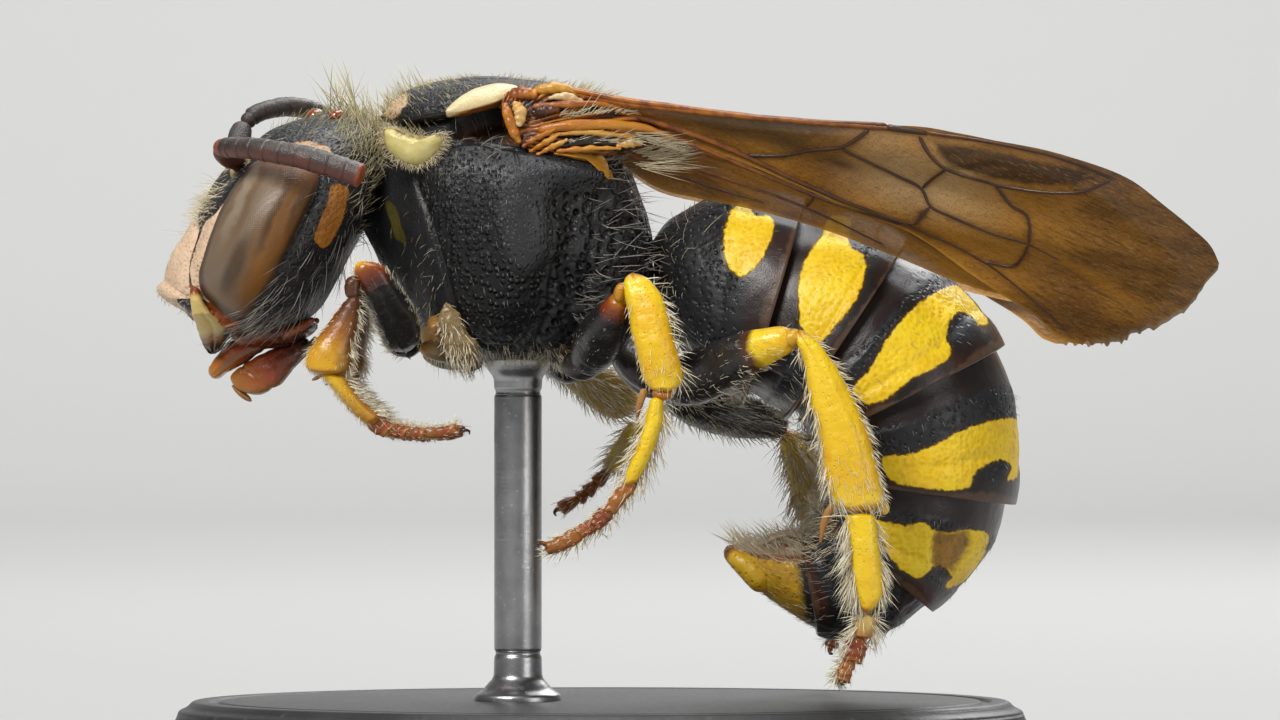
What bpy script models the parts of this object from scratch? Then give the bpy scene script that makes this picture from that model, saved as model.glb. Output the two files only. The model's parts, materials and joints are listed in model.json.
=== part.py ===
"""Resin bee (a small black and yellow anthidiine bee, a male) as a still, life-size
display model: wings folded back over the body, abdomen curled under, legs hanging,
held above a flat base by one short rod.

Units are metres.  The bee faces -X, +Z is up, its left side is -Y.
The origin is the centre of the base's underside.
Sizes below are written in millimetres and multiplied by MM.
"""
import math

import bmesh
import bpy
from mathutils import Matrix, Vector

MM = 0.001
GAP = 0.016            # clearance kept between touching pieces
WING_T = 0.45          # thickness of a wing in the solid
FEELER_R = 0.24        # radius of an antenna in the solid
FOOT_R = 0.23          # radius of a foot in the solid

# ---------------------------------------------------------------- base and rod
BASE_X, BASE_Y, BASE_H = 8.4, 6.2, 1.0
ROD_X, ROD_R = -0.8, 0.25

# ---------------------------------------------------------------- head frame
HEAD_O = Vector((-3.135, 0.0, 5.712))      # middle of the head
DOWN = Vector((-0.520, 0.0, -0.854))       # from the crown towards the mouth
FRONT = Vector((-0.854, 0.0, 0.520))       # the way the face looks
SIDE = Vector((0.0, 1.0, 0.0))

# along DOWN: rear edge, front edge (along FRONT), half width
HEAD = [
    (-1.21, -0.42, -0.14, 0.45),
    (-1.12, -0.60, 0.04, 0.85),
    (-0.92, -0.72, 0.25, 1.12),
    (-0.67, -0.80, 0.44, 1.26),
    (-0.40, -0.84, 0.55, 1.33),
    (-0.10, -0.86, 0.62, 1.36),
    (0.29, -0.87, 0.63, 1.36),
    (0.62, -0.84, 0.61, 1.27),
    (0.90, -0.68, 0.59, 1.06),
    (1.10, -0.45, 0.52, 0.84),
    (1.25, -0.18, 0.43, 0.58),
]
EYE_AT = (0.27, -0.10, 1.12)               # along DOWN, FRONT, sideways
EYE_SIZE = (0.82, 0.40, 0.43)
EYE_TILT = math.radians(8)                 # lower ends lean to the middle

# along X: bottom, top, half width
PROTHORAX = [
    (-2.42, 5.70, 6.10, 0.30),
    (-2.17, 5.50, 6.30, 0.42),
    (-1.99, 4.95, 6.58, 0.80),
    (-1.82, 4.57, 6.78, 1.06),
    (-1.660, 4.43, 6.90, 1.22),
]
THORAX = [
    (-1.640, 4.42, 6.91, 1.24),
    (-1.47, 4.33, 6.98, 1.33),
    (-1.14, 4.28, 7.04, 1.42),
    (-0.76, 4.27, 7.02, 1.45),
    (-0.38, 4.29, 6.94, 1.43),
    (-0.100, 4.35, 6.80, 1.36),
]
PROPODEUM = [
    (-0.080, 4.36, 6.68, 1.33),
    (0.12, 4.42, 6.50, 1.21),
    (0.28, 4.52, 6.15, 1.00),
    (0.40, 4.68, 5.82, 0.72),
    (0.48, 4.90, 5.50, 0.40),
]

# abdomen: top point (x, z), under point (x, z), half width, station number;
# whole numbers are the borders between the rings
ABDOMEN = [
    (0.00, (0.53, 5.47), (0.56, 4.86), 0.38),
    (0.35, (0.80, 5.71), (0.70, 4.40), 0.82),
    (0.65, (1.30, 5.93), (0.98, 4.02), 1.14),
    (1.00, (1.96, 5.80), (1.38, 3.88), 1.33),
    (2.00, (2.95, 5.42), (1.80, 3.72), 1.50),
    (3.00, (3.87, 4.40), (2.01, 3.48), 1.50),
    (4.00, (3.96, 2.89), (2.11, 3.15), 1.38),
    (5.00, (3.16, 1.89), (2.04, 2.81), 1.15),
    (6.00, (2.09, 1.67), (1.90, 2.61), 0.80),
    (6.50, (1.62, 2.01), (1.55, 2.52), 0.56),
    (7.00, (1.23, 2.31), (1.22, 2.50), 0.24),
]

# wing frame: base point, length direction towards the tip, and width direction towards
# the trailing edge, which hangs down and is rolled in towards the body
WING_B = Vector((-0.494, -1.15, 6.833))
WING_TIP = Vector((5.871, -2.45, 5.161))
WING_ROLL = math.radians(38)
WING_E1 = (WING_TIP - WING_B).normalized()
WING_HANG = (Vector((0, 0, -1)) + WING_E1 * WING_E1.z).normalized()
WING_E2 = WING_HANG * math.cos(WING_ROLL) + WING_E1.cross(WING_HANG) * math.sin(WING_ROLL)
WING_N = WING_E1.cross(WING_E2)
# outline, along the wing and across it, from the root round the tip and back; drawn
# in a little, as the plate is thicker than the membrane it stands for
FORE_WING = [
    (-0.12, -0.02), (0.90, -0.13), (2.60, -0.43), (4.20, -0.72), (5.20, -0.75),
    (6.15, -0.43), (6.63, 0.00), (6.38, 0.67), (5.75, 1.20), (5.25, 1.31),
    (4.40, 0.81), (3.60, 0.44), (2.30, 0.25), (0.85, 0.13), (-0.10, 0.18),
]
HIND_WING = [
    (0.42, 0.62), (1.20, 0.42), (2.60, 0.50), (3.60, 0.66), (4.40, 0.98),
    (4.90, 1.34), (4.86, 1.58), (4.40, 1.60), (3.45, 1.36), (2.40, 1.16),
    (1.50, 1.20), (1.00, 1.20), (0.62, 1.06),
]
HIND_OFFSET = WING_T + 0.025               # the hind wing lies under the fore wing

# legs: for each piece a path of points and its radii; left side, y is negative
LEGS = {
    "front_left": {
        "coxa": ([(-1.50, -0.42, 4.66), (-1.74, -0.62, 4.40)], [0.27, 0.23]),
        "femur": ([(-1.80, -0.74, 4.42), (-1.97, -1.12, 4.78), (-2.18, -1.50, 5.10)], [0.22, 0.24, 0.20]),
        "tibia": ([(-2.24, -1.54, 5.06), (-2.44, -1.63, 4.70), (-2.54, -1.70, 4.30)], [0.19, 0.22, 0.26]),
        "tarsus": ([(-2.52, -1.70, 4.14), (-2.16, -1.66, 3.72), (-1.80, -1.58, 3.56), (-1.47, -1.52, 3.60)], [FOOT_R] * 4),
    },
    "middle_left": {
        "coxa": ([(-0.38, -0.42, 4.52), (-0.22, -0.82, 4.22)], [0.27, 0.23]),
        "femur": ([(-0.17, -0.95, 4.22), (0.00, -1.48, 4.58), (0.20, -1.92, 4.96)], [0.21, 0.24, 0.20]),
        "tibia": ([(0.30, -2.00, 4.95), (0.45, -2.06, 4.50), (0.61, -2.11, 4.10)], [0.19, 0.23, 0.26]),
        "tarsus": ([(0.62, -2.11, 3.86), (0.40, -2.08, 3.28), (-0.05, -2.00, 2.78), (-0.36, -1.96, 2.60)], [0.24, 0.24, FOOT_R, FOOT_R]),
    },
    "hind_left": {
        "coxa": ([(0.26, -0.45, 4.55), (0.60, -0.88, 4.06)], [0.28, 0.23]),
        "femur": ([(0.72, -1.02, 4.02), (1.25, -1.74, 4.22), (1.76, -2.14, 4.49)], [0.22, 0.25, 0.20]),
        "tibia": ([(1.90, -2.18, 4.44), (2.20, -2.20, 3.80), (2.45, -2.21, 3.06)], [0.20, 0.25, 0.29]),
        "tarsus": ([(2.48, -2.20, 2.78), (2.52, -2.16, 2.20), (2.42, -2.08, 1.72), (2.34, -2.03, 1.46)], [0.25, 0.24, FOOT_R, 0.20]),
    },
    "front_right": {
        "coxa": ([(-1.50, 0.42, 4.66), (-1.74, 0.62, 4.40)], [0.27, 0.23]),
        "femur": ([(-1.80, 0.74, 4.38), (-1.95, 1.12, 4.70), (-2.16, 1.50, 4.98)], [0.22, 0.24, 0.20]),
        "tibia": ([(-2.22, 1.54, 4.94), (-2.38, 1.63, 4.62), (-2.46, 1.70, 4.26)], [0.19, 0.22, 0.26]),
        "tarsus": ([(-2.44, 1.70, 4.10), (-2.10, 1.66, 3.70), (-1.76, 1.58, 3.56), (-1.45, 1.52, 3.60)], [FOOT_R] * 4),
    },
    "middle_right": {
        "coxa": ([(-0.38, 0.42, 4.52), (-0.24, 0.82, 4.22)], [0.27, 0.23]),
        "femur": ([(-0.26, 0.95, 4.22), (-0.44, 1.40, 4.32), (-0.60, 1.78, 4.42)], [0.21, 0.24, 0.20]),
        "tibia": ([(-0.52, 1.90, 4.34), (-0.08, 1.98, 4.06), (0.32, 2.03, 3.80)], [0.20, 0.23, 0.25]),
        "tarsus": ([(0.36, 2.03, 3.62), (0.14, 2.02, 3.30), (-0.14, 1.98, 3.00), (-0.32, 1.94, 2.84)], [FOOT_R] * 4),
    },
    "hind_right": {
        "coxa": ([(0.26, 0.45, 4.55), (0.58, 0.88, 4.02)], [0.28, 0.23]),
        "femur": ([(0.70, 1.02, 3.94), (1.25, 1.66, 3.80), (1.78, 2.02, 3.64)], [0.22, 0.25, 0.20]),
        "tibia": ([(1.92, 2.06, 3.54), (2.12, 2.10, 3.04), (2.26, 2.13, 2.52)], [0.20, 0.24, 0.27]),
        "tarsus": ([(2.29, 2.13, 2.26), (2.38, 2.10, 1.92), (2.36, 2.04, 1.66), (2.33, 2.01, 1.47)], [0.24, FOOT_R, FOOT_R, 0.20]),
    },
}

SCAPE = {
    "left": [(-3.34, -0.36, 6.00), (-3.43, -0.62, 6.17), (-3.56, -0.92, 6.28)],
    "right": [(-3.34, 0.36, 6.04), (-3.42, 0.54, 6.28), (-3.48, 0.72, 6.52)],
}
FLAGELLUM = {
    "left": [(-3.52, -1.16, 6.28), (-3.26, -1.52, 6.24), (-2.93, -1.78, 6.19),
             (-2.60, -1.90, 6.12), (-2.33, -1.95, 6.06)],
    "right": [(-3.40, 0.86, 6.66), (-3.20, 1.00, 6.72), (-2.98, 1.24, 6.73),
              (-2.76, 1.52, 6.68), (-2.55, 1.80, 6.58)],
}

# colour, roughness, metallic
FINISH = {
    "black_cuticle": ((0.012, 0.012, 0.014), 0.34, 0.0),
    "yellow_cuticle": ((0.72, 0.47, 0.03), 0.45, 0.0),
    "cream_cuticle": ((0.72, 0.58, 0.36), 0.50, 0.0),
    "brown_cuticle": ((0.16, 0.04, 0.015), 0.38, 0.0),
    "compound_eye": ((0.17, 0.11, 0.07), 0.20, 0.0),
    "wing_membrane": ((0.17, 0.09, 0.05), 0.38, 0.0),
    "base_charcoal": ((0.03, 0.03, 0.032), 0.45, 0.0),
    "rod_steel": ((0.50, 0.50, 0.51), 0.28, 1.0),
}


# ---------------------------------------------------------------- scene set-up
for ob in list(bpy.data.objects):
    bpy.data.objects.remove(ob, do_unlink=True)

BEE = bpy.data.collections.new("resin_bee")
CUTTERS = bpy.data.collections.new("cutters")
bpy.context.scene.collection.children.link(BEE)
bpy.context.scene.collection.children.link(CUTTERS)

MATERIALS = {}
for slot, (rgb, rough, metal) in FINISH.items():
    mat = bpy.data.materials.new(slot)
    mat.use_nodes = True
    shader = mat.node_tree.nodes["Principled BSDF"]
    shader.inputs["Base Color"].default_value = (*rgb, 1.0)
    shader.inputs["Roughness"].default_value = rough
    shader.inputs["Metallic"].default_value = metal
    mat.diffuse_color = (*rgb, 1.0)
    MATERIALS[slot] = mat


def add_object(name, bm, slot=None):
    """Turn a bmesh in millimetres into an object in metres."""
    bmesh.ops.recalc_face_normals(bm, faces=bm.faces)
    bmesh.ops.scale(bm, vec=(MM, MM, MM), verts=bm.verts)
    mesh = bpy.data.meshes.new(name)
    bm.to_mesh(mesh)
    bm.free()
    mesh.shade_smooth()
    ob = bpy.data.objects.new(name, mesh)
    if slot:
        mesh.materials.append(MATERIALS[slot])
        mesh.set_sharp_from_angle(angle=math.radians(50))
        BEE.objects.link(ob)
    else:
        ob.hide_render = True
        ob.display_type = 'WIRE'
        CUTTERS.objects.link(ob)
    return ob


# ---------------------------------------------------------------- shape helpers
def smooth_rows(rows, keys):
    """Read smooth in-between rows from rows whose first entry is the key."""
    n = len(rows)
    out = []
    for key in keys:
        i = 0
        while i < n - 2 and key > rows[i + 1][0]:
            i += 1
        k0, k1 = rows[i][0], rows[i + 1][0]
        t = (key - k0) / (k1 - k0)
        row = []
        for c in range(1, len(rows[0])):
            def slope(j):
                if j == 0:
                    return (rows[1][c] - rows[0][c]) / (rows[1][0] - rows[0][0])
                if j == n - 1:
                    return (rows[-1][c] - rows[-2][c]) / (rows[-1][0] - rows[-2][0])
                return (rows[j + 1][c] - rows[j - 1][c]) / (rows[j + 1][0] - rows[j - 1][0])
            m0, m1 = slope(i) * (k1 - k0), slope(i + 1) * (k1 - k0)
            a, b = rows[i][c], rows[i + 1][c]
            row.append((2 * t**3 - 3 * t**2 + 1) * a + (t**3 - 2 * t**2 + t) * m0
                       + (-2 * t**3 + 3 * t**2) * b + (t**3 - t**2) * m1)
        out.append(row)
    return out


def oval(centre, across, up, below, power_up, power_dn, count):
    """A closed loop: a rounded oval with its own height above and below the centre."""
    loop = []
    for k in range(count):
        a = 2 * math.pi * k / count
        p = power_up if math.sin(a) >= 0 else power_dn
        x = math.copysign(abs(math.cos(a)) ** (2 / p), math.cos(a))
        y = abs(math.sin(a)) ** (2 / p)
        side = up * y if math.sin(a) >= 0 else below * y
        loop.append(centre + across * x + side)
    return loop


def loft(loops):
    """Skin a row of loops that have the same number of points, with closed ends."""
    bm = bmesh.new()
    rings = [[bm.verts.new(p) for p in loop] for loop in loops]
    count = len(rings[0])
    for a, b in zip(rings, rings[1:]):
        for k in range(count):
            bm.faces.new((a[k], a[(k + 1) % count], b[(k + 1) % count], b[k]))
    bm.faces.new(rings[0])
    bm.faces.new(rings[-1])
    return bm


def limb(points, radii, count=8, steps=2, grow=0.0):
    """A round limb along a smooth path, with rounded ends."""
    pts = [Vector(p) for p in points]
    rows = [(float(i), *p, r) for i, (p, r) in enumerate(zip(pts, radii))]
    total = (len(pts) - 1) * steps
    keys = [i / steps for i in range(total + 1)]
    samples = [(Vector(row[:3]), row[3] + grow) for row in smooth_rows(rows, keys)] if len(pts) > 2 else [
        (pts[0].lerp(pts[1], i / steps), radii[0] + (radii[1] - radii[0]) * i / steps + grow) for i in range(steps + 1)]
    loops = []
    normal = None
    for i, (p, r) in enumerate(samples):
        a = samples[max(i - 1, 0)][0]
        b = samples[min(i + 1, len(samples) - 1)][0]
        t = (b - a).normalized()
        if normal is None:
            normal = t.cross(Vector((0.31, 0.17, 0.94))).normalized()
        normal = (normal - t * normal.dot(t)).normalized()
        other = t.cross(normal)

        def ring(centre, radius):
            return [centre + (normal * math.cos(2 * math.pi * k / count)
                              + other * math.sin(2 * math.pi * k / count)) * radius for k in range(count)]
        if i == 0:
            loops.append(ring(p - t * r * 0.62, r * 0.55))
        loops.append(ring(p, r))
        if i == len(samples) - 1:
            loops.append(ring(p + t * r * 0.62, r * 0.55))
    return loft(loops)


def ellipsoid(centre, axes, segments=14, rings=8):
    """A ball stretched along three direction vectors."""
    bm = bmesh.new()
    bmesh.ops.create_uvsphere(bm, u_segments=segments, v_segments=rings, radius=1.0)
    m = Matrix((axes[0], axes[1], axes[2])).transposed().to_4x4()
    m.translation = centre
    bmesh.ops.transform(bm, matrix=m, verts=bm.verts)
    return bm


def grown(bm, distance):
    """The same shape pushed out by a distance along its normals."""
    bmesh.ops.recalc_face_normals(bm, faces=bm.faces)
    bm.normal_update()
    shift = [(v, v.normal.copy()) for v in bm.verts]
    for v, n in shift:
        v.co += n * distance
    return bm


def cutter(name, bm, distance=GAP):
    return add_object("cut_" + name, grown(bm, distance))


def cut(ob, *tools):
    for tool in tools:
        mod = ob.modifiers.new("cut_" + tool.name, 'BOOLEAN')
        mod.operation = 'DIFFERENCE'
        mod.solver = 'EXACT'
        mod.object = tool


# ---------------------------------------------------------------- body shapes
def head_shape():
    keys = [-1.21, -1.12, -0.95, -0.70, -0.38, -0.02, 0.34, 0.65, 0.90, 1.10, 1.25]
    loops = []
    for d, (rear, front, half) in zip(keys, smooth_rows(HEAD, keys)):
        centre = HEAD_O + DOWN * d + FRONT * ((rear + front) / 2)
        reach = FRONT * ((front - rear) / 2)
        loops.append(oval(centre, SIDE * half, reach, -reach, 2.3, 2.5, 22))
    return loft(loops)


def eye_shape(side):
    long_axis = (DOWN * math.cos(EYE_TILT) - SIDE * side * math.sin(EYE_TILT)) * EYE_SIZE[0]
    out_axis = (SIDE * side * math.cos(EYE_TILT) + DOWN * math.sin(EYE_TILT)) * EYE_SIZE[2]
    centre = HEAD_O + DOWN * EYE_AT[0] + FRONT * EYE_AT[1] + SIDE * side * EYE_AT[2]
    return ellipsoid(centre, (FRONT * EYE_SIZE[1], out_axis, long_axis), 16, 10)


def trunk_shape(rows, keys, count=26):
    loops = []
    for x, (low, high, half) in zip(keys, smooth_rows(rows, keys)):
        mid = low + 0.46 * (high - low)
        loops.append(oval(Vector((x, 0, mid)), Vector((0, half, 0)),
                          Vector((0, 0, high - mid)), Vector((0, 0, low - mid)), 2.5, 2.3, count))
    return loft(loops)


def thorax_shape():
    return trunk_shape(THORAX, [-1.640, -1.46, -1.14, -0.76, -0.38, -0.100])


def prothorax_shape():
    return trunk_shape(PROTHORAX, [-2.42, -2.17, -1.99, -1.82, -1.660])


def propodeum_shape():
    return trunk_shape(PROPODEUM, [-0.080, 0.12, 0.28, 0.40, 0.48])


def abdomen_ring(key, shrink=0.0):
    rows = [(s, t[0], t[1], u[0], u[1], h) for s, t, u, h in ABDOMEN]
    tx, tz, ux, uz, half = smooth_rows(rows, [key])[0]
    top, under = Vector((tx, 0, tz)), Vector((ux, 0, uz))
    mid = under.lerp(top, 0.42)
    return mid, half - shrink, (top - mid) * (1 - shrink), (under - mid) * (1 - shrink)


def abdomen_shape(number):
    """One ring of the abdomen; the front of each is a little smaller than the
    rear edge of the one before it, as the rings slide into each other."""
    first, last = number - 1, number
    keys = {1: [0.0, 0.18, 0.35, 0.65, 1.0], 7: [6.0, 6.5, 7.0]}.get(number, [first, first + 0.5, last])
    if number == 6:
        keys = [5.0, 6.0]
    loops = []
    for key in keys:
        centre, half, up, below = abdomen_ring(key, 0.03 if key == first and number > 1 else 0.0)
        normal = up.cross(Vector((0, 1, 0))).normalized()
        if key == first:
            centre = centre + normal * (-GAP * 0.7 if normal.dot(abdomen_ring(key + 0.2)[0] - centre) < 0 else GAP * 0.7)
        elif key == last:
            centre = centre + normal * (-GAP * 0.7 if normal.dot(abdomen_ring(key - 0.2)[0] - centre) < 0 else GAP * 0.7)
        loops.append(oval(centre, Vector((0, half, 0)), up, below, 2.2, 2.5, 24))
    return loft(loops)


def scutellum_shape():
    tilt = math.radians(-25)
    along = Vector((math.cos(tilt), 0, math.sin(tilt)))
    normal = Vector((-math.sin(tilt), 0, math.cos(tilt)))
    return ellipsoid(Vector((0.0, 0, 6.62)), (along * 0.42, SIDE * 0.92, normal * 0.17), 18, 8)


def tegula_shape(side):
    along = Vector((0.95, 0, 0.31))
    across = Vector((0, -side, 0)).cross(along)
    out = (SIDE * side * 0.55 + Vector((-0.25, 0, 0.80))).normalized()
    low = out.cross(along).normalized()
    return ellipsoid(Vector((-1.10, side * 1.08, 6.74)), (along * 0.35, low * 0.24, out * 0.15), 12, 6)


def lobe_shape(side):
    return ellipsoid(Vector((-1.76, side * 1.14, 6.28)),
                     (Vector((0.30, side * 0.06, 0)), Vector((-0.03, side * 0.17, 0.0)), Vector((0, 0, 0.24))), 12, 6)


def wing_point(u, v, lift, side):
    p = WING_B + WING_E1 * u + WING_E2 * v + WING_N * lift
    return Vector((p.x, -p.y, p.z)) if side > 0 else p


def wing_shape(outline, offset, side, distance=0.0):
    """A flat outline drawn as a filled curve with an extrude of half its thickness,
    stood in the wing's plane."""
    data = bpy.data.curves.new("wing_outline", 'CURVE')
    data.dimensions = '2D'
    data.fill_mode = 'BOTH'
    data.extrude = WING_T / 2 + distance
    data.resolution_u = 2
    spline = data.splines.new('BEZIER')
    spline.bezier_points.add(len(outline) - 1)
    for point, (u, v) in zip(spline.bezier_points, outline):
        point.co = (u, v, 0)
        point.handle_left_type = point.handle_right_type = 'AUTO'
    spline.use_cyclic_u = True
    guide = bpy.data.objects.new("wing_outline", data)
    CUTTERS.objects.link(guide)
    bpy.context.view_layer.update()
    mesh = bpy.data.meshes.new_from_object(guide.evaluated_get(bpy.context.evaluated_depsgraph_get()))
    bpy.data.objects.remove(guide, do_unlink=True)
    bm = bmesh.new()
    bm.from_mesh(mesh)
    bpy.data.meshes.remove(mesh)
    bmesh.ops.remove_doubles(bm, verts=bm.verts, dist=0.002)
    for v in bm.verts:
        v.co = wing_point(v.co.x, v.co.y, offset + v.co.z, side)
    return bm


# ---------------------------------------------------------------- the pieces
SIDES = {"left": -1, "right": 1}

cut_head = cutter("head", head_shape())
cut_thorax = cutter("thorax", thorax_shape())
cut_prothorax = cutter("prothorax", prothorax_shape())
cut_propodeum = cutter("propodeum", propodeum_shape())
cut_scutellum = cutter("scutellum", scutellum_shape())
cut_eye = {s: cutter("eye_" + s, eye_shape(k)) for s, k in SIDES.items()}
cut_tegula = {s: cutter("tegula_" + s, tegula_shape(k)) for s, k in SIDES.items()}
cut_ring = {n: cutter("abdomen_%d" % n, abdomen_shape(n)) for n in (1, 2, 3)}

head = add_object("head", head_shape(), "black_cuticle")
for s, k in SIDES.items():
    eye = add_object("eye_" + s, eye_shape(k), "compound_eye")
    cut(eye, cut_head)

mouth_path = [(-2.86, 0, 4.44), (-3.25, 0, 4.20), (-3.60, 0, 4.20)]
mouth_radii = [0.26, 0.27, 0.20]
cut_mouth = cutter("proboscis", limb(mouth_path, mouth_radii, 10, 1))
proboscis = add_object("proboscis", limb(mouth_path, mouth_radii, 10, 1), "brown_cuticle")
cut(proboscis, cut_head)
for s, k in SIDES.items():
    path = [(-3.62, k * 0.86, 4.98), (-3.73, k * 0.74, 4.74), (-3.76, k * 0.50, 4.52), (-3.72, k * 0.33, 4.42)]
    jaw = add_object("mandible_" + s, limb(path, [0.24, 0.25, 0.23, 0.20], 8, 1), "cream_cuticle")
    cut(jaw, cut_head, cut_eye[s], cut_mouth)

    scape = add_object("antenna_scape_" + s, limb(SCAPE[s], [FEELER_R] * 3, 8, 1), "brown_cuticle")
    cut(scape, cut_head, cut_eye[s])
    cut_scape = cutter("scape_" + s, limb(SCAPE[s], [FEELER_R] * 3, 8, 1))
    flagellum = add_object("antenna_flagellum_" + s, limb(FLAGELLUM[s], [FEELER_R] * 5, 8, 1), "brown_cuticle")
    cut(flagellum, cut_scape, cut_head, cut_eye[s])

prothorax = add_object("prothorax", prothorax_shape(), "black_cuticle")
cut(prothorax, cut_head)
thorax = add_object("thorax", thorax_shape(), "black_cuticle")
cut(thorax, cut_scutellum)
scutellum = add_object("scutellum", scutellum_shape(), "black_cuticle")
propodeum = add_object("propodeum", propodeum_shape(), "black_cuticle")
cut(propodeum, cut_scutellum)

for s, k in SIDES.items():
    tegula = add_object("tegula_" + s, tegula_shape(k), "cream_cuticle")
    cut(tegula, cut_thorax)
    lobe = add_object("pronotal_lobe_" + s, lobe_shape(k), "cream_cuticle")
    cut(lobe, cut_thorax, cut_prothorax, cut_head)
    fore = add_object("wing_front_" + s, wing_shape(FORE_WING, 0.0, k), "wing_membrane")
    cut(fore, cut_thorax, cut_tegula[s], cut_scutellum)
    hind = add_object("wing_hind_" + s, wing_shape(HIND_WING, HIND_OFFSET, k), "wing_membrane")
    cut(hind, cut_thorax, cut_scutellum, cut_propodeum, cut_ring[1], cut_ring[2], cut_ring[3])

for n in range(1, 8):
    ring = add_object("abdomen_%d" % n, abdomen_shape(n), "yellow_cuticle" if n == 7 else "black_cuticle")

LEG_SLOT = {
    "coxa": "black_cuticle", "femur": "black_cuticle", "tibia": "yellow_cuticle", "tarsus": "yellow_cuticle",
}
for leg, pieces in LEGS.items():
    before = None
    for part in ("coxa", "femur", "tibia", "tarsus"):
        points, radii = pieces[part]
        steps = 2 if part == "coxa" else 1
        ob = add_object("leg_%s_%s" % (leg, part), limb(points, radii, 8, steps), LEG_SLOT[part])
        if before:
            cut(ob, before)
        if part == "coxa":
            cut(ob, cut_thorax, cut_prothorax, cut_propodeum)
            if leg.startswith("hind"):
                cut(ob, cut_ring[1])
        if part == "femur":
            if leg.startswith("front"):
                cut(ob, cut_head, cut_thorax, cut_prothorax)
            elif leg.startswith("middle"):
                cut(ob, cut_thorax, cut_propodeum)
            else:
                cut(ob, cut_propodeum, cut_ring[1], cut_ring[2])
        before = cutter("%s_%s" % (leg, part), limb(points, radii, 8, steps))

# ---------------------------------------------------------------- the stand
bm = bmesh.new()
bmesh.ops.create_cone(bm, cap_ends=True, segments=48, radius1=1.0, radius2=1.0, depth=1.0)
bmesh.ops.scale(bm, vec=(BASE_X / 2, BASE_Y / 2, BASE_H), verts=bm.verts)
bmesh.ops.translate(bm, vec=(0, 0, BASE_H / 2), verts=bm.verts)
base = add_object("stand_base", bm, "base_charcoal")
bevel = base.modifiers.new("edge", 'BEVEL')
bevel.width = 0.12 * MM
bevel.segments = 2
bevel.limit_method = 'ANGLE'
bevel.angle_limit = math.radians(50)

rod_low, rod_high = BASE_H + 0.012, 4.6
bm = bmesh.new()
bmesh.ops.create_cone(bm, cap_ends=True, segments=20, radius1=ROD_R, radius2=ROD_R, depth=rod_high - rod_low)
bmesh.ops.translate(bm, vec=(ROD_X, 0, (rod_low + rod_high) / 2), verts=bm.verts)
rod = add_object("stand_rod", bm, "rod_steel")
cut(rod, cut_thorax)
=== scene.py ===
"""Looks of the resin bee display model: shell plates, eyes, wings, legs, coat and stand.

Lengths in this file are millimetres unless said otherwise and are turned into metres
when a mesh is made.  The bee faces -X, +Z is up, its left side is -Y, and the origin is
the centre of the display base's underside, as in the CAD frame.
"""

import json
import math

import bpy
import numpy as np
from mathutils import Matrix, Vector

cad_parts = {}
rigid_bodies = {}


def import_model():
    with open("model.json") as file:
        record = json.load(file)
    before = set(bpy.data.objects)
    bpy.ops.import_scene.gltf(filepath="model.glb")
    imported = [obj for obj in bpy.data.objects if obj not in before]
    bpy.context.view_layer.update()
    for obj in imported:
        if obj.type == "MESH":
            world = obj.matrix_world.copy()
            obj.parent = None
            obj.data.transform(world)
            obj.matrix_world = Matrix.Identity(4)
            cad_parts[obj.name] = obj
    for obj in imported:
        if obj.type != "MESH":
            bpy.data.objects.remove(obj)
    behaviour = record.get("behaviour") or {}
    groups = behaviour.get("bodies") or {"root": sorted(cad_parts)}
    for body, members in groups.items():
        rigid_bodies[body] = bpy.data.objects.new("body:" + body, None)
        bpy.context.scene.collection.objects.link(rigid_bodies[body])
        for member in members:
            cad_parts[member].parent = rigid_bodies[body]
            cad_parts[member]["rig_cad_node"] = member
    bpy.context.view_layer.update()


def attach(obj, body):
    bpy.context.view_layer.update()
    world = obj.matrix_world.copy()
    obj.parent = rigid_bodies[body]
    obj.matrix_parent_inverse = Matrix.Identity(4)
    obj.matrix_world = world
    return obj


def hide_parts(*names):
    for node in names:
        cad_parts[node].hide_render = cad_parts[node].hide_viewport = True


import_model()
SCENE = bpy.context.scene
MM = 0.001

for ob in list(bpy.data.objects):
    if ob.type in ('LIGHT', 'CAMERA'):
        bpy.data.objects.remove(ob, do_unlink=True)
for name in ("Cube",):
    if name in bpy.data.objects and "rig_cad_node" not in bpy.data.objects[name]:
        bpy.data.objects.remove(bpy.data.objects[name], do_unlink=True)


# =====================================================================
# numbers: smooth curves, noise, cells
# =====================================================================
def arr(x):
    return np.asarray(x, float)


def unit(v):
    v = arr(v)
    return v / np.maximum(np.linalg.norm(v, axis=-1, keepdims=True), 1e-12)


def smoothstep(a, b, x):
    t = np.clip((arr(x) - a) / (b - a), 0, 1)
    return t * t * (3 - 2 * t)


def rows_at(keys, rows, q):
    """Smooth (non-overshooting) in-between rows of a table."""
    keys, rows, q = arr(keys), arr(rows), arr(q)
    if rows.ndim == 1:
        rows = rows[:, None]
    n = len(keys)
    h = np.diff(keys)
    d = np.diff(rows, axis=0) / h[:, None]
    m = np.zeros_like(rows)
    m[0], m[-1] = d[0], d[-1]
    for i in range(1, n - 1):
        w = h[i - 1] / (h[i - 1] + h[i])
        m[i] = d[i - 1] * (1 - w) + d[i] * w
    i = np.clip(np.searchsorted(keys, q, side='right') - 1, 0, n - 2)
    t = ((q - keys[i]) / h[i])[:, None]
    a, b = rows[i], rows[i + 1]
    ma, mb = m[i] * h[i][:, None], m[i + 1] * h[i][:, None]
    return ((2 * t**3 - 3 * t**2 + 1) * a + (t**3 - 2 * t**2 + t) * ma
            + (-2 * t**3 + 3 * t**2) * b + (t**3 - t**2) * mb)


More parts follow.
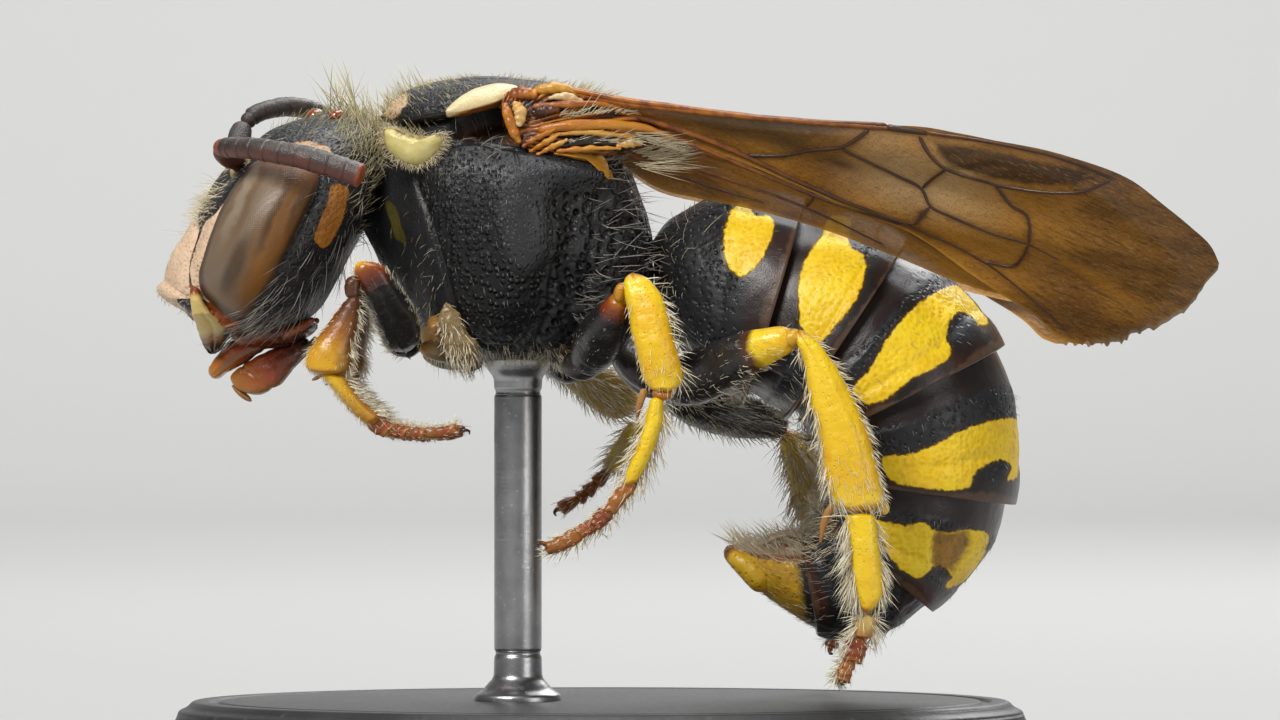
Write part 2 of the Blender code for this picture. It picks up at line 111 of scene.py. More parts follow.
def path_at(points, q, closed=False):
    """Points on a smooth line through the given points, q from 0 to 1 by length."""
    p = arr(points)
    if closed:
        p = np.vstack([p, p[:1]])
    seg = np.linalg.norm(np.diff(p, axis=0), axis=1)
    k = np.concatenate([[0], np.cumsum(np.maximum(seg, 1e-6))])
    if len(p) == 2:
        q = arr(q)[:, None]
        return p[0] * (1 - q) + p[1] * q
    if closed:
        kk = np.concatenate([[k[-2] - k[-1]], k, [k[-1] + k[1]]])
        pp = np.vstack([p[-2], p, p[1]])
        return rows_at(kk, pp, arr(q) * k[-1])
    fine = rows_at(k, p, np.linspace(0, k[-1], 12 * len(p)))
    s = np.concatenate([[0], np.cumsum(np.linalg.norm(np.diff(fine, axis=0), axis=1))])
    qq = arr(q) * s[-1]
    return np.stack([np.interp(qq, s, fine[:, c]) for c in range(p.shape[1])], 1)


def hash01(ix, iy, iz, seed):
    h = (ix.astype(np.int64) * 73856093) ^ (iy.astype(np.int64) * 19349663) ^ (iz.astype(np.int64) * 83492791) ^ (seed * 2654435761)
    h &= 0xffffffff
    h = ((h ^ (h >> 15)) * 2246822519) & 0xffffffff
    h = ((h ^ (h >> 13)) * 3266489917) & 0xffffffff
    return ((h ^ (h >> 16)) & 0xffffff) / float(0xffffff)


def vnoise(P, scale, seed=0):
    """Smooth noise, -1 to 1, at points P; scale is in features per mm."""
    q = arr(P) * scale
    i = np.floor(q).astype(np.int64)
    f = q - i
    f = f * f * (3 - 2 * f)
    out = 0
    for dx in (0, 1):
        for dy in (0, 1):
            for dz in (0, 1):
                w = ((f[..., 0] if dx else 1 - f[..., 0]) * (f[..., 1] if dy else 1 - f[..., 1])
                     * (f[..., 2] if dz else 1 - f[..., 2]))
                out = out + w * hash01(i[..., 0] + dx, i[..., 1] + dy, i[..., 2] + dz, seed)
    return out * 2 - 1


def fbm(P, scale, octaves=3, seed=0):
    out, amp = 0, 1.0
    for k in range(octaves):
        out = out + amp * vnoise(P, scale * 2**k, seed + k)
        amp *= 0.5
    return out


def cells(P, scale, seed=0, jitter=0.9):
    """Distance to the nearest and second nearest cell point, in cell units, and the
    nearest cell's random number."""
    q = arr(P) * scale
    base = np.floor(q).astype(np.int64)
    f1 = np.full(q.shape[:-1], 9.0)
    f2 = np.full(q.shape[:-1], 9.0)
    ident = np.zeros(q.shape[:-1])
    for dx in (-1, 0, 1):
        for dy in (-1, 0, 1):
            for dz in (-1, 0, 1):
                c = base + np.array([dx, dy, dz])
                h = [hash01(c[..., 0], c[..., 1], c[..., 2], seed + s) for s in (11, 23, 37)]
                pt = c + 0.5 + jitter * (np.stack(h, -1) - 0.5)
                d = np.linalg.norm(q - pt, axis=-1)
                nearer = d < f1
                f2 = np.where(nearer, f1, np.minimum(f2, d))
                ident = np.where(nearer, h[0], ident)
                f1 = np.where(nearer, d, f1)
    return f1, f2, ident


def inside(poly, X, Y):
    """Signed distance to a closed outline, positive inside."""
    p = arr(poly)
    best = np.full(X.shape, 1e9)
    odd = np.zeros(X.shape, bool)
    for a, b in zip(p, np.roll(p, -1, axis=0)):
        e = b - a
        t = np.clip(((X - a[0]) * e[0] + (Y - a[1]) * e[1]) / max(e @ e, 1e-12), 0, 1)
        best = np.minimum(best, (X - a[0] - t * e[0])**2 + (Y - a[1] - t * e[1])**2)
        hit = ((a[1] > Y) != (b[1] > Y)) & (X < (b[0] - a[0]) * (Y - a[1]) / ((b[1] - a[1]) or 1e-12) + a[0])
        odd ^= hit
    return np.where(odd, 1, -1) * np.sqrt(best)


def soft_outline(poly, count=90):
    """The same closed outline with rounded corners."""
    return path_at(poly, np.linspace(0, 1, count, endpoint=False), closed=True)


# =====================================================================
# meshes
# =====================================================================
def build(name, V, quads=None, tris=None, mat=None, attrs=None, uv=None, smooth=True,
          replaces=(), uv_name="OFBake"):
    """A mesh object from arrays (V in mm).  attrs are per point, uv per point."""
    V = arr(V)
    me = bpy.data.meshes.new(name)
    nq = 0 if quads is None else len(quads)
    nt = 0 if tris is None else len(tris)
    me.vertices.add(len(V))
    me.vertices.foreach_set("co", (V * MM).astype(np.float32).ravel())
    loops = []
    if nq:
        loops.append(np.asarray(quads, np.int32).ravel())
    if nt:
        loops.append(np.asarray(tris, np.int32).ravel())
    loops = np.concatenate(loops)
    me.loops.add(len(loops))
    me.loops.foreach_set("vertex_index", loops)
    me.polygons.add(nq + nt)
    starts = np.concatenate([np.arange(nq) * 4, nq * 4 + np.arange(nt) * 3]).astype(np.int32)
    me.polygons.foreach_set("loop_start", starts)
    me.polygons.foreach_set("use_smooth", np.full(nq + nt, smooth))
    me.update(calc_edges=True)
    me.validate()
    for key, val in (attrs or {}).items():
        a = me.attributes.new(key, 'FLOAT', 'POINT')
        a.data.foreach_set("value", arr(val).astype(np.float32).ravel())
    if uv is not None:
        layer = me.uv_layers.new(name=uv_name)
        idx = np.zeros(len(me.loops), np.int32)
        me.loops.foreach_get("vertex_index", idx)
        layer.data.foreach_set("uv", arr(uv)[idx].astype(np.float32).ravel())
    ob = bpy.data.objects.new(name, me)
    SCENE.collection.objects.link(ob)
    if mat:
        me.materials.append(mat)
    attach(ob, "root")
    if replaces:
        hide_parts(*replaces)
    return ob


def ring_quads(nu, nv, start=0, closed=True):
    """Faces of a (nu, nv) grid of points; closed joins the last column to the first."""
    i = np.arange(nu - 1)[:, None]
    j = np.arange(nv if closed else nv - 1)[None, :]
    a = i * nv + j
    b = i * nv + (j + 1) % nv
    return (np.stack([a, b, b + nv, a + nv], -1).reshape(-1, 4) + start)


def grid_normals(P, closed=True):
    du = np.gradient(P, axis=0)
    if closed:
        dv = np.roll(P, -1, axis=1) - np.roll(P, 1, axis=1)
    else:
        dv = np.gradient(P, axis=1)
    n = unit(np.cross(du, dv))
    return n


class Shell:
    """A closed tube of points (nu rings of nv points) with pole points at its ends."""

    def __init__(self, P):
        self.P = arr(P)
        self.nu, self.nv = P.shape[:2]
        self.S = np.repeat(np.linspace(0, 1, self.nu)[:, None], self.nv, 1)
        self.T = np.repeat(np.linspace(0, 1, self.nv, endpoint=False)[None, :], self.nu, 0)
        self.a = {}
        n = grid_normals(self.P)
        mid = self.P.mean(axis=1, keepdims=True)
        if ((self.P - mid) * n).sum(-1).mean() < 0:
            self.flip = -1
        else:
            self.flip = 1
        self.N = n * self.flip

    def push(self, d):
        self.P = self.P + self.N * arr(d)[..., None]
        return self

    def renormal(self):
        self.N = grid_normals(self.P) * self.flip
        return self

    def mark(self, name, value):
        self.a[name] = arr(value) * np.ones(self.P.shape[:2])
        return self

    def make(self, name, mat, slot, replaces=(), cap=(True, True), atlas=(0, 0, 1, 1)):
        P = self.P.reshape(-1, 3)
        V = [P]
        quads = ring_quads(self.nu, self.nv)
        tris = []
        at = {k: [v.ravel()] for k, v in self.a.items()}
        n = len(P)
        for end, row, on in ((0, 0, cap[0]), (1, self.nu - 1, cap[1])):
            if not on:
                continue
            V.append(self.P[row].mean(0)[None])
            for k in at:
                at[k].append(self.a[k][row].mean()[None])
            j = np.arange(self.nv)
            a, b = row * self.nv + j, row * self.nv + (j + 1) % self.nv
            c = np.full(self.nv, n)
            tris.append(np.stack([b, a, c] if end == 0 else [a, b, c], -1))
            n += 1
        tris = np.concatenate(tris) if tris else None
        if self.flip > 0:
            quads = quads[:, ::-1]
            tris = tris[:, ::-1] if tris is not None else None
        return build(name, np.vstack(V), quads, tris, mat, {k: np.concatenate(v) for k, v in at.items()},
                     replaces=replaces)


def superloop(nv, pu, pd):
    """Unit rounded-oval coordinates (across, up) with equal-angle spacing."""
    a = np.linspace(0, 2 * math.pi, nv, endpoint=False)
    c, s = np.cos(a), np.sin(a)
    p = np.where(s >= 0, pu, pd)
    r = 1.0 / (np.abs(c)**p + np.abs(s)**p)**(1 / p)
    return c * r, s * r


def sweep(points, wide, thick, nu=60, nv=28, ref=(0, 1, 0), power=2.2, q=None, round_ends=(True, True),
          profile_keys=None):
    """A limb along a smooth path.  wide is the half width seen from the side, thick the
    half width along ref; both are tables along the limb's length."""
    q = np.linspace(0, 1, nu) if q is None else arr(q)
    C = path_at(points, q)
    T = unit(np.gradient(C, axis=0))
    B = unit(arr(ref) - T * (T @ arr(ref))[:, None])
    A = np.cross(B, T)
    wide, thick = arr(wide), arr(thick)
    kw = np.linspace(0, 1, len(wide)) if profile_keys is None else arr(profile_keys)
    kt = np.linspace(0, 1, len(thick)) if profile_keys is None or len(thick) != len(wide) else arr(profile_keys)
    W = rows_at(kw, wide, q)[:, 0]
    H = rows_at(kt, thick, q)[:, 0]
    length = np.linalg.norm(np.diff(C, axis=0), axis=1).sum()
    s = q * length
    for end, on in ((0, round_ends[0]), (1, round_ends[1])):
        if on:
            r = (W[0] if end == 0 else W[-1]) * float(on)
            x = s if end == 0 else length - s
            k = np.sqrt(np.clip(1 - (1 - np.clip(x / r, 0, 1))**2, 0.0009, 1))
            W, H = W * k, H * k
    cx, cy = superloop(nv, power, power)
    P = C[:, None] + A[:, None] * (W[:, None] * cx)[..., None] + B[:, None] * (H[:, None] * cy)[..., None]
    return Shell(P)


def blade(left, right, ys, thick, nu=90, nv=40, power=2.25, ends=(0.10, 0.10)):
    """A flattened limb between its two edges seen from the side; ys is the sideways
    place along it, thick the half thickness."""
    q = np.linspace(0, 1, nu)
    L, R = path_at(left, q), path_at(right, q)
    y = np.interp(q, np.linspace(0, 1, len(ys)), ys)
    t = rows_at(np.linspace(0, 1, len(thick)), thick, q)[:, 0]
    k = np.ones(nu)
    if ends[0]:
        k *= np.sqrt(np.clip(1 - (1 - np.clip(q / ends[0], 0, 1))**2, 0.01, 1))
    if ends[1]:
        k *= np.sqrt(np.clip(1 - (1 - np.clip((1 - q) / ends[1], 0, 1))**2, 0.01, 1))
    cx, cy = superloop(nv, power, power)
    C, H = (L + R) / 2, (R - L) / 2
    P = np.stack([C[:, 0:1] + H[:, 0:1] * k[:, None] * cx, y[:, None] + (t * k)[:, None] * cy,
                  C[:, 1:2] + H[:, 1:2] * k[:, None] * cx], -1)
    sh = Shell(P)
    sh.a["across"] = np.broadcast_to(cx, P.shape[:2]) * 1.0
    return sh


def end_dense(n, bias=0.35):
    """Values 0 to 1, closer together near both ends."""
    t = np.linspace(0, 1, n)
    return (1 - bias) * t + bias * (0.5 - 0.5 * np.cos(math.pi * t))


def ellipsoid(centre, ax, nu=40, nv=48):
    """ax: three axis vectors; the poles lie on the third."""
    t = np.linspace(0.02, math.pi - 0.02, nu)
    a = np.linspace(0, 2 * math.pi, nv, endpoint=False)
    x = np.sin(t)[:, None] * np.cos(a)
    y = np.sin(t)[:, None] * np.sin(a)
    z = np.cos(t)[:, None] * np.ones(nv)
    ax = arr(ax)
    return Shell(arr(centre) + x[..., None] * ax[0] + y[..., None] * ax[1] + z[..., None] * ax[2])


def join(name, parts, mat, replaces=()):
    """Several shells as one object."""
    V, Q, T, at, n = [], [], [], {}, 0
    keys = sorted({k for p in parts for k in p.a})
    for p in parts:
        pts = p.P.reshape(-1, 3)
        quads = ring_quads(p.nu, p.nv)
        tris = []
        extra = []
        for row, end in ((0, 0), (p.nu - 1, 1)):
            extra.append(p.P[row].mean(0))
            j = np.arange(p.nv)
            a, b = row * p.nv + j, row * p.nv + (j + 1) % p.nv
            c = np.full(p.nv, len(pts) + end)
            tris.append(np.stack([b, a, c] if end == 0 else [a, b, c], -1))
        tris = np.concatenate(tris)
        if p.flip > 0:
            quads, tris = quads[:, ::-1], tris[:, ::-1]
        V.append(np.vstack([pts, arr(extra)]))
        Q.append(quads + n)
        T.append(tris + n)
        for k in keys:
            v = p.a.get(k, np.zeros(p.P.shape[:2]))
            at.setdefault(k, []).append(np.concatenate([v.ravel(), [v[0].mean(), v[-1].mean()]]))
        n += len(pts) + 2
    return build(name, np.vstack(V), np.vstack(Q), np.vstack(T), mat,
                 {k: np.concatenate(v) for k, v in at.items()}, replaces=replaces)


def mirror_y(P):
    return arr(P) * np.array([1, -1, 1])


# =====================================================================
# materials
# =====================================================================
class Graph:
    """Small helper to write node trees as expressions."""

    def __init__(self, name):
        self.mat = bpy.data.materials.new(name)
        self.mat.use_nodes = True
        self.nt = self.mat.node_tree
        self.nt.nodes.clear()
        self.out = self.nt.nodes.new('ShaderNodeOutputMaterial')
        tc = self.nt.nodes.new('ShaderNodeTexCoord')
        v = self.nt.nodes.new('ShaderNodeVectorMath')
        v.operation = 'SCALE'
        v.inputs['Scale'].default_value = 1000.0
        self.nt.links.new(tc.outputs['Object'], v.inputs[0])
        self.co = v.outputs[0]

    def put(self, socket, value):
        if isinstance(value, bpy.types.NodeSocket):
            self.nt.links.new(value, socket)
        elif value is not None:
            if isinstance(value, (tuple, list)) and len(value) == 3 and socket.type == 'RGBA':
                value = (*value, 1.0)
            socket.default_value = value

    def node(self, kind, inputs=None, **props):
        n = self.nt.nodes.new(kind)
        for k, v in props.items():
            setattr(n, k, v)
        for k, v in (inputs or {}).items():
            self.put(n.inputs[k], v)
        return n

    def math(self, op, a, b=None, c=None, clamp=False):
        n = self.node('ShaderNodeMath', operation=op, use_clamp=clamp)
        for i, v in enumerate((a, b, c)):
            if v is not None:
                self.put(n.inputs[i], v)
        return n.outputs[0]

    def add(self, a, b):
        return self.math('ADD', a, b)

    def mul(self, a, b, clamp=False):
        return self.math('MULTIPLY', a, b, clamp=clamp)

    def mix(self, f, a, b, blend='MIX'):
        n = self.nt.nodes.new('ShaderNodeMix')
        n.data_type = 'RGBA'
        n.blend_type = blend
        n.clamp_factor = True
        self.put(n.inputs[0], f)
        self.put(n.inputs[6], a)
        self.put(n.inputs[7], b)
        return n.outputs[2]

    def mixf(self, f, a, b):
        n = self.nt.nodes.new('ShaderNodeMix')
        n.data_type = 'FLOAT'
        self.put(n.inputs[0], f)
        self.put(n.inputs[2], a)
        self.put(n.inputs[3], b)
        return n.outputs[0]

    def step(self, x, lo, hi):
        """0 below lo, 1 above hi, smooth between."""
        n = self.node('ShaderNodeMapRange', {0: x, 1: lo, 2: hi, 3: 0.0, 4: 1.0}, interpolation_type='SMOOTHSTEP')
        return n.outputs[0]

    def lerp(self, x, lo, hi, a, b):
        n = self.node('ShaderNodeMapRange', {0: x, 1: lo, 2: hi, 3: a, 4: b})
        return n.outputs[0]

    def noise(self, scale, detail=3.0, rough=0.55, vec=None, dist=0.0):
        n = self.node('ShaderNodeTexNoise', {'Scale': scale, 'Detail': detail, 'Roughness': rough, 'Distortion': dist,
                                             'Vector': vec or self.co})
        return n.outputs[0]

    def voro(self, scale, feature='F1', vec=None, rand=1.0, out='Distance', smooth=None):
        n = self.node('ShaderNodeTexVoronoi', feature=feature)
        self.put(n.inputs['Vector'], vec or self.co)
        n.inputs['Scale'].default_value = scale
        n.inputs['Randomness'].default_value = rand
        if smooth is not None:
            n.inputs['Smoothness'].default_value = smooth
        return n.outputs[out]

    def attr(self, name):
        return self.node('ShaderNodeAttribute', attribute_name=name).outputs['Fac']

    def ramp(self, f, stops, mode='LINEAR'):
        n = self.nt.nodes.new('ShaderNodeValToRGB')
        n.color_ramp.interpolation = mode
        el = n.color_ramp.elements
        while len(el) > 1:
            el.remove(el[-1])
        el[0].position, el[0].color = stops[0][0], (*stops[0][1], 1)
        for p, c in stops[1:]:
            e = el.new(p)
            e.color = (*c, 1)
        self.put(n.inputs[0], f)
        return n.outputs[0]

    def stretch(self, sx, sy, sz):
        n = self.node('ShaderNodeVectorMath', operation='MULTIPLY')
        self.put(n.inputs[0], self.co)
        n.inputs[1].default_value = (sx, sy, sz)
        return n.outputs[0]

    def bump(self, height, depth_um, normal=None, strength=1.0):
        n = self.node('ShaderNodeBump', {'Strength': strength, 'Distance': depth_um * 1e-6, 'Height': height})
        if normal is not None:
            self.put(n.inputs['Normal'], normal)
        return n.outputs[0]

    def surface(self, color, rough=0.4, normal=None, metallic=0.0, spec=0.5, coat=0.0, coat_rough=0.1, alpha=None,
                sss=0.0, sss_color=None, sheen=0.0, ior=None, transmission=0.0):
        b = self.nt.nodes.new('ShaderNodeBsdfPrincipled')
        self.put(b.inputs['Base Color'], color)
        self.put(b.inputs['Roughness'], rough)
        self.put(b.inputs['Metallic'], metallic)
        b.inputs['Specular IOR Level'].default_value = spec
        b.inputs['Coat Weight'].default_value = coat
        b.inputs['Coat Roughness'].default_value = coat_rough
        b.inputs['Sheen Weight'].default_value = sheen
        if ior:
            b.inputs['IOR'].default_value = ior
        if transmission:
            b.inputs['Transmission Weight'].default_value = transmission
        if sss:
            b.inputs['Subsurface Weight'].default_value = sss
            b.inputs['Subsurface Radius'].default_value = (1.0, 0.6, 0.25)
            b.inputs['Subsurface Scale'].default_value = 0.00008
        if alpha is not None:
            self.put(b.inputs['Alpha'], alpha)
        if normal is not None:
            self.put(b.inputs['Normal'], normal)
        self.nt.links.new(b.outputs[0], self.out.inputs['Surface'])
        return b


BLACK = (0.0095, 0.0095, 0.0105)
BLACK2 = (0.020, 0.019, 0.019)
YELLOW = (0.62, 0.39, 0.012)
YELLOW2 = (0.50, 0.27, 0.006)
CREAM = (0.60, 0.44, 0.28)
PALE = (0.62, 0.55, 0.26)
ORANGE = (0.33, 0.10, 0.008)
RED = (0.16, 0.022, 0.003)
BROWN = (0.060, 0.022, 0.007)


def cuticle(name, pit_scale=24.0, pit_depth=9.0, fine=3.0, rough=0.36, base=BLACK, base2=BLACK2, marks=(),
            rim=False, pits_attr=None, coat=0.0, edge=0.012):
    """Insect shell: dark base with pits; marks is a list of (attribute, colour, second
    colour, dark edge); each attribute is a signed distance in mm, positive inside."""
    g = Graph(name)
    n1 = g.noise(3.2, 4.0)
    n2 = g.noise(40.0, 2.0)
    pit = g.voro(pit_scale, rand=0.85)
    pit_h = g.step(pit, 0.10, 0.52)
    grain = g.noise(90.0, 2.0)
    color = g.mix(g.step(n1, 0.35, 0.7), base, base2)
    # painted shade: pit centres darkened towards a third of the base colour
    color = g.mix(g.mul(g.math('SUBTRACT', 1.0, pit_h), 0.5), color, tuple(c * 0.35 for c in base))
    roughness = g.add(g.mul(g.math('SUBTRACT', n2, 0.5), 0.18), rough)
    for attribute, c1, c2, edge_color in marks:
        d = g.attr(attribute)
        wob = g.mul(g.math('SUBTRACT', g.noise(26.0, 2.0), 0.5), 0.030)
        d = g.add(d, wob)
        body = g.mix(g.step(n1, 0.30, 0.72), c1, c2)
        # painted shade in the pits on the coloured marks as well
        body = g.mix(g.mul(g.math('SUBTRACT', 1.0, g.step(pit, 0.06, 0.40)), 0.42), body, tuple(c * 0.45 for c in c2))
        body = g.mix(g.mul(g.step(grain, 0.45, 0.75), 0.22), body, tuple(min(1, c * 1.35 + 0.03) for c in c1))
        if edge_color is not None:
            color = g.mix(g.step(d, -0.030, -0.002), color, edge_color)
        m = g.step(d, -edge * 0.6, edge * 0.6)
        color = g.mix(m, color, body)
        roughness = g.mixf(m, roughness, g.add(g.mul(n2, 0.15), 0.40))
    if rim:
        r = g.attr('rim')
        rc = g.mix(g.step(n1, 0.3, 0.7), (0.055, 0.022, 0.010), (0.030, 0.014, 0.009))
        rm = g.step(g.add(r, g.mul(g.math('SUBTRACT', g.noise(18.0, 2.0), 0.5), 0.05)), 0.30, 0.75)
        color = g.mix(g.mul(rm, 0.75), color, rc)
        color = g.mix(g.mul(g.step(r, 0.90, 0.99), 0.55), color, (0.20, 0.12, 0.06))
        roughness = g.mixf(g.step(r, 0.2, 0.6), roughness, 0.24)
        pit_h = g.mixf(g.step(r, 0.15, 0.55), pit_h, 1.0)
        base_band = g.attr('base')
        pit_h = g.mixf(g.step(base_band, 0.2, 0.8), pit_h, 1.0)
        roughness = g.mixf(g.step(base_band, 0.2, 0.8), roughness, 0.20)
    nrm = g.bump(pit_h, pit_depth)
    nrm = g.bump(grain, fine, nrm)
    g.surface(color, roughness, nrm, spec=0.5, coat=coat, coat_rough=0.15)
    return g.mat


def hair_material(name, root, tip, rough=0.45):
    g = Graph(name)
    f = g.attr('along')
    v = g.attr('vary')
    c = g.mix(f, root, tip)
    c = g.mix(g.mul(v, 0.5), c, tuple(min(1.0, x * 1.6 + 0.05) for x in tip))
    g.surface(c, rough, None, spec=0.5)
    return g.mat


# =====================================================================
# head
# =====================================================================
HEAD_O = arr((-3.135, 0.0, 5.712))
DOWN = arr((-0.520, 0.0, -0.854))
FRONT = arr((-0.854, 0.0, 0.520))
YAX = arr((0.0, 1.0, 0.0))
# along DOWN: rear edge, front edge, half width
HEAD_KEYS = [-1.240, -1.215, -1.15, -1.05, -0.90, -0.67, -0.40, -0.10, 0.29, 0.62, 0.90, 1.10, 1.25, 1.30]
HEAD_ROWS = [(-0.29, -0.27, 0.03), (-0.45, -0.13, 0.27), (-0.58, 0.00, 0.50), (-0.67, 0.12, 0.74),
             (-0.74, 0.265, 0.98), (-0.80, 0.45, 1.19), (-0.84, 0.545, 1.30), (-0.86, 0.62, 1.35),
             (-0.87, 0.63, 1.35), (-0.84, 0.60, 1.27), (-0.68, 0.575, 1.08), (-0.45, 0.51, 0.86),
             (-0.18, 0.43, 0.58), (0.08, 0.16, 0.03)]


def head_frame(P):
    r = arr(P) - HEAD_O
    return r @ DOWN, r @ FRONT, r[..., 1]


def head_point(d, f, y):
    d, f, y = arr(d), arr(f), arr(y)
    return HEAD_O + d[..., None] * DOWN + f[..., None] * FRONT + y[..., None] * YAX


def head_section(d):
    r = rows_at(HEAD_KEYS, HEAD_ROWS, np.atleast_1d(d))
    return (r[:, 0] + r[:, 1]) / 2, (r[:, 1] - r[:, 0]) / 2, r[:, 2]


def head_side_y(d, f):
    """Half width of the plain head at (d, f)."""
    d, f = np.broadcast_arrays(arr(d), arr(f))
    fc, hd, hw = [v.reshape(d.shape) for v in head_section(d.ravel())]
    t = np.clip(np.abs((f - fc) / hd), 0, 0.999)
    p = np.where(f > fc, 2.0, 2.4)
    return hw * (1 - t**p)**(1 / p)


def both(poly):
    """Outline in (|y|, d) that touches y = 0, made whole by its mirror image."""
    p = arr(poly)
    return np.vstack([p, (p * [-1, 1])[::-1]])


EYE_C = (0.275, 0.008)     # along DOWN, FRONT
EYE_R = (0.875, 0.435)
EYE_LEAN = -0.125


# the eye's outline from the side
EYE_OUT = [(-3.211, 6.215), (-3.306, 6.168), (-3.410, 6.054), (-3.496, 5.940), (-3.591, 5.779), (-3.696, 5.532), (-3.781, 5.275), (-3.829, 5.085), (-3.800, 4.933), (-3.696, 4.819), (-3.582, 4.714), (-3.458, 4.657), (-3.353, 4.724), (-3.268, 4.829), (-3.107, 5.047), (-2.935, 5.389), (-2.764, 5.740), (-2.688, 5.921), (-2.669, 6.035), (-2.736, 6.139), (-2.869, 6.206), (-3.040, 6.234)]


def eye_uw(d, f):
    return (d - EYE_C[0]) / EYE_R[0], (f - EYE_C[1] - EYE_LEAN * (d - EYE_C[0])) / EYE_R[1]


ring_ = soft_outline(EYE_OUT, 240)
ring_ = np.stack([ring_[:, 0], 0 * ring_[:, 0], ring_[:, 1]], 1) - HEAD_O
ring_ = np.stack(eye_uw(ring_ @ DOWN, ring_ @ FRONT), 1)
ang_ = np.arctan2(ring_[:, 1], ring_[:, 0])
order_ = np.argsort(ang_)
EYE_ANG = np.concatenate([ang_[order_] - 2 * math.pi, ang_[order_], ang_[order_] + 2 * math.pi])
EYE_REACH = np.tile(np.hypot(ring_[:, 0], ring_[:, 1])[order_], 3)


def eye_reach(u, w):
    return np.interp(np.arctan2(w, u), EYE_ANG, EYE_REACH)


def eye_metric(d, f):
    u, w = eye_uw(d, f)
    return np.hypot(u, w) / eye_reach(u, w), u, w


CLYPEUS = both([(0, 0.450), (0.34, 0.462), (0.53, 0.495), (0.655, 0.56), (0.725, 0.72), (0.775, 0.94),
                (0.775, 1.10), (0.68, 1.21), (0.44, 1.265), (0, 1.275)])
PAROCULAR = [(0.915, 0.15), (0.885, 0.32), (0.735, 0.45), (0.765, 0.58), (0.795, 0.76), (0.835, 0.97), (0.90, 1.08),
             (1.10, 1.02), (1.2, 0.6), (1.04, 0.20)]
GENA_STRIPE = [(-2.527, 5.959), (-2.403, 5.930), (-2.413, 5.760), (-2.498, 5.522), (-2.641, 5.351), (-2.708, 5.427), (-2.660, 5.598), (-2.584, 5.779)]
VERTEX_SPOT = [(-2.983, 6.320), (-2.850, 6.367), (-2.679, 6.348), (-2.565, 6.292), (-2.546, 6.215), (-2.755, 6.225), (-2.945, 6.253)]
CROWN_OCELLI = (-1.055, -0.05, 0.46)

HN, HM = ((164, 390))
t = np.linspace(0, 1, HN)
dk = HEAD_KEYS[0] + (HEAD_KEYS[-1] - HEAD_KEYS[0]) * (0.45 * t + 0.55 * (0.5 - 0.5 * np.cos(math.pi * t)))
fc, hd, hw = head_section(dk)
cx, cy = superloop(HM, 2.0, 2.4)
HEADP = head_point(dk[:, None] + 0 * cx, fc[:, None] + hd[:, None] * cy, hw[:, None] * cx)
head = Shell(HEADP)
d, f, y = head_frame(head.P)
ay = np.abs(y)
front = smoothstep(-0.05, 0.15, f - 0.0)
e, eu, ew = eye_metric(d, f)
side = smoothstep(0.55, 0.8, ay)
clyp = inside(soft_outline(CLYPEUS, 120), y, d) * np.where(f > 0.05, 1, -1)
clyp = np.where(f > 0.05, clyp, -0.5)
paro = np.where(f > 0.05, inside(soft_outline(PAROCULAR, 60), ay, d), -0.5)
push = 0.034 * smoothstep(-0.01, 0.10, clyp) * (1 - 0.3 * (ay / 0.8)**2)
push += 0.045 * np.exp(-((d - 0.98) / 0.30)**2) * np.exp(-(ay / 0.75)**4) * front
push -= 0.022 * np.exp(-(clyp / 0.016)**2)
push += 0.010 * np.exp(-((d - 1.20) / 0.030)**2) * smoothstep(0.02, 0.0, np.abs(clyp - 0.03) - 0.05) * front
# hollow where the feeler sits, ridge down the middle of the face
push -= 0.105 * np.exp(-(((ay - 0.50) / 0.19)**2 + ((d + 0.16) / 0.24)**2)) * front
push += 0.030 * np.exp(-(ay / 0.13)**2) * np.exp(-((d - 0.10) / 0.35)**2) * front
push += 0.035 * np.exp(-((ay - 0.50)**2 / 0.30**2)) * np.exp(-((d - 0.33) / 0.10)**2) * front * 0.5
# groove round the eye, lowered under it
push -= side * (0.020 * np.exp(-((e - 1.02) / 0.045)**2) + 0.05 * smoothstep(1.0, 0.85, e))
# rear of the head: keeled cheek edge, hollow behind
keel = np.exp(-((f + 0.80 - 0.1 * d) / 0.05)**2) * side
push += 0.02 * keel
push -= 0.06 * smoothstep(-0.70, -0.84, f) * np.exp(-(y / 0.7)**2) * np.exp(-((d + 0.1) / 0.6)**2)
# soft lumps round the ocelli
oc = ((d - CROWN_OCELLI[0])**2 + (f - CROWN_OCELLI[1])**2 + (ay - CROWN_OCELLI[2])**2)
push += -0.018 * np.exp(-((np.sqrt(oc) - 0.115) / 0.03)**2)
f1, f2, ident = cells(head.P, 21.0, 3)
pit = smoothstep(0.50, 0.12, f1)
plain = 1 - 0.45 * smoothstep(-0.02, 0.02, np.maximum(clyp, paro))
push -= 0.0115 * pit * plain * smoothstep(0.98, 1.06, np.where(side > 0.5, e, 2.0))
g1, _, _ = cells(head.P, 27.0, 14, 0.9)
push -= 0.009 * smoothstep(0.45, 0.10, g1) * smoothstep(0.0, 0.04, clyp)
push += 0.004 * fbm(head.P, 5.0, 3, 5)
head.push(push)
head.mark("m_face", np.maximum(clyp, paro))
sx, sz = HEADP[..., 0], HEADP[..., 2]
head.mark("m_gena", np.where(ay > 0.6, inside(soft_outline(GENA_STRIPE, 60), sx, sz), -0.5))
head.mark("m_spot", np.where(ay > 0.5, inside(soft_outline(VERTEX_SPOT, 60), sx, sz), -0.5))
head.mark("m_lip", np.where(f > 0.05, np.minimum(0.050 - np.abs(d - 1.315), 0.80 - ay), -0.5))
head.mark("m_malar", np.where(ay > 0.5, np.minimum(np.minimum(0.075 - np.abs(e - 1.075), d - 0.98), f + 0.30), -0.5))
HEAD_SURF = head


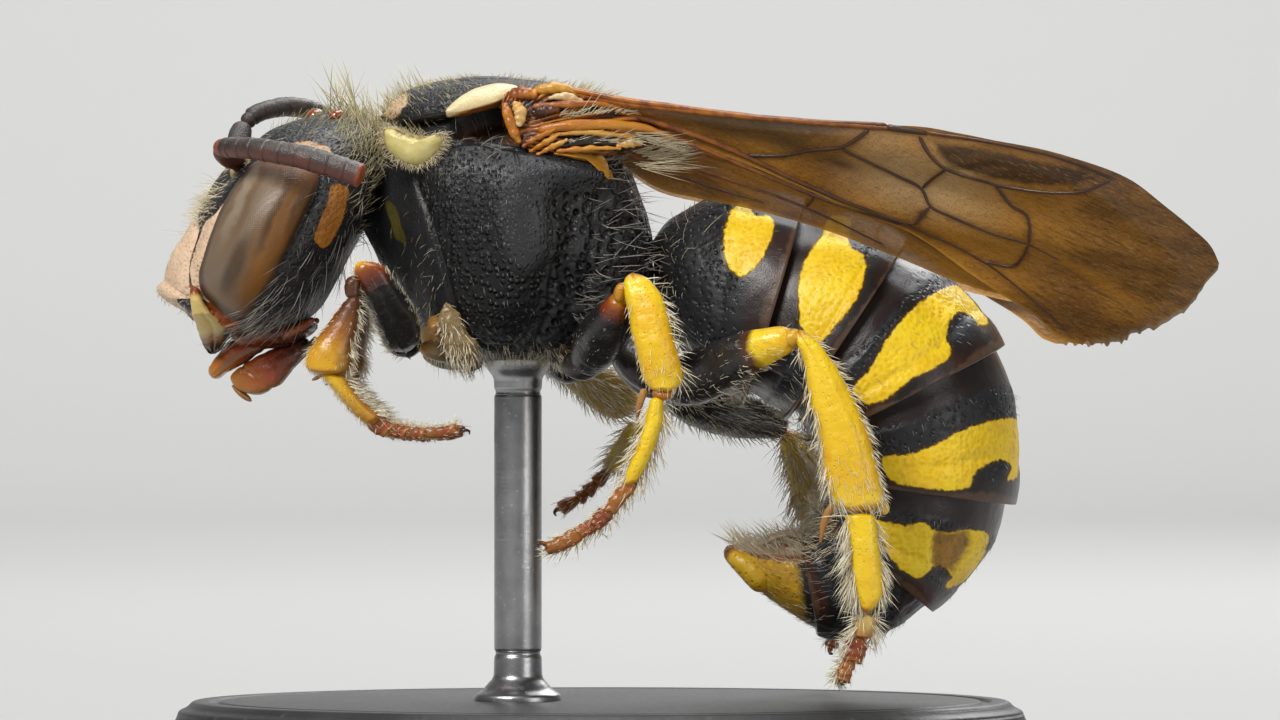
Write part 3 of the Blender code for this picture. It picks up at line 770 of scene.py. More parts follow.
def head_mat():
    return cuticle("head_shell", pit_scale=26.0, pit_depth=7.0, fine=2.0, rough=0.40, marks=(
        ("m_malar", (0.36, 0.085, 0.010), (0.20, 0.035, 0.005), None),
        ("m_face", (0.68, 0.49, 0.335), (0.58, 0.40, 0.265), (0.028, 0.016, 0.010)),
        ("m_lip", (0.34, 0.10, 0.020), (0.16, 0.045, 0.012), None),
        ("m_gena", (0.42, 0.165, 0.016), (0.33, 0.115, 0.010), (0.03, 0.012, 0.004)),
        ("m_spot", (0.42, 0.26, 0.14), (0.34, 0.20, 0.10), (0.03, 0.012, 0.004)),
    ))


head_ob = head.make("head_shell", head_mat(), "black_cuticle", replaces=("head",))


# ------------------------------------------------------------- compound eyes
def eye_mat():
    g = Graph("compound_eye")
    u, w = g.attr("eu"), g.attr("ew")          # along the eye -1 top..1 bottom, -1 rear..1 front
    n = g.noise(2.2, 3.0, vec=g.stretch(1.0, 0.6, 1.0))
    wob = g.mul(g.math('SUBTRACT', n, 0.5), 0.5)
    base = g.mix(g.step(g.add(w, wob), -0.42, 0.16), (0.145, 0.068, 0.018), (0.160, 0.112, 0.072))
    # soft stripes down the rear half: amber, dark, amber
    fine = g.noise(3.0, 3.0, vec=g.stretch(1.0, 0.6, 1.6))
    amber = g.mul(g.step(g.math('ABSOLUTE', g.add(g.add(w, 0.50), g.mul(g.math('SUBTRACT', fine, 0.5), 0.5))), 0.34, 0.02),
                  g.step(g.math('ABSOLUTE', g.add(u, -0.10)), 0.85, 0.25))
    base = g.mix(g.mul(amber, 0.85), base, (0.250, 0.095, 0.012))
    amber2 = g.mul(g.step(g.math('ABSOLUTE', g.add(g.add(w, 0.02), g.mul(g.math('SUBTRACT', fine, 0.5), 0.8))), 0.20, 0.02),
                   g.mul(g.step(u, 0.05, 0.30), g.step(u, 0.90, 0.60)))
    base = g.mix(g.mul(amber2, 0.70), base, (0.225, 0.100, 0.022))
    streak = g.mul(g.step(g.math('ABSOLUTE', g.add(g.add(w, 0.22), g.mul(g.math('SUBTRACT', fine, 0.5), 0.45))), 0.15, 0.02), g.step(u, 0.30, -0.15))
    base = g.mix(g.mul(streak, 0.80), base, (0.060, 0.030, 0.013))
    streak2 = g.mul(g.step(g.math('ABSOLUTE', g.add(g.add(w, 0.66), g.mul(g.math('SUBTRACT', fine, 0.5), 0.4))), 0.12, 0.02), g.step(u, -0.05, -0.5))
    base = g.mix(g.mul(streak2, 0.7), base, (0.075, 0.030, 0.010))
    pale = g.mul(g.step(g.math('ABSOLUTE', g.add(g.add(w, -0.62), g.mul(g.math('SUBTRACT', fine, 0.5), 0.5))), 0.20, 0.03), g.step(u, 0.45, -0.1))
    base = g.mix(g.mul(pale, 0.45), base, (0.34, 0.275, 0.20))
    stripes = g.math('SINE', g.add(g.mul(w, 15.0), g.add(g.mul(u, 1.5), g.mul(fine, 5.0))))
    base = g.mix(g.mul(g.mul(g.step(stripes, -0.2, 0.9), g.step(u, 0.55, -0.1)), 0.42), base, (0.120, 0.060, 0.020))
    # dark pool low on the eye
    du = g.math('DIVIDE', g.add(u, -0.40), 0.44)
    dw = g.math('DIVIDE', g.add(g.add(w, -0.05), g.mul(wob, 0.5)), 0.25)
    r = g.math('SQRT', g.add(g.mul(du, du), g.mul(dw, dw)))
    base = g.mix(g.mul(g.step(r, 1.15, 0.35), 0.78), base, (0.038, 0.024, 0.015))
    low = g.mul(g.step(u, 0.66, 0.86), g.step(w, -0.9, -0.1))
    base = g.mix(g.mul(low, 0.6), base, (0.24, 0.145, 0.088))
    rim = g.attr("er")
    base = g.mix(g.mul(g.step(rim, 0.86, 0.97), 0.80), base, (0.028, 0.012, 0.007))
    base = g.mix(g.mul(g.mul(g.step(u, -0.55, -0.95), 1.0), 0.5), base, (0.20, 0.085, 0.040))
    facets = g.voro(46.0, rand=0.25)
    nrm = g.bump(g.step(facets, 0.55, 0.1), 1.6)
    nrm = g.bump(g.noise(1.5, 2.0), 18.0, nrm)
    g.surface(base, 0.42, nrm, spec=0.34, coat=0.10, coat_rough=0.28)
    return g.mat


EYE_MAT = eye_mat()
for name, sgn in (("left", -1), ("right", 1)):
    n_r, n_a = ((64, 150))
    r = np.sin(np.linspace(0.015, 1, n_r) * math.pi / 2)
    a = np.linspace(0, 2 * math.pi, n_a, endpoint=False)
    c, s = np.cos(a), np.sin(a)
    k = eye_reach(c, s)
    U, W = r[:, None] * (c * k), r[:, None] * (s * k)
    d = EYE_C[0] + U * EYE_R[0]
    f = EYE_C[1] + W * EYE_R[1] + EYE_LEAN * (d - EYE_C[0])
    base_y = head_side_y(d, f)
    # even out the surface under the eye, then bulge it
    bulge = 0.165 * (1 - r[:, None]**2.5)**0.66 + 0.010
    P = head_point(d, f, sgn * (base_y + bulge))
    # a skirt ring under the rim, set 0.07 mm in towards the head
    skirt = P[-1] + FRONT * 0 + arr((0, -sgn * 0.07, 0))
    P = np.concatenate([P, skirt[None]], 0)
    sh = Shell(P[::-1])
    er = np.concatenate([r, [1.0]])[::-1]
    sh.mark("er", er[:, None])
    sh.mark("eu", np.vstack([U, U[-1:]])[::-1]).mark("ew", np.vstack([W, W[-1:]])[::-1])
    n = sh.N
    if ((sh.P[n_r // 2, :, 1] * sgn > 0).mean() > 0.5) and (n[n_r // 2, :, 1] * sgn).mean() < 0:
        sh.flip *= -1
    sh.make("compound_eye_" + name, EYE_MAT, "compound_eye", replaces=("eye_" + name,))


# ------------------------------------------------------------- ocelli
def nearest_on(shell, target):
    q = ((shell.P - arr(target))**2).sum(-1)
    i = np.unravel_index(q.argmin(), q.shape)
    return shell.P[i], shell.renormal().N[i]


def gloss_mat(name, color, color2, rough=0.12, coat=0.6):
    g = Graph(name)
    c = g.mix(g.noise(9.0, 2.0), color, color2)
    g.surface(c, rough, g.bump(g.noise(30.0, 2.0), 1.5), spec=0.6, coat=coat, coat_rough=0.05)
    return g.mat


OCELLUS = gloss_mat("ocellus_glass", (0.30, 0.055, 0.012), (0.16, 0.03, 0.008), 0.08, 0.8)
oc_parts = []
for tgt in ((CROWN_OCELLI[0], CROWN_OCELLI[1], -CROWN_OCELLI[2]), CROWN_OCELLI, (-0.99, 0.17, 0.0)):
    p, n = nearest_on(HEAD_SURF, head_point(*[arr(v) for v in tgt]))
    t1 = unit(np.cross(n, (0, 1, 0.1)))
    t2 = np.cross(n, t1)
    oc_parts.append(ellipsoid(p + n * 0.006, (t1 * 0.082, t2 * 0.082, n * 0.060), 24, 32))
ocelli = join("ocelli", oc_parts, OCELLUS)


# ------------------------------------------------------------- feelers
def feeler_mat(name, red):
    g = Graph(name)
    s, lower = g.attr("s"), g.attr("low")
    n = g.noise(6.0, 3.0)
    c = g.mix(g.step(n, 0.3, 0.75), (0.030, 0.023, 0.020), (0.062, 0.048, 0.041))
    c = g.mix(g.mul(g.step(g.add(lower, g.mul(n, 0.55)), 0.55, 1.05), red), c, (0.105, 0.026, 0.015))
    c = g.mix(g.mul(g.attr("joint"), 0.45), c, (0.020, 0.011, 0.009))
    # paler grey patches on the side that faces up
    upward_pale = g.mul(g.step(lower, 0.45, 0.05), g.step(g.noise(22.0, 3.0), 0.35, 0.6))
    c = g.mix(g.mul(upward_pale, 0.45), c, (0.105, 0.092, 0.075))
    c = g.mix(g.step(g.add(s, g.mul(g.math('SUBTRACT', n, 0.5), 0.04)), 0.955, 0.985), c, (0.22, 0.050, 0.015))
    nrm = g.bump(g.voro(70.0), 3.0)
    nrm = g.bump(g.noise(60.0), 3.0, nrm)
    g.surface(c, 0.42, nrm, spec=0.5)
    return g.mat


def flagellum(points, r0, r1, segments=11, nu=200, nv=30):
    q = np.linspace(0, 1, nu)
    sh = sweep(points, [r0, (r0 + r1) / 2, r1, r1], [r0 * 0.95, (r0 + r1) / 2 * 0.95, r1 * 0.95, r1 * 0.95], nu, nv, power=2.0, q=q,
               round_ends=(0.8, 0.30))
    k = sh.S[:, 0]
    # the first joint is short, the rest even; each swells a little to its far end
    b = np.concatenate([[0.0, 0.055], np.linspace(0.115, 1.0, segments - 1)])
    i = np.clip(np.searchsorted(b, k, side='right') - 1, 0, len(b) - 2)
    t = (k - b[i]) / (b[i + 1] - b[i])
    dent = np.exp(-(t / 0.06)**2) + np.exp(-((1 - t) / 0.045)**2)
    dent[(k < 0.02) | (k > 0.99)] = 0
    sh.push((-0.0055 * dent + 0.004 * t * (1 - dent))[:, None] + 0.0030 * vnoise(sh.P, 30, 4) + 0.004 * vnoise(sh.P, 7, 6))
    sh.mark("s", sh.S).mark("joint", dent[:, None])
    sh.mark("low", 0.5 - 0.5 * sh.N[..., 2])
    return sh


FEELER_L = feeler_mat("feeler_left", 0.85)
FEELER_R = feeler_mat("feeler_right", 0.12)
LEFT_FEELER = [(-3.591, -1.100, 6.311), (-3.458, -1.300, 6.301), (-3.249, -1.520, 6.282), (-3.021, -1.680, 6.244), (-2.745, -1.800, 6.187), (-2.508, -1.880, 6.111), (-2.223, -1.940, 6.016)]
RIGHT_FEELER = [(-3.458, 0.840, 6.643), (-3.353, 0.920, 6.710), (-3.211, 1.040, 6.757), (-3.050, 1.200, 6.776), (-2.878, 1.380, 6.757), (-2.717, 1.560, 6.691), (-2.565, 1.740, 6.595), (-2.451, 1.860, 6.500)]
fl = flagellum(LEFT_FEELER, 0.094, 0.112)
fr = flagellum(RIGHT_FEELER, 0.090, 0.098)
fl.make("feeler_flagellum_left", FEELER_L, "brown_cuticle", replaces=("antenna_flagellum_left",))
fr.make("feeler_flagellum_right", FEELER_R, "brown_cuticle", replaces=("antenna_flagellum_right",))

SCAPE_L = [(-3.420, -0.500, 6.111), (-3.486, -0.620, 6.187), (-3.591, -0.860, 6.272), (-3.629, -0.970, 6.301)]
SCAPE_R = [(-3.467, 0.500, 6.130), (-3.524, 0.580, 6.301), (-3.524, 0.700, 6.491), (-3.486, 0.780, 6.605)]
for nm, pts, ped, mat in (("left", SCAPE_L, [(-3.639, -0.960, 6.301), (-3.600, -1.060, 6.311), (-3.562, -1.140, 6.311)], FEELER_L),
                          ("right", SCAPE_R, [(-3.486, 0.770, 6.595), (-3.449, 0.820, 6.633), (-3.401, 0.860, 6.662)], FEELER_R)):
    sc = sweep(pts, [0.060, 0.085, 0.115, 0.110, 0.085], [0.055, 0.075, 0.095, 0.095, 0.08], 70, 28, power=2.1)
    sc.push(0.002 * fbm(sc.P, 12, 2, 3))
    sc.mark("s", 0).mark("joint", 0).mark("low", 0.5 - 0.5 * sc.N[..., 2])
    pd = sweep(ped, [0.055, 0.082, 0.078], [0.055, 0.080, 0.076], 30, 28, power=2.0)
    pd.mark("s", 0.99 if nm == "left" else 0).mark("joint", 0).mark("low", 0.7)
    # socket ring at the root
    p0 = arr(pts[0])
    ax = unit(arr(pts[1]) - p0)
    t1 = unit(np.cross(ax, (0, 0.2, 1)))
    t2 = np.cross(ax, t1)
    a = np.linspace(0, 2 * math.pi, 40, endpoint=False)
    b = np.linspace(0, 2 * math.pi, 16, endpoint=False)
    R, rr = 0.108, 0.030
    ringP = (p0 + ax * 0.025 + (t1 * np.cos(a)[:, None] + t2 * np.sin(a)[:, None])[:, None] * (R + rr * np.cos(b))[None, :, None]
             + ax * (rr * np.sin(b))[None, :, None])
    join("feeler_scape_" + nm, [sc, pd], mat, replaces=("antenna_scape_" + nm,))
    V = ringP.reshape(-1, 3)
    Q = ring_quads(41, 16)
    Q = np.where(Q >= 40 * 16, Q - 40 * 16, Q)
    g = Graph("feeler_socket_" + nm)
    g.surface(g.mix(g.noise(20.0), (0.40, 0.31, 0.11), (0.22, 0.16, 0.055)), 0.4, g.bump(g.noise(60.0), 2.0))
    build("feeler_socket_" + nm, V, Q, None, g.mat)


# ------------------------------------------------------------- jaws and mouthparts
def jaw_mat():
    g = Graph("jaw_shell")
    s = g.attr("s")
    n = g.noise(7.0, 3.0)
    k = g.add(s, g.mul(g.math('SUBTRACT', n, 0.5), 0.10))
    c = g.ramp(k, [(0.0, (0.16, 0.02, 0.004)), (0.08, (0.22, 0.04, 0.006)), (0.14, (0.58, 0.42, 0.13)), (0.66, (0.62, 0.46, 0.17)),
                   (0.80, (0.24, 0.09, 0.018)), (0.88, (0.030, 0.013, 0.007)), (1.0, (0.010, 0.007, 0.005))])
    nrm = g.bump(g.noise(45.0, 3.0), 5.0)
    g.surface(c, 0.33, nrm, spec=0.5, coat=0.1)
    return g.mat


JAW = jaw_mat()
for nm, sgn in (("left", -1), ("right", 1)):
    L = [(-3.923, 4.990), (-3.914, 4.876), (-3.895, 4.733), (-3.857, 4.582), (-3.829, 4.449), (-3.781, 4.335)]
    R = [(-3.829, 4.999), (-3.790, 4.867), (-3.724, 4.743), (-3.600, 4.620), (-3.639, 4.467), (-3.696, 4.354)]
    jaw = blade(L, R, [sgn * v for v in (0.90, 0.93, 0.90, 0.72, 0.42, 0.12)], [0.075, 0.085, 0.070, 0.055, 0.045, 0.025], 110, 40, 2.2, (0.10, 0.05))
    # a groove down its outer face, and teeth on the biting end
    jaw.push(-0.012 * np.exp(-((jaw.a["across"] - 0.15) / 0.16)**2) * smoothstep(0.2, 0.4, jaw.S) + 0.004 * fbm(jaw.P, 14, 3, 2))
    tooth = np.abs(((jaw.a["across"] * 1.6 + 0.5) % 1) - 0.5)
    jaw.P[..., 2] += 0.045 * (0.5 - tooth) * smoothstep(0.86, 1.0, jaw.S)
    jaw.mark("s", jaw.S)
    jaw.make("jaw_" + nm, JAW, "cream_cuticle", replaces=("mandible_" + nm,))


def mouth_mat():
    g = Graph("mouth_shell")
    n = g.noise(6.0, 4.0, dist=0.6)
    k = g.add(g.attr("s"), g.mul(g.math('SUBTRACT', n, 0.5), 0.35))
    c = g.ramp(k, [(0.0, (0.42, 0.18, 0.016)), (0.20, (0.42, 0.115, 0.006)), (0.45, (0.28, 0.034, 0.003)), (0.70, (0.11, 0.015, 0.003)), (1.0, (0.022, 0.012, 0.009))])
    c = g.mix(g.mul(g.attr("olive"), 0.85), c, (0.15, 0.125, 0.045))
    c = g.mix(g.mul(g.step(g.noise(16.0, 3.0), 0.5, 0.7), 0.3), c, (0.36, 0.14, 0.02))
    nrm = g.bump(g.noise(24.0, 4.0), 12.0)
    g.surface(c, 0.27, nrm, spec=0.5, coat=0.25)
    return g.mat


MOUTH = mouth_mat()
parts = []
lab = blade([(-3.809, 4.183), (-3.743, 4.277), (-3.667, 4.373), (-3.572, 4.458), (-3.420, 4.477), (-3.268, 4.449)], [(-3.752, 4.088), (-3.667, 4.125), (-3.553, 4.192), (-3.420, 4.277), (-3.325, 4.344), (-3.230, 4.391)],
            [0, 0, 0, 0], [0.16, 0.24, 0.27, 0.24], 64, 34, 3.0, (0.08, 0.10))
lab.push(-0.022 * np.exp(-((lab.a["across"] - 0.35) / 0.10)**2) + 0.012 * fbm(lab.P, 7, 3, 31))
lab.mark("s", lab.S * 0.75).mark("olive", np.exp(-((lab.a["across"] - 0.42) / 0.16)**2) * smoothstep(0.05, 0.3, lab.S))
parts.append(lab)
blk = blade([(-3.553, 4.572), (-3.420, 4.648), (-3.211, 4.686), (-2.945, 4.686), (-2.736, 4.667)], [(-3.534, 4.420), (-3.401, 4.401), (-3.192, 4.401), (-2.945, 4.458), (-2.755, 4.553)],
            [0, 0, 0], [0.42, 0.50, 0.45], 40, 34, 2.6, (0.12, 0.12))
blk.push(0.02 * fbm(blk.P, 5, 3, 33))
blk.mark("s", 0.62 + 0.3 * blk.S).mark("olive", 0)
parts.append(blk)
for sgn in (-1, 1):
    gal = blade([(-3.600, 4.125), (-3.496, 4.211), (-3.363, 4.296), (-3.192, 4.382), (-3.002, 4.429), (-2.841, 4.515)], [(-3.534, 4.021), (-3.420, 3.964), (-3.277, 3.964), (-3.116, 4.040), (-2.945, 4.230), (-2.793, 4.439)],
                [sgn * v for v in (0.12, 0.19, 0.22, 0.22, 0.20)], [0.05, 0.085, 0.10, 0.09, 0.05], 84, 36, 2.5, (0.06, 0.08))
    gal.push(-0.016 * np.exp(-((gal.a["across"] + 0.45) / 0.10)**2) * smoothstep(0.1, 0.3, gal.S) + 0.012 * fbm(gal.P, 6, 3, 9)
             - 0.012 * np.exp(-((gal.S - 0.30 - 0.1 * gal.a["across"]) / 0.025)**2))
    gal.mark("s", gal.S).mark("olive", np.exp(-((gal.a["across"] - 0.86) / 0.12)**2) * 0.7)
    tongue = blade([(-3.572, 4.059), (-3.496, 4.011), (-3.429, 3.964), (-3.382, 3.917)], [(-3.543, 3.992), (-3.486, 3.935), (-3.429, 3.897), (-3.373, 3.878)],
                   [sgn * 0.10, sgn * 0.11, sgn * 0.10], [0.03, 0.05, 0.025], 44, 24, 2.2, (0.12, 0.10))
    tongue.mark("s", 0.1).mark("olive", 0.45)
    palp = sweep(arr([(-3.078, -0.440, 4.515), (-2.964, -0.480, 4.562), (-2.850, -0.500, 4.620), (-2.745, -0.500, 4.686)]) * [1, -sgn, 1], [0.040, 0.045, 0.040, 0.026], [0.04, 0.045, 0.04, 0.025], 60, 18)
    palp.push(-0.008 * np.exp(-(((palp.S * 3) % 1 - 0.5) / 0.10)**2))
    palp.mark("s", 0.45).mark("olive", 0.15)
    palp2 = sweep(arr([(-2.888, -0.300, 4.382), (-2.793, -0.320, 4.439), (-2.736, -0.330, 4.515)]) * [1, -sgn, 1], [0.028, 0.028, 0.016], [0.028, 0.028, 0.016], 30, 14)
    palp2.mark("s", 0.8).mark("olive", 0.3)
    parts += [gal, tongue, palp, palp2]
join("mouthparts", parts, MOUTH, replaces=("proboscis",))


# =====================================================================
# thorax
# =====================================================================
TRUNK_X = [-2.46, -2.40, -2.28, -2.14, -1.99, -1.82, -1.64, -1.47, -1.14, -0.76, -0.38, -0.10, 0.12, 0.28, 0.40, 0.49, 0.52]
TRUNK_ROWS = [(5.88, 5.92, 0.05), (5.70, 6.10, 0.28), (5.52, 6.28, 0.42), (5.24, 6.44, 0.58), (4.93, 6.58, 0.82), (4.58, 6.74, 1.06),
              (4.43, 6.84, 1.23), (4.33, 6.90, 1.33), (4.28, 6.94, 1.41), (4.27, 6.92, 1.45), (4.29, 6.84, 1.43), (4.35, 6.72, 1.35),
              (4.42, 6.48, 1.20), (4.52, 6.15, 1.00), (4.68, 5.82, 0.72), (4.90, 5.50, 0.38), (5.12, 5.32, 0.05)]


def trunk_section(x):
    r = rows_at(TRUNK_X, TRUNK_ROWS, np.atleast_1d(arr(x).ravel()))
    mid = r[:, 0] + 0.46 * (r[:, 1] - r[:, 0])
    return mid, r[:, 1] - mid, mid - r[:, 0], r[:, 2]


def trunk_y(x, z):
    """Half width of the plain thorax at a side-view place."""
    x, z = np.broadcast_arrays(arr(x), arr(z))
    mid, up, dn, hw = [v.reshape(x.shape) for v in trunk_section(x)]
    t = np.where(z > mid, (z - mid) / up, (mid - z) / dn)
    p = np.where(z > mid, 2.5, 2.3)
    return hw * (1 - np.clip(t, 0, 0.999)**p)**(1 / p)


def trunk(x0, x1, nx, na, lead=0.0):
    t = np.linspace(0, 1, nx)
    x = x0 + (x1 - x0) * t
    mid, up, dn, hw = trunk_section(x)
    cx, cz = superloop(na, 2.5, 2.3)
    P = np.stack([np.repeat(x[:, None], na, 1), hw[:, None] * cx,
                  mid[:, None] + np.where(cz >= 0, up[:, None] * cz, dn[:, None] * cz)], -1)
    return Shell(P)


PLEURON = [(-1.720, 6.035), (-1.634, 6.168), (-1.510, 6.263), (-1.368, 6.320), (-1.216, 6.339), (-0.997, 6.301), (-0.817, 6.263), (-0.522, 6.225), (-0.209, 6.206), (0.009, 6.139), (0.104, 6.016), (0.038, 5.902), (-0.190, 5.883), (-0.380, 5.845), (-0.456, 5.693), (-0.427, 5.503), (-0.465, 5.275), (-0.532, 4.990), (-0.636, 4.686), (-0.836, 4.439), (-1.083, 4.439), (-1.235, 4.572), (-1.368, 4.857), (-1.454, 5.161), (-1.529, 5.427), (-1.643, 5.760)]
SHIELD = [(-0.902, 6.263), (-0.665, 6.225), (-0.418, 6.187), (-0.133, 6.111), (0.038, 5.997), (-0.095, 5.959), (-0.323, 5.940), (-0.494, 5.902), (-0.551, 5.760), (-0.475, 5.541), (-0.465, 5.313), (-0.570, 5.161), (-0.722, 5.123), (-0.855, 5.218), (-0.950, 5.427), (-0.978, 5.712), (-0.950, 5.997)]
RECESS = [(-1.434, 6.415), (-1.406, 6.586), (-1.235, 6.700), (-0.817, 6.804), (-0.380, 6.804), (-0.076, 6.681), (0.114, 6.472), (0.171, 6.225), (0.038, 6.206), (-0.190, 6.253), (-0.522, 6.282), (-0.817, 6.320), (-1.140, 6.377), (-1.311, 6.377)]
REAR_PIT = [(-0.380, 5.864), (0.057, 5.902), (0.209, 5.617), (0.209, 5.218), (0.000, 4.952), (-0.266, 4.857), (-0.418, 4.971), (-0.380, 5.332), (-0.361, 5.569), (-0.418, 5.712)]
LOW_PLATE = [(-0.418, 5.142), (-0.266, 4.838), (0.019, 4.895), (0.247, 5.047), (0.380, 4.857), (0.304, 4.477), (0.000, 4.363), (-0.380, 4.363), (-0.608, 4.420), (-0.513, 4.667)]
GOLD_CORNER = [(-0.152, 6.206), (-0.057, 6.215), (0.019, 6.187), (0.076, 6.111), (0.095, 5.997), (0.048, 6.016), (-0.019, 6.082), (-0.114, 6.139)]
COLLAR_STRIPE = [(-2.033, 5.816), (-1.966, 5.769), (-1.900, 5.579), (-1.862, 5.399), (-1.938, 5.427), (-2.005, 5.598)]


def trunk_relief(sh):
    x, y, z = sh.P[..., 0], sh.P[..., 1], sh.P[..., 2]
    ay = np.abs(y)
    side = smoothstep(0.35, 0.6, ay)
    pl = inside(soft_outline(PLEURON, 120), x, z)
    shd = inside(soft_outline(SHIELD, 80), x, z)
    rec = inside(soft_outline(RECESS, 70), x, z)
    rear = inside(soft_outline(REAR_PIT, 60), x, z)
    low = inside(soft_outline(LOW_PLATE, 60), x, z)
    firm = smoothstep(-0.45, -0.85, x)
    push = side * 0.060 * (smoothstep(-0.015, 0.055, pl) * firm + smoothstep(-0.16, 0.22, pl) * (1 - firm))
    push -= side * 0.030 * np.exp(-((pl + 0.020) / 0.022)**2) * firm
    push += side * 0.055 * smoothstep(0.0, 0.30, pl)
    # the smooth shield keeps a soft keel along its rear edge
    push += side * 0.060 * smoothstep(-0.16, 0.20, shd)
    gx = -0.800 + 0.07 * smoothstep(6.25, 5.9, z)
    groove = np.exp(-((x - gx) / 0.014)**2) * smoothstep(5.98, 6.12, z) * smoothstep(6.34, 6.22, z)
    push -= side * 0.035 * groove
    push -= side * 0.21 * smoothstep(-0.02, 0.10, rec)
    push -= side * 0.085 * smoothstep(-0.12, 0.16, rear)
    push += side * 0.040 * smoothstep(-0.02, 0.08, low)
    push -= side * 0.02 * np.exp(-((low + 0.01) / 0.02)**2)
    # seams between thorax and its rear part
    seam = np.exp(-((x - (-0.02 + 0.10 * (z - 5.6))) / 0.022)**2)
    push -= side * 0.035 * seam
    ridge = np.exp(-((x - (0.13 + 0.05 * (z - 5.6))) / 0.03)**2)
    push += side * 0.025 * ridge
    # large round bumps low in front, fine pits above, coarse hollows behind
    P = sh.P
    q1, q2, _ = cells(P, 16.5, 5, 0.70)
    r1, r2, _ = cells(P * [1.15, 1, 0.95], 19.0, 6, 0.80)
    c1, c2, _ = cells(P, 9.5, 8, 0.95)
    lowfront = smoothstep(6.15, 5.55, z + 0.35 * (x + 1.2)) * smoothstep(-0.02, 0.05, pl) * smoothstep(0.12, -0.06, shd)
    behind = np.maximum(smoothstep(0.0, 0.06, rear), smoothstep(-0.03, 0.02, -pl) * smoothstep(-1.0, -0.5, x) * smoothstep(-0.02, 0.04, -rec))
    fine = np.clip(1 - lowfront - behind, 0, 1) * smoothstep(0.02, -0.08, rec)
    push += lowfront * (0.010 * smoothstep(0.55, 0.10, q1) - 0.005)
    push -= fine * 0.006 * smoothstep(0.50, 0.12, r1) * (1 - 0.60 * smoothstep(-0.02, 0.12, shd))
    push -= behind * 0.034 * smoothstep(0.52, 0.15, c1)
    # wavy wrinkles run down the shield's flanks
    push += side * 0.0035 * np.sin((x * 0.9 + z * 0.30 + 0.05 * vnoise(P, 5, 2)) * 110) * smoothstep(0.0, 0.10, pl) * (1 - lowfront) * 0.6
    push += 0.008 * fbm(P, 4.0, 3, 21)
    sh.push(push)
    # painted sheen: the smooth shield and nearby plates are marked to be painted a lighter blue-grey
    sh.mark("slate", np.clip(0.9 * smoothstep(-0.14, 0.16, shd) + 0.35 * smoothstep(0, 0.05, pl) * (1 - lowfront), 0, 1))
    sh.mark("m_gold", np.where(ay > 0.4, inside(soft_outline(GOLD_CORNER, 50), x, z), -0.5))
    sh.mark("m_olive", np.where(ay > 0.3, inside(soft_outline(COLLAR_STRIPE, 40), x, z), -0.5))
    sh.mark("amber", smoothstep(0.0, 0.12, rec))
    calm = 1 - 0.75 * smoothstep(-0.04, 0.16, shd)
    sh.mark("beads", lowfront)
    sh.mark("pits", fine * calm * smoothstep(-0.02, 0.05, pl))
    sh.mark("rough", behind)
    return sh


def thorax_mat(name, marks=()):
    g = Graph(name)
    n1 = g.noise(2.6, 4.0)
    n2 = g.noise(34.0, 3.0)
    slate = g.attr("slate")
    color = g.mix(g.step(n1, 0.35, 0.7), (0.0100, 0.0100, 0.0110), (0.018, 0.018, 0.019))
    # painted sheen: black cuticle painted a lighter blue-grey on the smooth parts
    color = g.mix(g.mul(slate, 0.80), color, (0.026, 0.027, 0.030))
    am = g.attr("amber")
    color = g.mix(g.mul(am, g.step(g.noise(5.0, 3.0), 0.40, 0.62)), color, (0.085, 0.032, 0.010))
    rough = g.add(g.mul(n2, 0.16), 0.27)
    for attribute, c1, c2, edge_color in marks:
        d = g.add(g.attr(attribute), g.mul(g.math('SUBTRACT', g.noise(26.0, 2.0), 0.5), 0.03))
        if edge_color:
            color = g.mix(g.step(d, -0.03, -0.002), color, edge_color)
        color = g.mix(g.step(d, -0.010, 0.010), color, g.mix(g.step(n1, 0.3, 0.7), c1, c2))
    # round beads in rows low in front, fine linked pits above, coarse hollows behind; the colour is darkened between
    # the beads and in the pits and hollows as painted shade
    beads, pits, coarse = g.attr("beads"), g.attr("pits"), g.attr("rough")
    bead_h = g.step(g.voro(15.0, feature='SMOOTH_F1', rand=0.55, smooth=0.12), 0.50, 0.12)
    pit_h = g.step(g.voro(21.0, rand=0.65, vec=g.stretch(1.25, 1.0, 0.85)), 0.12, 0.46)
    hollow_h = g.step(g.voro(11.5, feature='SMOOTH_F1', rand=0.9, smooth=0.1), 0.12, 0.50)
    # painted shade in the gaps between beads, in the pits and in the hollows
    color = g.mix(g.mul(g.mul(beads, g.math('SUBTRACT', 1.0, bead_h)), 0.85), color, (0.0025, 0.0025, 0.003))
    color = g.mix(g.mul(g.mul(pits, g.math('SUBTRACT', 1.0, pit_h)), 0.80), color, (0.003, 0.003, 0.0035))
    color = g.mix(g.mul(g.mul(coarse, g.math('SUBTRACT', 1.0, hollow_h)), 0.85), color, (0.002, 0.002, 0.0025))
    nrm = g.bump(g.mul(beads, bead_h), 34.0)
    nrm = g.bump(g.mul(pits, pit_h), 22.0, nrm)
    nrm = g.bump(g.mul(coarse, hollow_h), 36.0, nrm)
    pit = g.step(g.voro(40.0, rand=0.9), 0.12, 0.5)
    nrm = g.bump(pit, 2.5, nrm)
    nrm = g.bump(g.noise(95.0, 3.0), 2.5, nrm)
    g.surface(color, rough, nrm, spec=0.36)
    return g.mat


THORAX_MAT = thorax_mat("thorax_shell", (("m_gold", (0.50, 0.27, 0.03), (0.42, 0.20, 0.02), (0.05, 0.02, 0.005)),
                                         ("m_olive", (0.075, 0.060, 0.012), (0.050, 0.042, 0.010), None)))

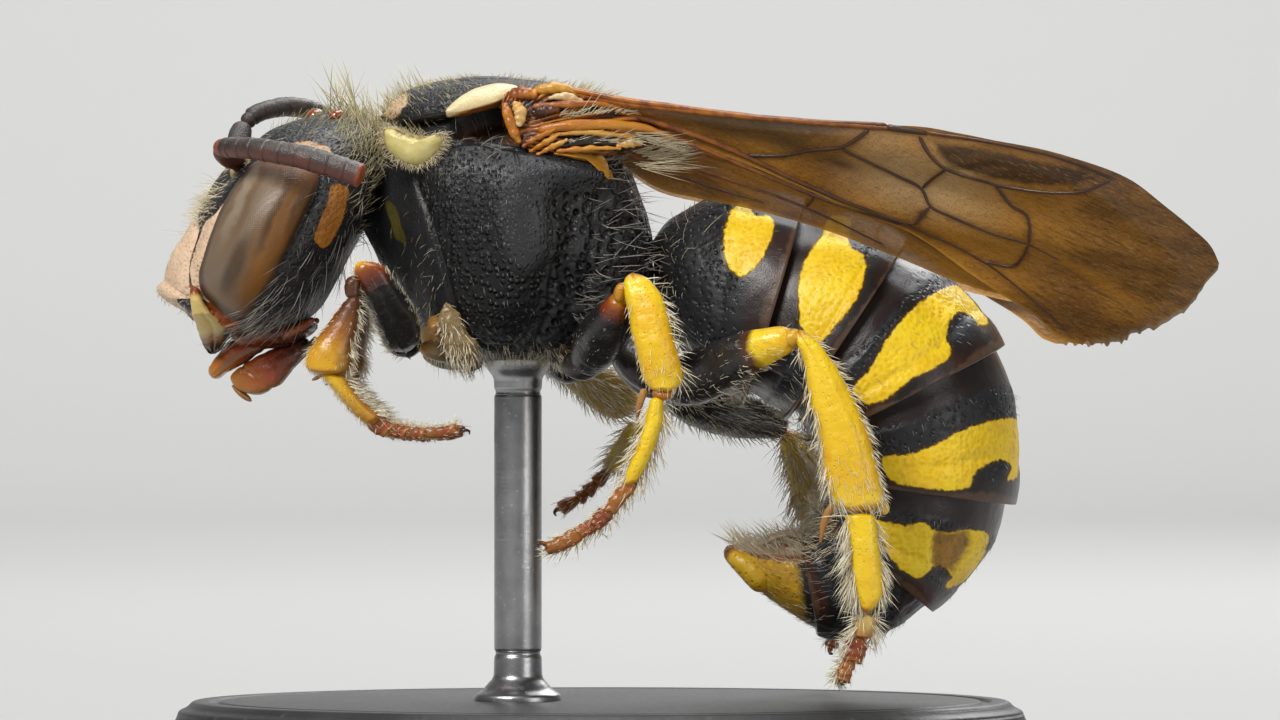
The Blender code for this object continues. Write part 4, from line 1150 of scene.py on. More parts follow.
q = 1.0
collar = trunk_relief(trunk(-2.46, -1.60, int(58 * q), int(320 * q)))
meso = trunk_relief(trunk(-1.66, -0.02, int(112 * q), int(500 * q)))
rear = trunk_relief(trunk(-0.08, 0.52, int(48 * q), int(360 * q)))
collar.make("prothorax_shell", THORAX_MAT, "black_cuticle", replaces=("prothorax",))
meso.make("thorax_shell", THORAX_MAT, "black_cuticle", replaces=("thorax",))
rear.make("propodeum_shell", THORAX_MAT, "black_cuticle", replaces=("propodeum",))
TRUNK_SURF = (collar, meso, rear)

# ---------------------------------------------------------------- scutum: the shield on top
SC_X = [-2.10, -2.05, -1.95, -1.84, -1.67, -1.52, -1.13, -0.75, -0.45, -0.32, -0.26]
SC_ROWS = [(6.62, 6.66, 0.28), (6.60, 6.755, 0.52), (6.585, 6.84, 0.74), (6.58, 6.905, 0.92), (6.60, 6.955, 1.06), (6.62, 6.985, 1.13),
           (6.70, 7.025, 1.19), (6.76, 7.00, 1.16), (6.78, 6.955, 1.08), (6.78, 6.915, 1.00), (6.78, 6.85, 0.92)]
ns, na = ((128, 280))
t = end_dense(ns, 0.4)
xs = SC_X[0] + (SC_X[-1] - SC_X[0]) * t
r = rows_at(SC_X, SC_ROWS, xs)
cx, cz = superloop(na, 2.15, 2.0)
P = np.stack([np.repeat(xs[:, None], na, 1), r[:, 2:3] * cx,
              r[:, 0:1] + np.where(cz >= 0, (r[:, 1:2] - r[:, 0:1]) * cz, 0.07 * cz)], -1)
scutum = Shell(P)
x, y, z = scutum.P[..., 0], np.abs(scutum.P[..., 1]), scutum.P[..., 2]
top = smoothstep(0.0, 0.1, scutum.N[..., 2])
push = -0.012 * np.exp(-(y / 0.02)**2) * smoothstep(-2.0, -1.7, x) * smoothstep(-0.9, -1.4, x)
push -= 0.016 * np.exp(-((y - 0.62) / 0.022)**2) * smoothstep(-1.7, -1.3, x)
push += 0.018 * np.exp(-((y - 0.97 * np.interp(x, SC_X, arr(SC_ROWS)[:, 2])) / 0.03)**2) * top
r1, _, _ = cells(scutum.P, 17.0, 12, 0.85)
push -= 0.010 * smoothstep(0.46, 0.12, r1) * top * (0.35 + 0.65 * smoothstep(-0.7, -1.3, x))
push += 0.005 * fbm(scutum.P, 5, 3, 13)
scutum.push(push)
corner = inside(soft_outline([(-2.080, 6.624), (-2.033, 6.766), (-1.957, 6.833), (-1.862, 6.833), (-1.843, 6.757), (-1.890, 6.662), (-1.976, 6.595)], 40), x, z)
scutum.mark("m_corner", np.where(y > 0.30, corner, -0.5))
# painted sheen marks on the scutum, as on the scutellum and metanotum below
scutum.mark("slate", 0.75).mark("amber", 0).mark("beads", 0).mark("pits", 0.55 * top).mark("rough", 0)
SCUTUM_MAT = thorax_mat("scutum_shell", (("m_corner", (0.56, 0.40, 0.25), (0.48, 0.30, 0.17), (0.05, 0.025, 0.012)),))
scutum.make("scutum", SCUTUM_MAT, "black_cuticle")

# ---------------------------------------------------------------- scutellum and the small plates beside it
tilt = math.radians(-25)
al = arr((math.cos(tilt), 0, math.sin(tilt)))
no = arr((-math.sin(tilt), 0, math.cos(tilt)))
parts = []
sc2 = ellipsoid((-0.02, 0, 6.63), (al * 0.40, YAX * 0.86, no * 0.19), 50, 104)
sc2.push(-0.012 * np.exp(-(sc2.P[..., 1] / 0.02)**2) - 0.009 * smoothstep(0.45, 0.12, cells(sc2.P, 16.0, 3, 0.85)[0]) + 0.004 * fbm(sc2.P, 6, 2, 2))
parts.append(sc2)
for sgn in (-1, 1):
    ax = ellipsoid((-0.18, sgn * 0.86, 6.68), (arr((0.26, sgn * -0.05, -0.10)), arr((0.02, sgn * 0.20, -0.04)), arr((0.02, 0, 0.10))), 34, 60)
    ax.push(-0.008 * smoothstep(0.45, 0.12, cells(ax.P, 18.0, 4, 0.85)[0]))
    parts.append(ax)
for p in parts:
    p.mark("slate", 0.6).mark("amber", 0).mark("m_corner", -0.5).mark("beads", 0).mark("pits", 0.6).mark("rough", 0)
join("scutellum_plate", parts, SCUTUM_MAT, replaces=("scutellum",))
# metanotum: a narrow cross ridge behind and below
parts = []
mt = sweep([(0.20, -0.80, 6.30), (0.27, -0.40, 6.36), (0.29, 0, 6.37), (0.27, 0.40, 6.36), (0.20, 0.80, 6.30)],
           [0.05, 0.075, 0.08, 0.075, 0.05], [0.05, 0.06, 0.06, 0.06, 0.05], 80, 26, ref=(1, 0, 0.6))
mt.push(0.006 * fbm(mt.P, 12, 3, 5)).mark("slate", 0.4).mark("amber", 0).mark("m_corner", -0.5).mark("beads", 0).mark("pits", 0.3).mark("rough", 0.4)
join("metanotum_ridge", [mt], SCUTUM_MAT)


# ---------------------------------------------------------------- wing covers (tegulae)
def lens_plate(outline, at, h, nr=34, n=110, sgn=-1, seed=1, back=0.05):
    """A domed plate over an outline; at(px, pz) gives the base point, h its height."""
    o = soft_outline(outline, n)
    c = o.mean(0)
    r = np.sin(np.linspace(0.02, 1, nr) * math.pi / 2)
    Q = c + (o - c)[None] * r[:, None, None]
    base, out = at(Q[..., 0], Q[..., 1])
    P = base + out * (h * (1 - r**2.6)**0.6)[:, None, None]
    skirt = [P[-1] - out[-1] * k * back for k in (0.5, 1.0)]
    under = c + (o - c) * 0.5
    b2, o2 = at(under[:, 0], under[:, 1])
    P = np.concatenate([P, np.stack(skirt + [b2 - o2 * back])], 0)
    sh = Shell(P[::-1])
    n_out = (sh.N[-6] * out[0]).sum(-1).mean()
    if n_out < 0:
        sh.flip *= -1
        sh.N *= -1
    return sh


def tegula_mat():
    g = Graph("tegula_shell")
    d = g.attr("low")
    n = g.noise(5.0, 3.0)
    c = g.mix(g.step(n, 0.3, 0.7), (0.64, 0.53, 0.30), (0.56, 0.44, 0.22))
    c = g.mix(g.step(g.add(d, g.mul(g.math('SUBTRACT', n, 0.5), 0.25)), 0.62, 0.86), c, (0.40, 0.15, 0.012))
    c = g.mix(g.mul(g.step(d, 0.90, 0.99), 0.8), c, (0.06, 0.018, 0.004))
    nrm = g.bump(g.voro(40.0), 2.5)
    nrm = g.bump(g.noise(60.0, 3.0), 2.5, nrm)
    g.surface(c, 0.32, nrm, spec=0.5, coat=0.15)
    return g.mat


TEGULA_MAT = tegula_mat()
TEGULA = [(-1.463, 6.643), (-1.377, 6.747), (-1.254, 6.833), (-1.083, 6.899), (-0.912, 6.918), (-0.779, 6.880), (-0.836, 6.804), (-0.978, 6.728), (-1.140, 6.681), (-1.311, 6.643)]
for nm, sgn in (("left", -1), ("right", 1)):
    def tegula_at(x, z, sgn=sgn):
        y = sgn * (1.30 - 0.95 * (z - 6.62) + 0.03 * (x + 1.1))
        base = np.stack([x, y, z], -1)
        out = np.broadcast_to(unit(arr((-0.10, sgn * 0.72, 0.66))), base.shape)
        return base, out
    tg = lens_plate(TEGULA, tegula_at, 0.055, 40, 130, sgn, back=0.06)
    # orange along the lower and inner rim
    px_, pz_ = tg.P[..., 0], tg.P[..., 2]
    dd = inside(soft_outline(TEGULA, 80), px_, pz_)
    lower = smoothstep(0.02, -0.05, pz_ - (6.62 + 0.36 * (px_ + 1.42)))
    tg.mark("low", np.clip((1 - smoothstep(0.0, 0.060, dd)) * (0.35 + 0.75 * lower), 0, 1))
    tg.push(0.0025 * fbm(tg.P, 10, 3, 8))
    tg.make("wing_cover_" + nm, TEGULA_MAT, "cream_cuticle", replaces=("tegula_" + nm,))


# ---------------------------------------------------------------- shoulder lobes
def lobe_mat():
    g = Graph("lobe_shell")
    d = g.attr("edge")
    n = g.noise(8.0, 3.0)
    c = g.mix(g.step(n, 0.3, 0.7), (0.62, 0.54, 0.22), (0.52, 0.43, 0.15))
    c = g.mix(g.step(g.add(d, g.mul(g.math('SUBTRACT', n, 0.5), 0.3)), 0.25, 0.62), c, (0.34, 0.25, 0.10))
    c = g.mix(g.step(d, 0.75, 0.95), c, (0.12, 0.085, 0.038))
    nrm = g.bump(g.noise(50.0, 3.0), 4.0)
    g.surface(c, 0.36, nrm, spec=0.5, coat=0.1)
    return g.mat


LOBE_MAT = lobe_mat()
LOBE = [(-2.052, 6.491), (-1.976, 6.500), (-1.862, 6.444), (-1.729, 6.405), (-1.596, 6.405), (-1.510, 6.444), (-1.454, 6.405), (-1.510, 6.282), (-1.615, 6.178), (-1.729, 6.130), (-1.862, 6.159), (-1.976, 6.244), (-2.052, 6.358)]
LOBE_CREAM = [(-2.033, 6.472), (-1.900, 6.434), (-1.729, 6.396), (-1.539, 6.415), (-1.548, 6.301), (-1.625, 6.196), (-1.748, 6.149), (-1.871, 6.196), (-1.986, 6.301)]
for nm, sgn in (("left", -1), ("right", 1)):
    def lobe_at(x, z, sgn=sgn):
        y = sgn * (1.20 + 0.12 * (x + 1.8))
        base = np.stack([x, y + 0 * z, z], -1)
        out = np.broadcast_to(unit(arr((-0.25, sgn * 0.95, -0.05))), base.shape)
        return base, out
    lb = lens_plate(LOBE, lobe_at, 0.15, 40, 130, sgn, back=0.26)
    dd = inside(soft_outline(LOBE_CREAM, 80), lb.P[..., 0], lb.P[..., 2])
    lb.mark("edge", 1 - smoothstep(-0.075, 0.01, dd))
    lb.push(0.004 * fbm(lb.P, 12, 3, 9))
    lb.make("shoulder_lobe_" + nm, LOBE_MAT, "cream_cuticle", replaces=("pronotal_lobe_" + nm,))


# ---------------------------------------------------------------- little plates at the wing roots
def amber_mat():
    g = Graph("wing_root_shell")
    n = g.noise(4.0, 4.0, dist=0.5, vec=g.stretch(0.45, 1.0, 1.7))
    k = g.add(g.attr("tone"), g.mul(g.math('SUBTRACT', n, 0.5), 0.75))
    c = g.ramp(k, [(0.05, (0.010, 0.006, 0.004)), (0.22, (0.055, 0.014, 0.004)), (0.40, (0.21, 0.050, 0.005)), (0.56, (0.44, 0.150, 0.010)),
                   (0.74, (0.52, 0.26, 0.030)), (0.95, (0.56, 0.43, 0.24))])
    nrm = g.bump(n, 20.0)
    nrm = g.bump(g.noise(30.0, 4.0), 8.0, nrm)
    g.surface(c, 0.34, nrm, spec=0.45, coat=0.15)
    return g.mat


AMBER = amber_mat()
parts = []
ROOT_FOLD = [(-0.931, 6.776), (-0.827, 6.861), (-0.646, 6.880), (-0.380, 6.861), (-0.095, 6.785), (0.190, 6.700), (0.456, 6.624), (0.608, 6.491), (0.475, 6.367), (0.266, 6.301), (0.038, 6.253), (-0.228, 6.253), (-0.456, 6.253), (-0.608, 6.263), (-0.760, 6.358), (-0.874, 6.548)]
GOLD_LEAF = [(-0.437, 6.244), (-0.237, 6.263), (-0.019, 6.263), (0.057, 6.187), (0.085, 5.997), (0.000, 6.082), (-0.114, 6.168), (-0.266, 6.206)]
RIBS = (   # points, widths, thicknesses, tone
    ([(-0.646, -1.240, 6.824), (-0.522, -1.270, 6.861), (-0.361, -1.270, 6.861), (-0.190, -1.260, 6.814)], (0.03, 0.055, 0.05, 0.02), (0.04, 0.05, 0.05, 0.02), 0.66),
    ([(-0.494, -1.320, 6.766), (-0.342, -1.330, 6.785), (-0.152, -1.310, 6.738)], (0.02, 0.045, 0.02), (0.03, 0.035, 0.02), 0.95),
    ([(-0.646, -1.330, 6.691), (-0.380, -1.360, 6.710), (0.000, -1.360, 6.710), (0.342, -1.330, 6.643), (0.646, -1.300, 6.529), (0.950, -1.300, 6.396)], (0.03, 0.034, 0.030, 0.028, 0.022, 0.014), (0.03, 0.035, 0.03, 0.03, 0.02, 0.014), 0.60),
    ([(-0.646, -1.340, 6.624), (-0.522, -1.360, 6.652), (-0.380, -1.360, 6.662)], (0.03, 0.05, 0.02), (0.03, 0.035, 0.02), 0.24),
    ([(-0.589, -1.340, 6.462), (-0.380, -1.380, 6.500), (0.000, -1.380, 6.519), (0.380, -1.340, 6.491), (0.589, -1.300, 6.434), (0.798, -1.240, 6.348)], (0.04, 0.055, 0.050, 0.045, 0.035, 0.018), (0.035, 0.045, 0.04, 0.035, 0.03, 0.015), 0.55),
    ([(-0.494, -1.360, 6.415), (-0.190, -1.380, 6.444), (0.190, -1.350, 6.415), (0.475, -1.260, 6.358)], (0.02, 0.028, 0.026, 0.012), (0.02, 0.028, 0.026, 0.012), 0.70),
    ([(-0.380, -1.370, 6.320), (-0.095, -1.390, 6.367), (0.190, -1.340, 6.339)], (0.03, 0.045, 0.03), (0.02, 0.025, 0.02), 0.06),
    ([(-0.418, -1.390, 6.263), (-0.095, -1.410, 6.292), (0.209, -1.360, 6.292)], (0.015, 0.024, 0.015), (0.02, 0.024, 0.015), 0.72),
    ([(0.152, -1.360, 6.311), (0.285, -1.350, 6.339), (0.437, -1.280, 6.358)], (0.02, 0.045, 0.018), (0.02, 0.03, 0.018), 0.90),
    ([(-0.741, -1.330, 6.301), (-0.589, -1.370, 6.396), (-0.418, -1.400, 6.472)], (0.016, 0.028, 0.016), (0.02, 0.028, 0.016), 0.45),
    ([(-0.674, -1.340, 6.253), (-0.532, -1.380, 6.339), (-0.370, -1.410, 6.434)], (0.016, 0.028, 0.016), (0.02, 0.028, 0.016), 0.58),
    ([(-0.608, -1.360, 6.225), (-0.456, -1.400, 6.301), (-0.304, -1.410, 6.377)], (0.014, 0.026, 0.014), (0.02, 0.026, 0.014), 0.72),
    ([(-0.902, -1.280, 6.728), (-0.864, -1.330, 6.586), (-0.817, -1.350, 6.453), (-0.760, -1.340, 6.339)], (0.03, 0.05, 0.05, 0.025), (0.04, 0.05, 0.05, 0.03), 0.50),
    ([(-0.817, -1.300, 6.738), (-0.750, -1.360, 6.624), (-0.769, -1.360, 6.500)], (0.03, 0.06, 0.03), (0.03, 0.035, 0.03), 0.84),
    ([(-0.874, -1.220, 6.785), (-0.731, -1.270, 6.814), (-0.589, -1.290, 6.785)], (0.04, 0.065, 0.04), (0.04, 0.05, 0.04), 0.40),
)
for sgn in (-1, 1):
    def root_at(x, z, sgn=sgn):
        y = sgn * (1.25 + 0.12 * (6.85 - z) + 0.05 * np.minimum(x + 0.6, 0.4) - 0.10 * np.maximum(x - 0.2, 0))
        base = np.stack([x, y, z], -1)
        out = np.broadcast_to(unit(arr((0.05, sgn * 0.95, 0.25))), base.shape)
        return base, out
    fold = lens_plate(ROOT_FOLD, root_at, 0.035, 44, 140, sgn, back=0.12)
    x, z = fold.P[..., 0], fold.P[..., 2]
    # fine folds fanning back from the hinge
    fan = np.arctan2(z - 6.42, x + 1.05)
    fold.push(0.016 * np.sin(fan * 70 + vnoise(fold.P, 4, 3)) + 0.010 * fbm(fold.P, 8, 3, 14))
    # the tone follows the folds' height: painted highlight on the raised folds and painted shade in the grooves, plus
    # random variation of the colour
    fold.mark("tone", np.clip(0.30 + 0.22 * np.sin(fan * 70 + vnoise(fold.P, 4, 3)) + 0.25 * vnoise(fold.P * [0.6, 1, 2], 5, 7), 0, 0.7))
    parts.append(fold)
    for pts, w_, th, tone in RIBS:
        p = arr(pts) * [1, -sgn, 1]
        s_ = sweep(p, list(w_), list(th), 50, 14, power=2.1)
        s_.push(0.007 * fbm(s_.P, 12, 4, 4) + 0.004 * np.sin(s_.S * 26 + 4 * s_.P[..., 2]))
        s_.mark("tone", tone + 0.12 * (s_.S - 0.5))
        parts.append(s_)

    def leaf_at(x, z, sgn=sgn):
        y = sgn * (trunk_y(x, z) + 0.085)
        base = np.stack([x, y, z], -1)
        out = np.broadcast_to(unit(arr((0.05, sgn * 0.97, 0.20))), base.shape)
        return base, out
    leaf = lens_plate(GOLD_LEAF, leaf_at, 0.045, 20, 80, sgn, back=0.10)
    leaf.push(0.006 * fbm(leaf.P, 12, 3, 6))
    leaf.mark("tone", 0.74)
    parts.append(leaf)
join("wing_root_plates", parts, AMBER)


# =====================================================================
# abdomen
# =====================================================================
AB_S = [0.00, 0.15, 0.35, 0.65, 1.00, 2.00, 3.00, 4.00, 5.00, 6.00, 6.50, 7.00]
AB_ROWS = [(0.50, 5.44, 0.53, 4.90, 0.34), (0.62, 5.60, 0.58, 4.66, 0.60), (0.80, 5.72, 0.70, 4.40, 0.86), (1.30, 5.95, 0.98, 4.02, 1.14),
           (1.96, 5.82, 1.38, 3.88, 1.33), (2.95, 5.44, 1.80, 3.72, 1.50), (3.87, 4.42, 2.01, 3.48, 1.50), (3.97, 2.90, 2.11, 3.15, 1.38),
           (3.18, 1.88, 2.04, 2.81, 1.15), (2.09, 1.66, 1.90, 2.61, 0.80), (1.62, 2.00, 1.55, 2.52, 0.56), (1.23, 2.31, 1.22, 2.50, 0.24)]


def ab_rings(s, na, grow=0.0, pu=2.2, pd=2.5):
    """Loops of the abdomen at stations s, widened by grow (mm, per ring)."""
    s = arr(s)
    r = rows_at(AB_S, AB_ROWS, s)
    top = np.stack([r[:, 0], 0 * s, r[:, 1]], 1)
    und = np.stack([r[:, 2], 0 * s, r[:, 3]], 1)
    mid = und + 0.42 * (top - und)
    up, dn = top - mid, und - mid
    lu, ld = np.linalg.norm(up, axis=1)[:, None], np.linalg.norm(dn, axis=1)[:, None]
    g = arr(grow).reshape(-1, 1) * np.ones_like(lu)
    up, dn = up * (1 + g / lu), dn * (1 + g / ld)
    cx, cz = superloop(na, pu, pd)
    P = (mid[:, None] + YAX * ((r[:, 4:5] + g) * cx)[..., None]
         + np.where(cz >= 0, cz, 0)[None, :, None] * up[:, None] + np.where(cz < 0, -cz, 0)[None, :, None] * dn[:, None])
    return P, cx, cz


MARKS = {
    1: [[(1.397, 5.807), (1.472, 5.683), (1.643, 5.646), (1.653, 5.560), (1.587, 5.341), (1.321, 5.085), (1.216, 5.189), (1.178, 5.446), (1.244, 5.693), (1.292, 5.769)]],
    2: [[(2.213, 5.683), (2.337, 5.674), (2.394, 5.617), (2.375, 5.389), (2.518, 5.266), (2.508, 5.085), (2.394, 4.809), (2.261, 4.648), (2.052, 4.458), (1.909, 4.601), (1.881, 4.752), (1.871, 4.962), (1.928, 5.208), (2.109, 5.494)]],
    3: [[(3.306, 4.980), (3.439, 4.999), (3.562, 4.886), (3.686, 4.752), (3.724, 4.648), (3.639, 4.610), (3.562, 4.705), (3.439, 4.752), (3.325, 4.648), (3.296, 4.496), (3.334, 4.363), (3.183, 4.220), (2.926, 4.097), (2.669, 3.897), (2.489, 3.878), (2.394, 3.992), (2.546, 4.192), (2.727, 4.496), (2.926, 4.733), (3.125, 4.886)]],
    4: [[(2.669, 3.356), (2.935, 3.394), (3.135, 3.470), (3.391, 3.594), (3.696, 3.698), (3.952, 3.727), (4.123, 3.679), (4.142, 3.413), (4.047, 3.261), (3.980, 3.147), (3.895, 3.137), (3.933, 3.289), (3.829, 3.337), (3.676, 3.289), (3.543, 3.185), (3.524, 3.109), (3.373, 3.052), (3.192, 3.062), (2.964, 3.090), (2.736, 3.166)]],
    5: [[(2.603, 2.767), (2.784, 2.739), (2.888, 2.720), (3.059, 2.739), (3.201, 2.662), (3.325, 2.643), (3.467, 2.662), (3.724, 2.606), (3.696, 2.454), (3.600, 2.273), (3.391, 2.102), (3.306, 2.102), (3.363, 2.216), (3.287, 2.292), (3.135, 2.273), (3.059, 2.207), (2.907, 2.264), (2.784, 2.377), (2.708, 2.501)]],
}
AMBER_5 = [(3.201, 2.672), (3.344, 2.643), (3.515, 2.653), (3.553, 2.529), (3.477, 2.368), (3.373, 2.254), (3.211, 2.273), (3.154, 2.463)]


def tergite_mat(n):
    g = Graph("abdomen_ring_%d" % n)
    n1 = g.noise(3.0, 4.0)
    big = g.noise(1.3, 3.0)
    r, b = g.attr("rim"), g.attr("base")
    color = g.mix(g.step(n1, 0.35, 0.7), (0.0095, 0.0095, 0.0105), (0.019, 0.019, 0.021))
    color = g.mix(g.mul(g.step(big, 0.45, 0.7), 0.35), color, (0.034, 0.036, 0.042))
    # pits: their centres are darkened as painted shade
    pit = g.voro(15.0, rand=0.80)
    hole = g.step(pit, 0.40, 0.14)
    plain = g.math('MAXIMUM', g.step(r, 0.25, 0.6), g.step(b, 0.15, 0.7))
    hole = g.mul(hole, g.math('SUBTRACT', 1.0, plain))
    rc = g.mix(g.step(g.noise(1.6, 3.0), 0.38, 0.66), (0.012, 0.008, 0.006), (0.048, 0.014, 0.007))
    rr = g.add(r, g.mul(g.math('SUBTRACT', g.noise(9.0, 2.0), 0.5), 0.18))
    color = g.mix(g.mul(g.step(rr, 0.50, 0.80), 0.50 if n <= 2 else 0.85), color, rc)
    color = g.mix(g.mul(g.step(rr, 0.93, 1.0), 0.5), color, (0.13, 0.075, 0.040))
    color = g.mix(g.mul(g.step(b, 0.25, 0.8), 0.65), color, (0.020, 0.010, 0.007))
    rough = g.add(g.mul(g.noise(38.0, 2.0), 0.16), 0.27)
    rough = g.mixf(plain, rough, 0.30)
    m_attr = g.attr("m_band")
    wob = g.mul(g.math('SUBTRACT', g.noise(16.0, 3.0), 0.5), 0.060)
    d = g.add(m_attr, wob)
    yb = g.mix(g.step(g.noise(2.3, 3.0), 0.30, 0.72), (0.82, 0.57, 0.008), (0.72, 0.43, 0.003))
    leather = g.voro(19.0, feature='SMOOTH_F1', rand=0.8, smooth=0.4)
    # painted shade in each dimple's centre and painted highlight on the ridges between, following the leather bump
    # below
    yb = g.mix(g.mul(g.step(leather, 0.28, 0.10), 0.30), yb, (0.56, 0.29, 0.003))
    yb = g.mix(g.mul(g.step(leather, 0.40, 0.60), 0.30), yb, (0.88, 0.66, 0.045))
    # faint painted shade in the pits of the yellow band
    yb = g.mix(g.mul(hole, 0.10), yb, (0.40, 0.20, 0.004))
    if n == 5:
        patch = g.mix(g.step(g.noise(5.0, 4.0), 0.35, 0.68), (0.26, 0.105, 0.010), (0.10, 0.038, 0.006))
        yb = g.mix(g.mul(g.step(g.add(g.attr("m_amber"), g.mul(wob, 1.5)), -0.03, 0.05), 0.88), yb, patch)
    # painted shade in the pits of the black part
    color = g.mix(g.mul(hole, 0.5), color, (0.004, 0.004, 0.005))
    color = g.mix(g.mul(g.step(d, -0.045, -0.004), 0.85), color, (0.050, 0.022, 0.004))
    m = g.step(d, -0.010, 0.014)
    color = g.mix(m, color, yb)
    rough = g.mixf(m, rough, g.add(g.mul(g.noise(50.0), 0.14), 0.34))
    nrm = g.bump(g.mul(hole, g.math('SUBTRACT', 1.0, g.mul(m, 0.6))), -9.0)
    nrm = g.bump(g.mul(leather, m), 8.0, nrm)
    nrm = g.bump(g.noise(70.0, 3.0), 3.0, nrm)
    nrm = g.bump(g.noise(4.0, 2.0), 10.0, nrm)
    g.surface(color, rough, nrm, spec=0.32, coat=0.04)
    return g.mat


def sternite_line(s):
    """Height (as a share of the ring's lower half) where the side plates end."""
    return np.interp(s, [0, 1, 2, 3, 4, 5, 6], [0.50, 0.60, 0.62, 0.62, 0.62, 0.62, 0.62])


AB_SURF = {}
for n in range(1, 7):
    na = 370
    rows = {1: 78, 2: 62, 3: 65, 4: 68, 5: 62, 6: 56}[n]
    s0 = 0.0 if n == 1 else n - 1 - 0.10
    s1 = float(n)
    t = np.linspace(0, 1, rows)
    s = s0 + (s1 - s0) * t
    k = np.clip((s - (n - 1)) / 1.0, 0, 1)               # 0..1 along the ring itself
    body = -0.045 * smoothstep(0.30, -0.02, (s - (n - 1))) if n > 1 else 0 * s
    flare = 0.040 * smoothstep(0.45, 0.97, k)
    grow = body + flare
    # rolled-in rear lip
    lip_s = arr([s1 + 0.004, s1 + 0.004, s1 - 0.03, s1 - 0.10])
    lip_g = arr([grow[-1] - 0.012, grow[-1] - 0.045, grow[-1] - 0.075, grow[-1] - 0.10])
    P, cx, cz = ab_rings(np.concatenate([s, lip_s]), na, np.concatenate([grow, lip_g]))
    sh = Shell(P)
    S = np.concatenate([k, np.ones(4)])[:, None] * np.ones(na)
    Sabs = np.concatenate([s, np.full(4, s1)])[:, None]
    x, y, z = sh.P[..., 0], sh.P[..., 1], sh.P[..., 2]
    # rear rims wander a little
    wav = 0.035 * np.sin(np.arctan2(cz, np.abs(cx)) * 5 + n)[None, :]
    depth = -cz[None, :] * np.ones_like(S)
    line = sternite_line(Sabs)
    # belly plates lie a step lower, with a fold along the side
    low = smoothstep(line - 0.02, line + 0.05, depth)
    push = -0.060 * low + 0.018 * np.exp(-((depth - line + 0.06) / 0.035)**2) * smoothstep(0.1, 0.3, S)
    # raised pitted part of each ring, glossy base band in front
    base = smoothstep(0.30, 0.16, S + 0.5 * wav) if n > 1 else smoothstep(0.30, 0.05, S)
    push -= 0.020 * smoothstep(0.34, 0.20, S + 0.5 * wav) * (n > 1)
    push -= 0.014 * np.exp(-((S + wav - 0.70) / 0.05)**2) * (1 - low)
    rim = smoothstep(0.66, 0.80, S + wav * 0.8)
    pits, _, _ = cells(sh.P, 15.0, 40 + n, 0.80)
    push -= 0.0105 * smoothstep(0.42, 0.10, pits) * (1 - rim) * (1 - base) * (1 - 0.6 * low)
    push += 0.006 * fbm(sh.P, 2.6, 3, 50 + n)
    if n == 5:
        # a dent crosses the amber patch on the fifth ring
        push -= 0.03 * smoothstep(-0.06, 0.04, inside(soft_outline(AMBER_5, 40), x, z))
    if n == 6:
        push += 0.010 * fbm(sh.P, 9, 3, 5)
    push[-4:] = 0
    sh.push(push)
    m = np.full(x.shape, -0.6)
    for poly in MARKS.get(n, ()):
        o = arr(poly)
        if n == 4:
            # the fourth band runs right over to the upper edge; nothing extra is done for it here
            pass
        m = np.maximum(m, inside(soft_outline(o, 140), x, z))
    m = np.minimum(m, (np.abs(y) - 0.09) * 0.8)
    sh.mark("m_band", m)
    if n == 5:
        sh.mark("m_amber", inside(soft_outline(AMBER_5, 60), x, z))
    rimv = smoothstep(0.62, 1.0, S + wav * 0.8)
    sh.mark("rim", rimv).mark("base", base)
    AB_SURF[n] = sh
    sh.make("abdomen_ring_%d" % n, tergite_mat(n), "black_cuticle", replaces=("abdomen_%d" % n,))


# ---------------------------------------------------------------- the curled tip: seventh ring with its lobes
def tip_mat():
    g = Graph("abdomen_tip")
    n1 = g.noise(3.0, 4.0)
    u = g.attr("u")
    c = g.mix(g.step(n1, 0.3, 0.72), (0.64, 0.39, 0.012), (0.50, 0.26, 0.005))
    hole = g.step(g.voro(16.0, rand=0.8), 0.38, 0.14)
    # painted shade: pit centres darkened
    c = g.mix(g.mul(hole, 0.55), c, (0.24, 0.11, 0.006))
    c = g.mix(g.step(g.add(u, g.mul(g.math('SUBTRACT', n1, 0.5), 0.15)), 0.80, 0.97), c, (0.13, 0.038, 0.006))
    c = g.mix(g.step(g.add(u, g.mul(g.math('SUBTRACT', n1, 0.5), 0.15)), 0.20, 0.05), c, (0.012, 0.011, 0.011))
    und = g.attr("under")
    c = g.mix(g.step(g.add(und, g.mul(g.math('SUBTRACT', n1, 0.5), 0.3)), 0.35, 0.6), c, (0.23, 0.085, 0.020))
    c = g.mix(g.mul(g.step(und, 0.80, 0.95), 0.8), c, (0.46, 0.34, 0.24))
    nrm = g.bump(hole, -6.0)
    nrm = g.bump(g.noise(50.0, 3.0), 5.0, nrm)
    g.surface(c, 0.34, nrm, spec=0.5, coat=0.1)
    return g.mat


TIP_MAT = tip_mat()
parts = []
na = 180
s = np.concatenate([np.linspace(5.92, 6.9, 70)])
P, cx, cz = ab_rings(s, na, np.linspace(-0.05, 0.0, 70), 2.3, 2.6)
tip = Shell(P)
x, y, z = tip.P[..., 0], tip.P[..., 1], tip.P[..., 2]
u = ((s - 6.0) / 0.9)[:, None]
tip.push(0.03 * np.exp(-((u - 0.5) / 0.35)**2) * smoothstep(0.3, 0.9, cz)[None] * np.exp(-((np.abs(y) - 0.28) / 0.18)**2)
         - 0.05 * np.exp(-(y / 0.10)**2) * smoothstep(0.45, 0.9, u) * smoothstep(0.0, 0.6, cz)[None]
         + 0.006 * fbm(tip.P, 7, 3, 3) - 0.007 * smoothstep(0.4, 0.1, cells(tip.P, 16, 9, 0.8)[0]))
tip.mark("u", np.clip(u, 0, 1)).mark("under", smoothstep(0.05, 0.75, -cz)[None] * np.ones_like(u))
parts.append(tip)
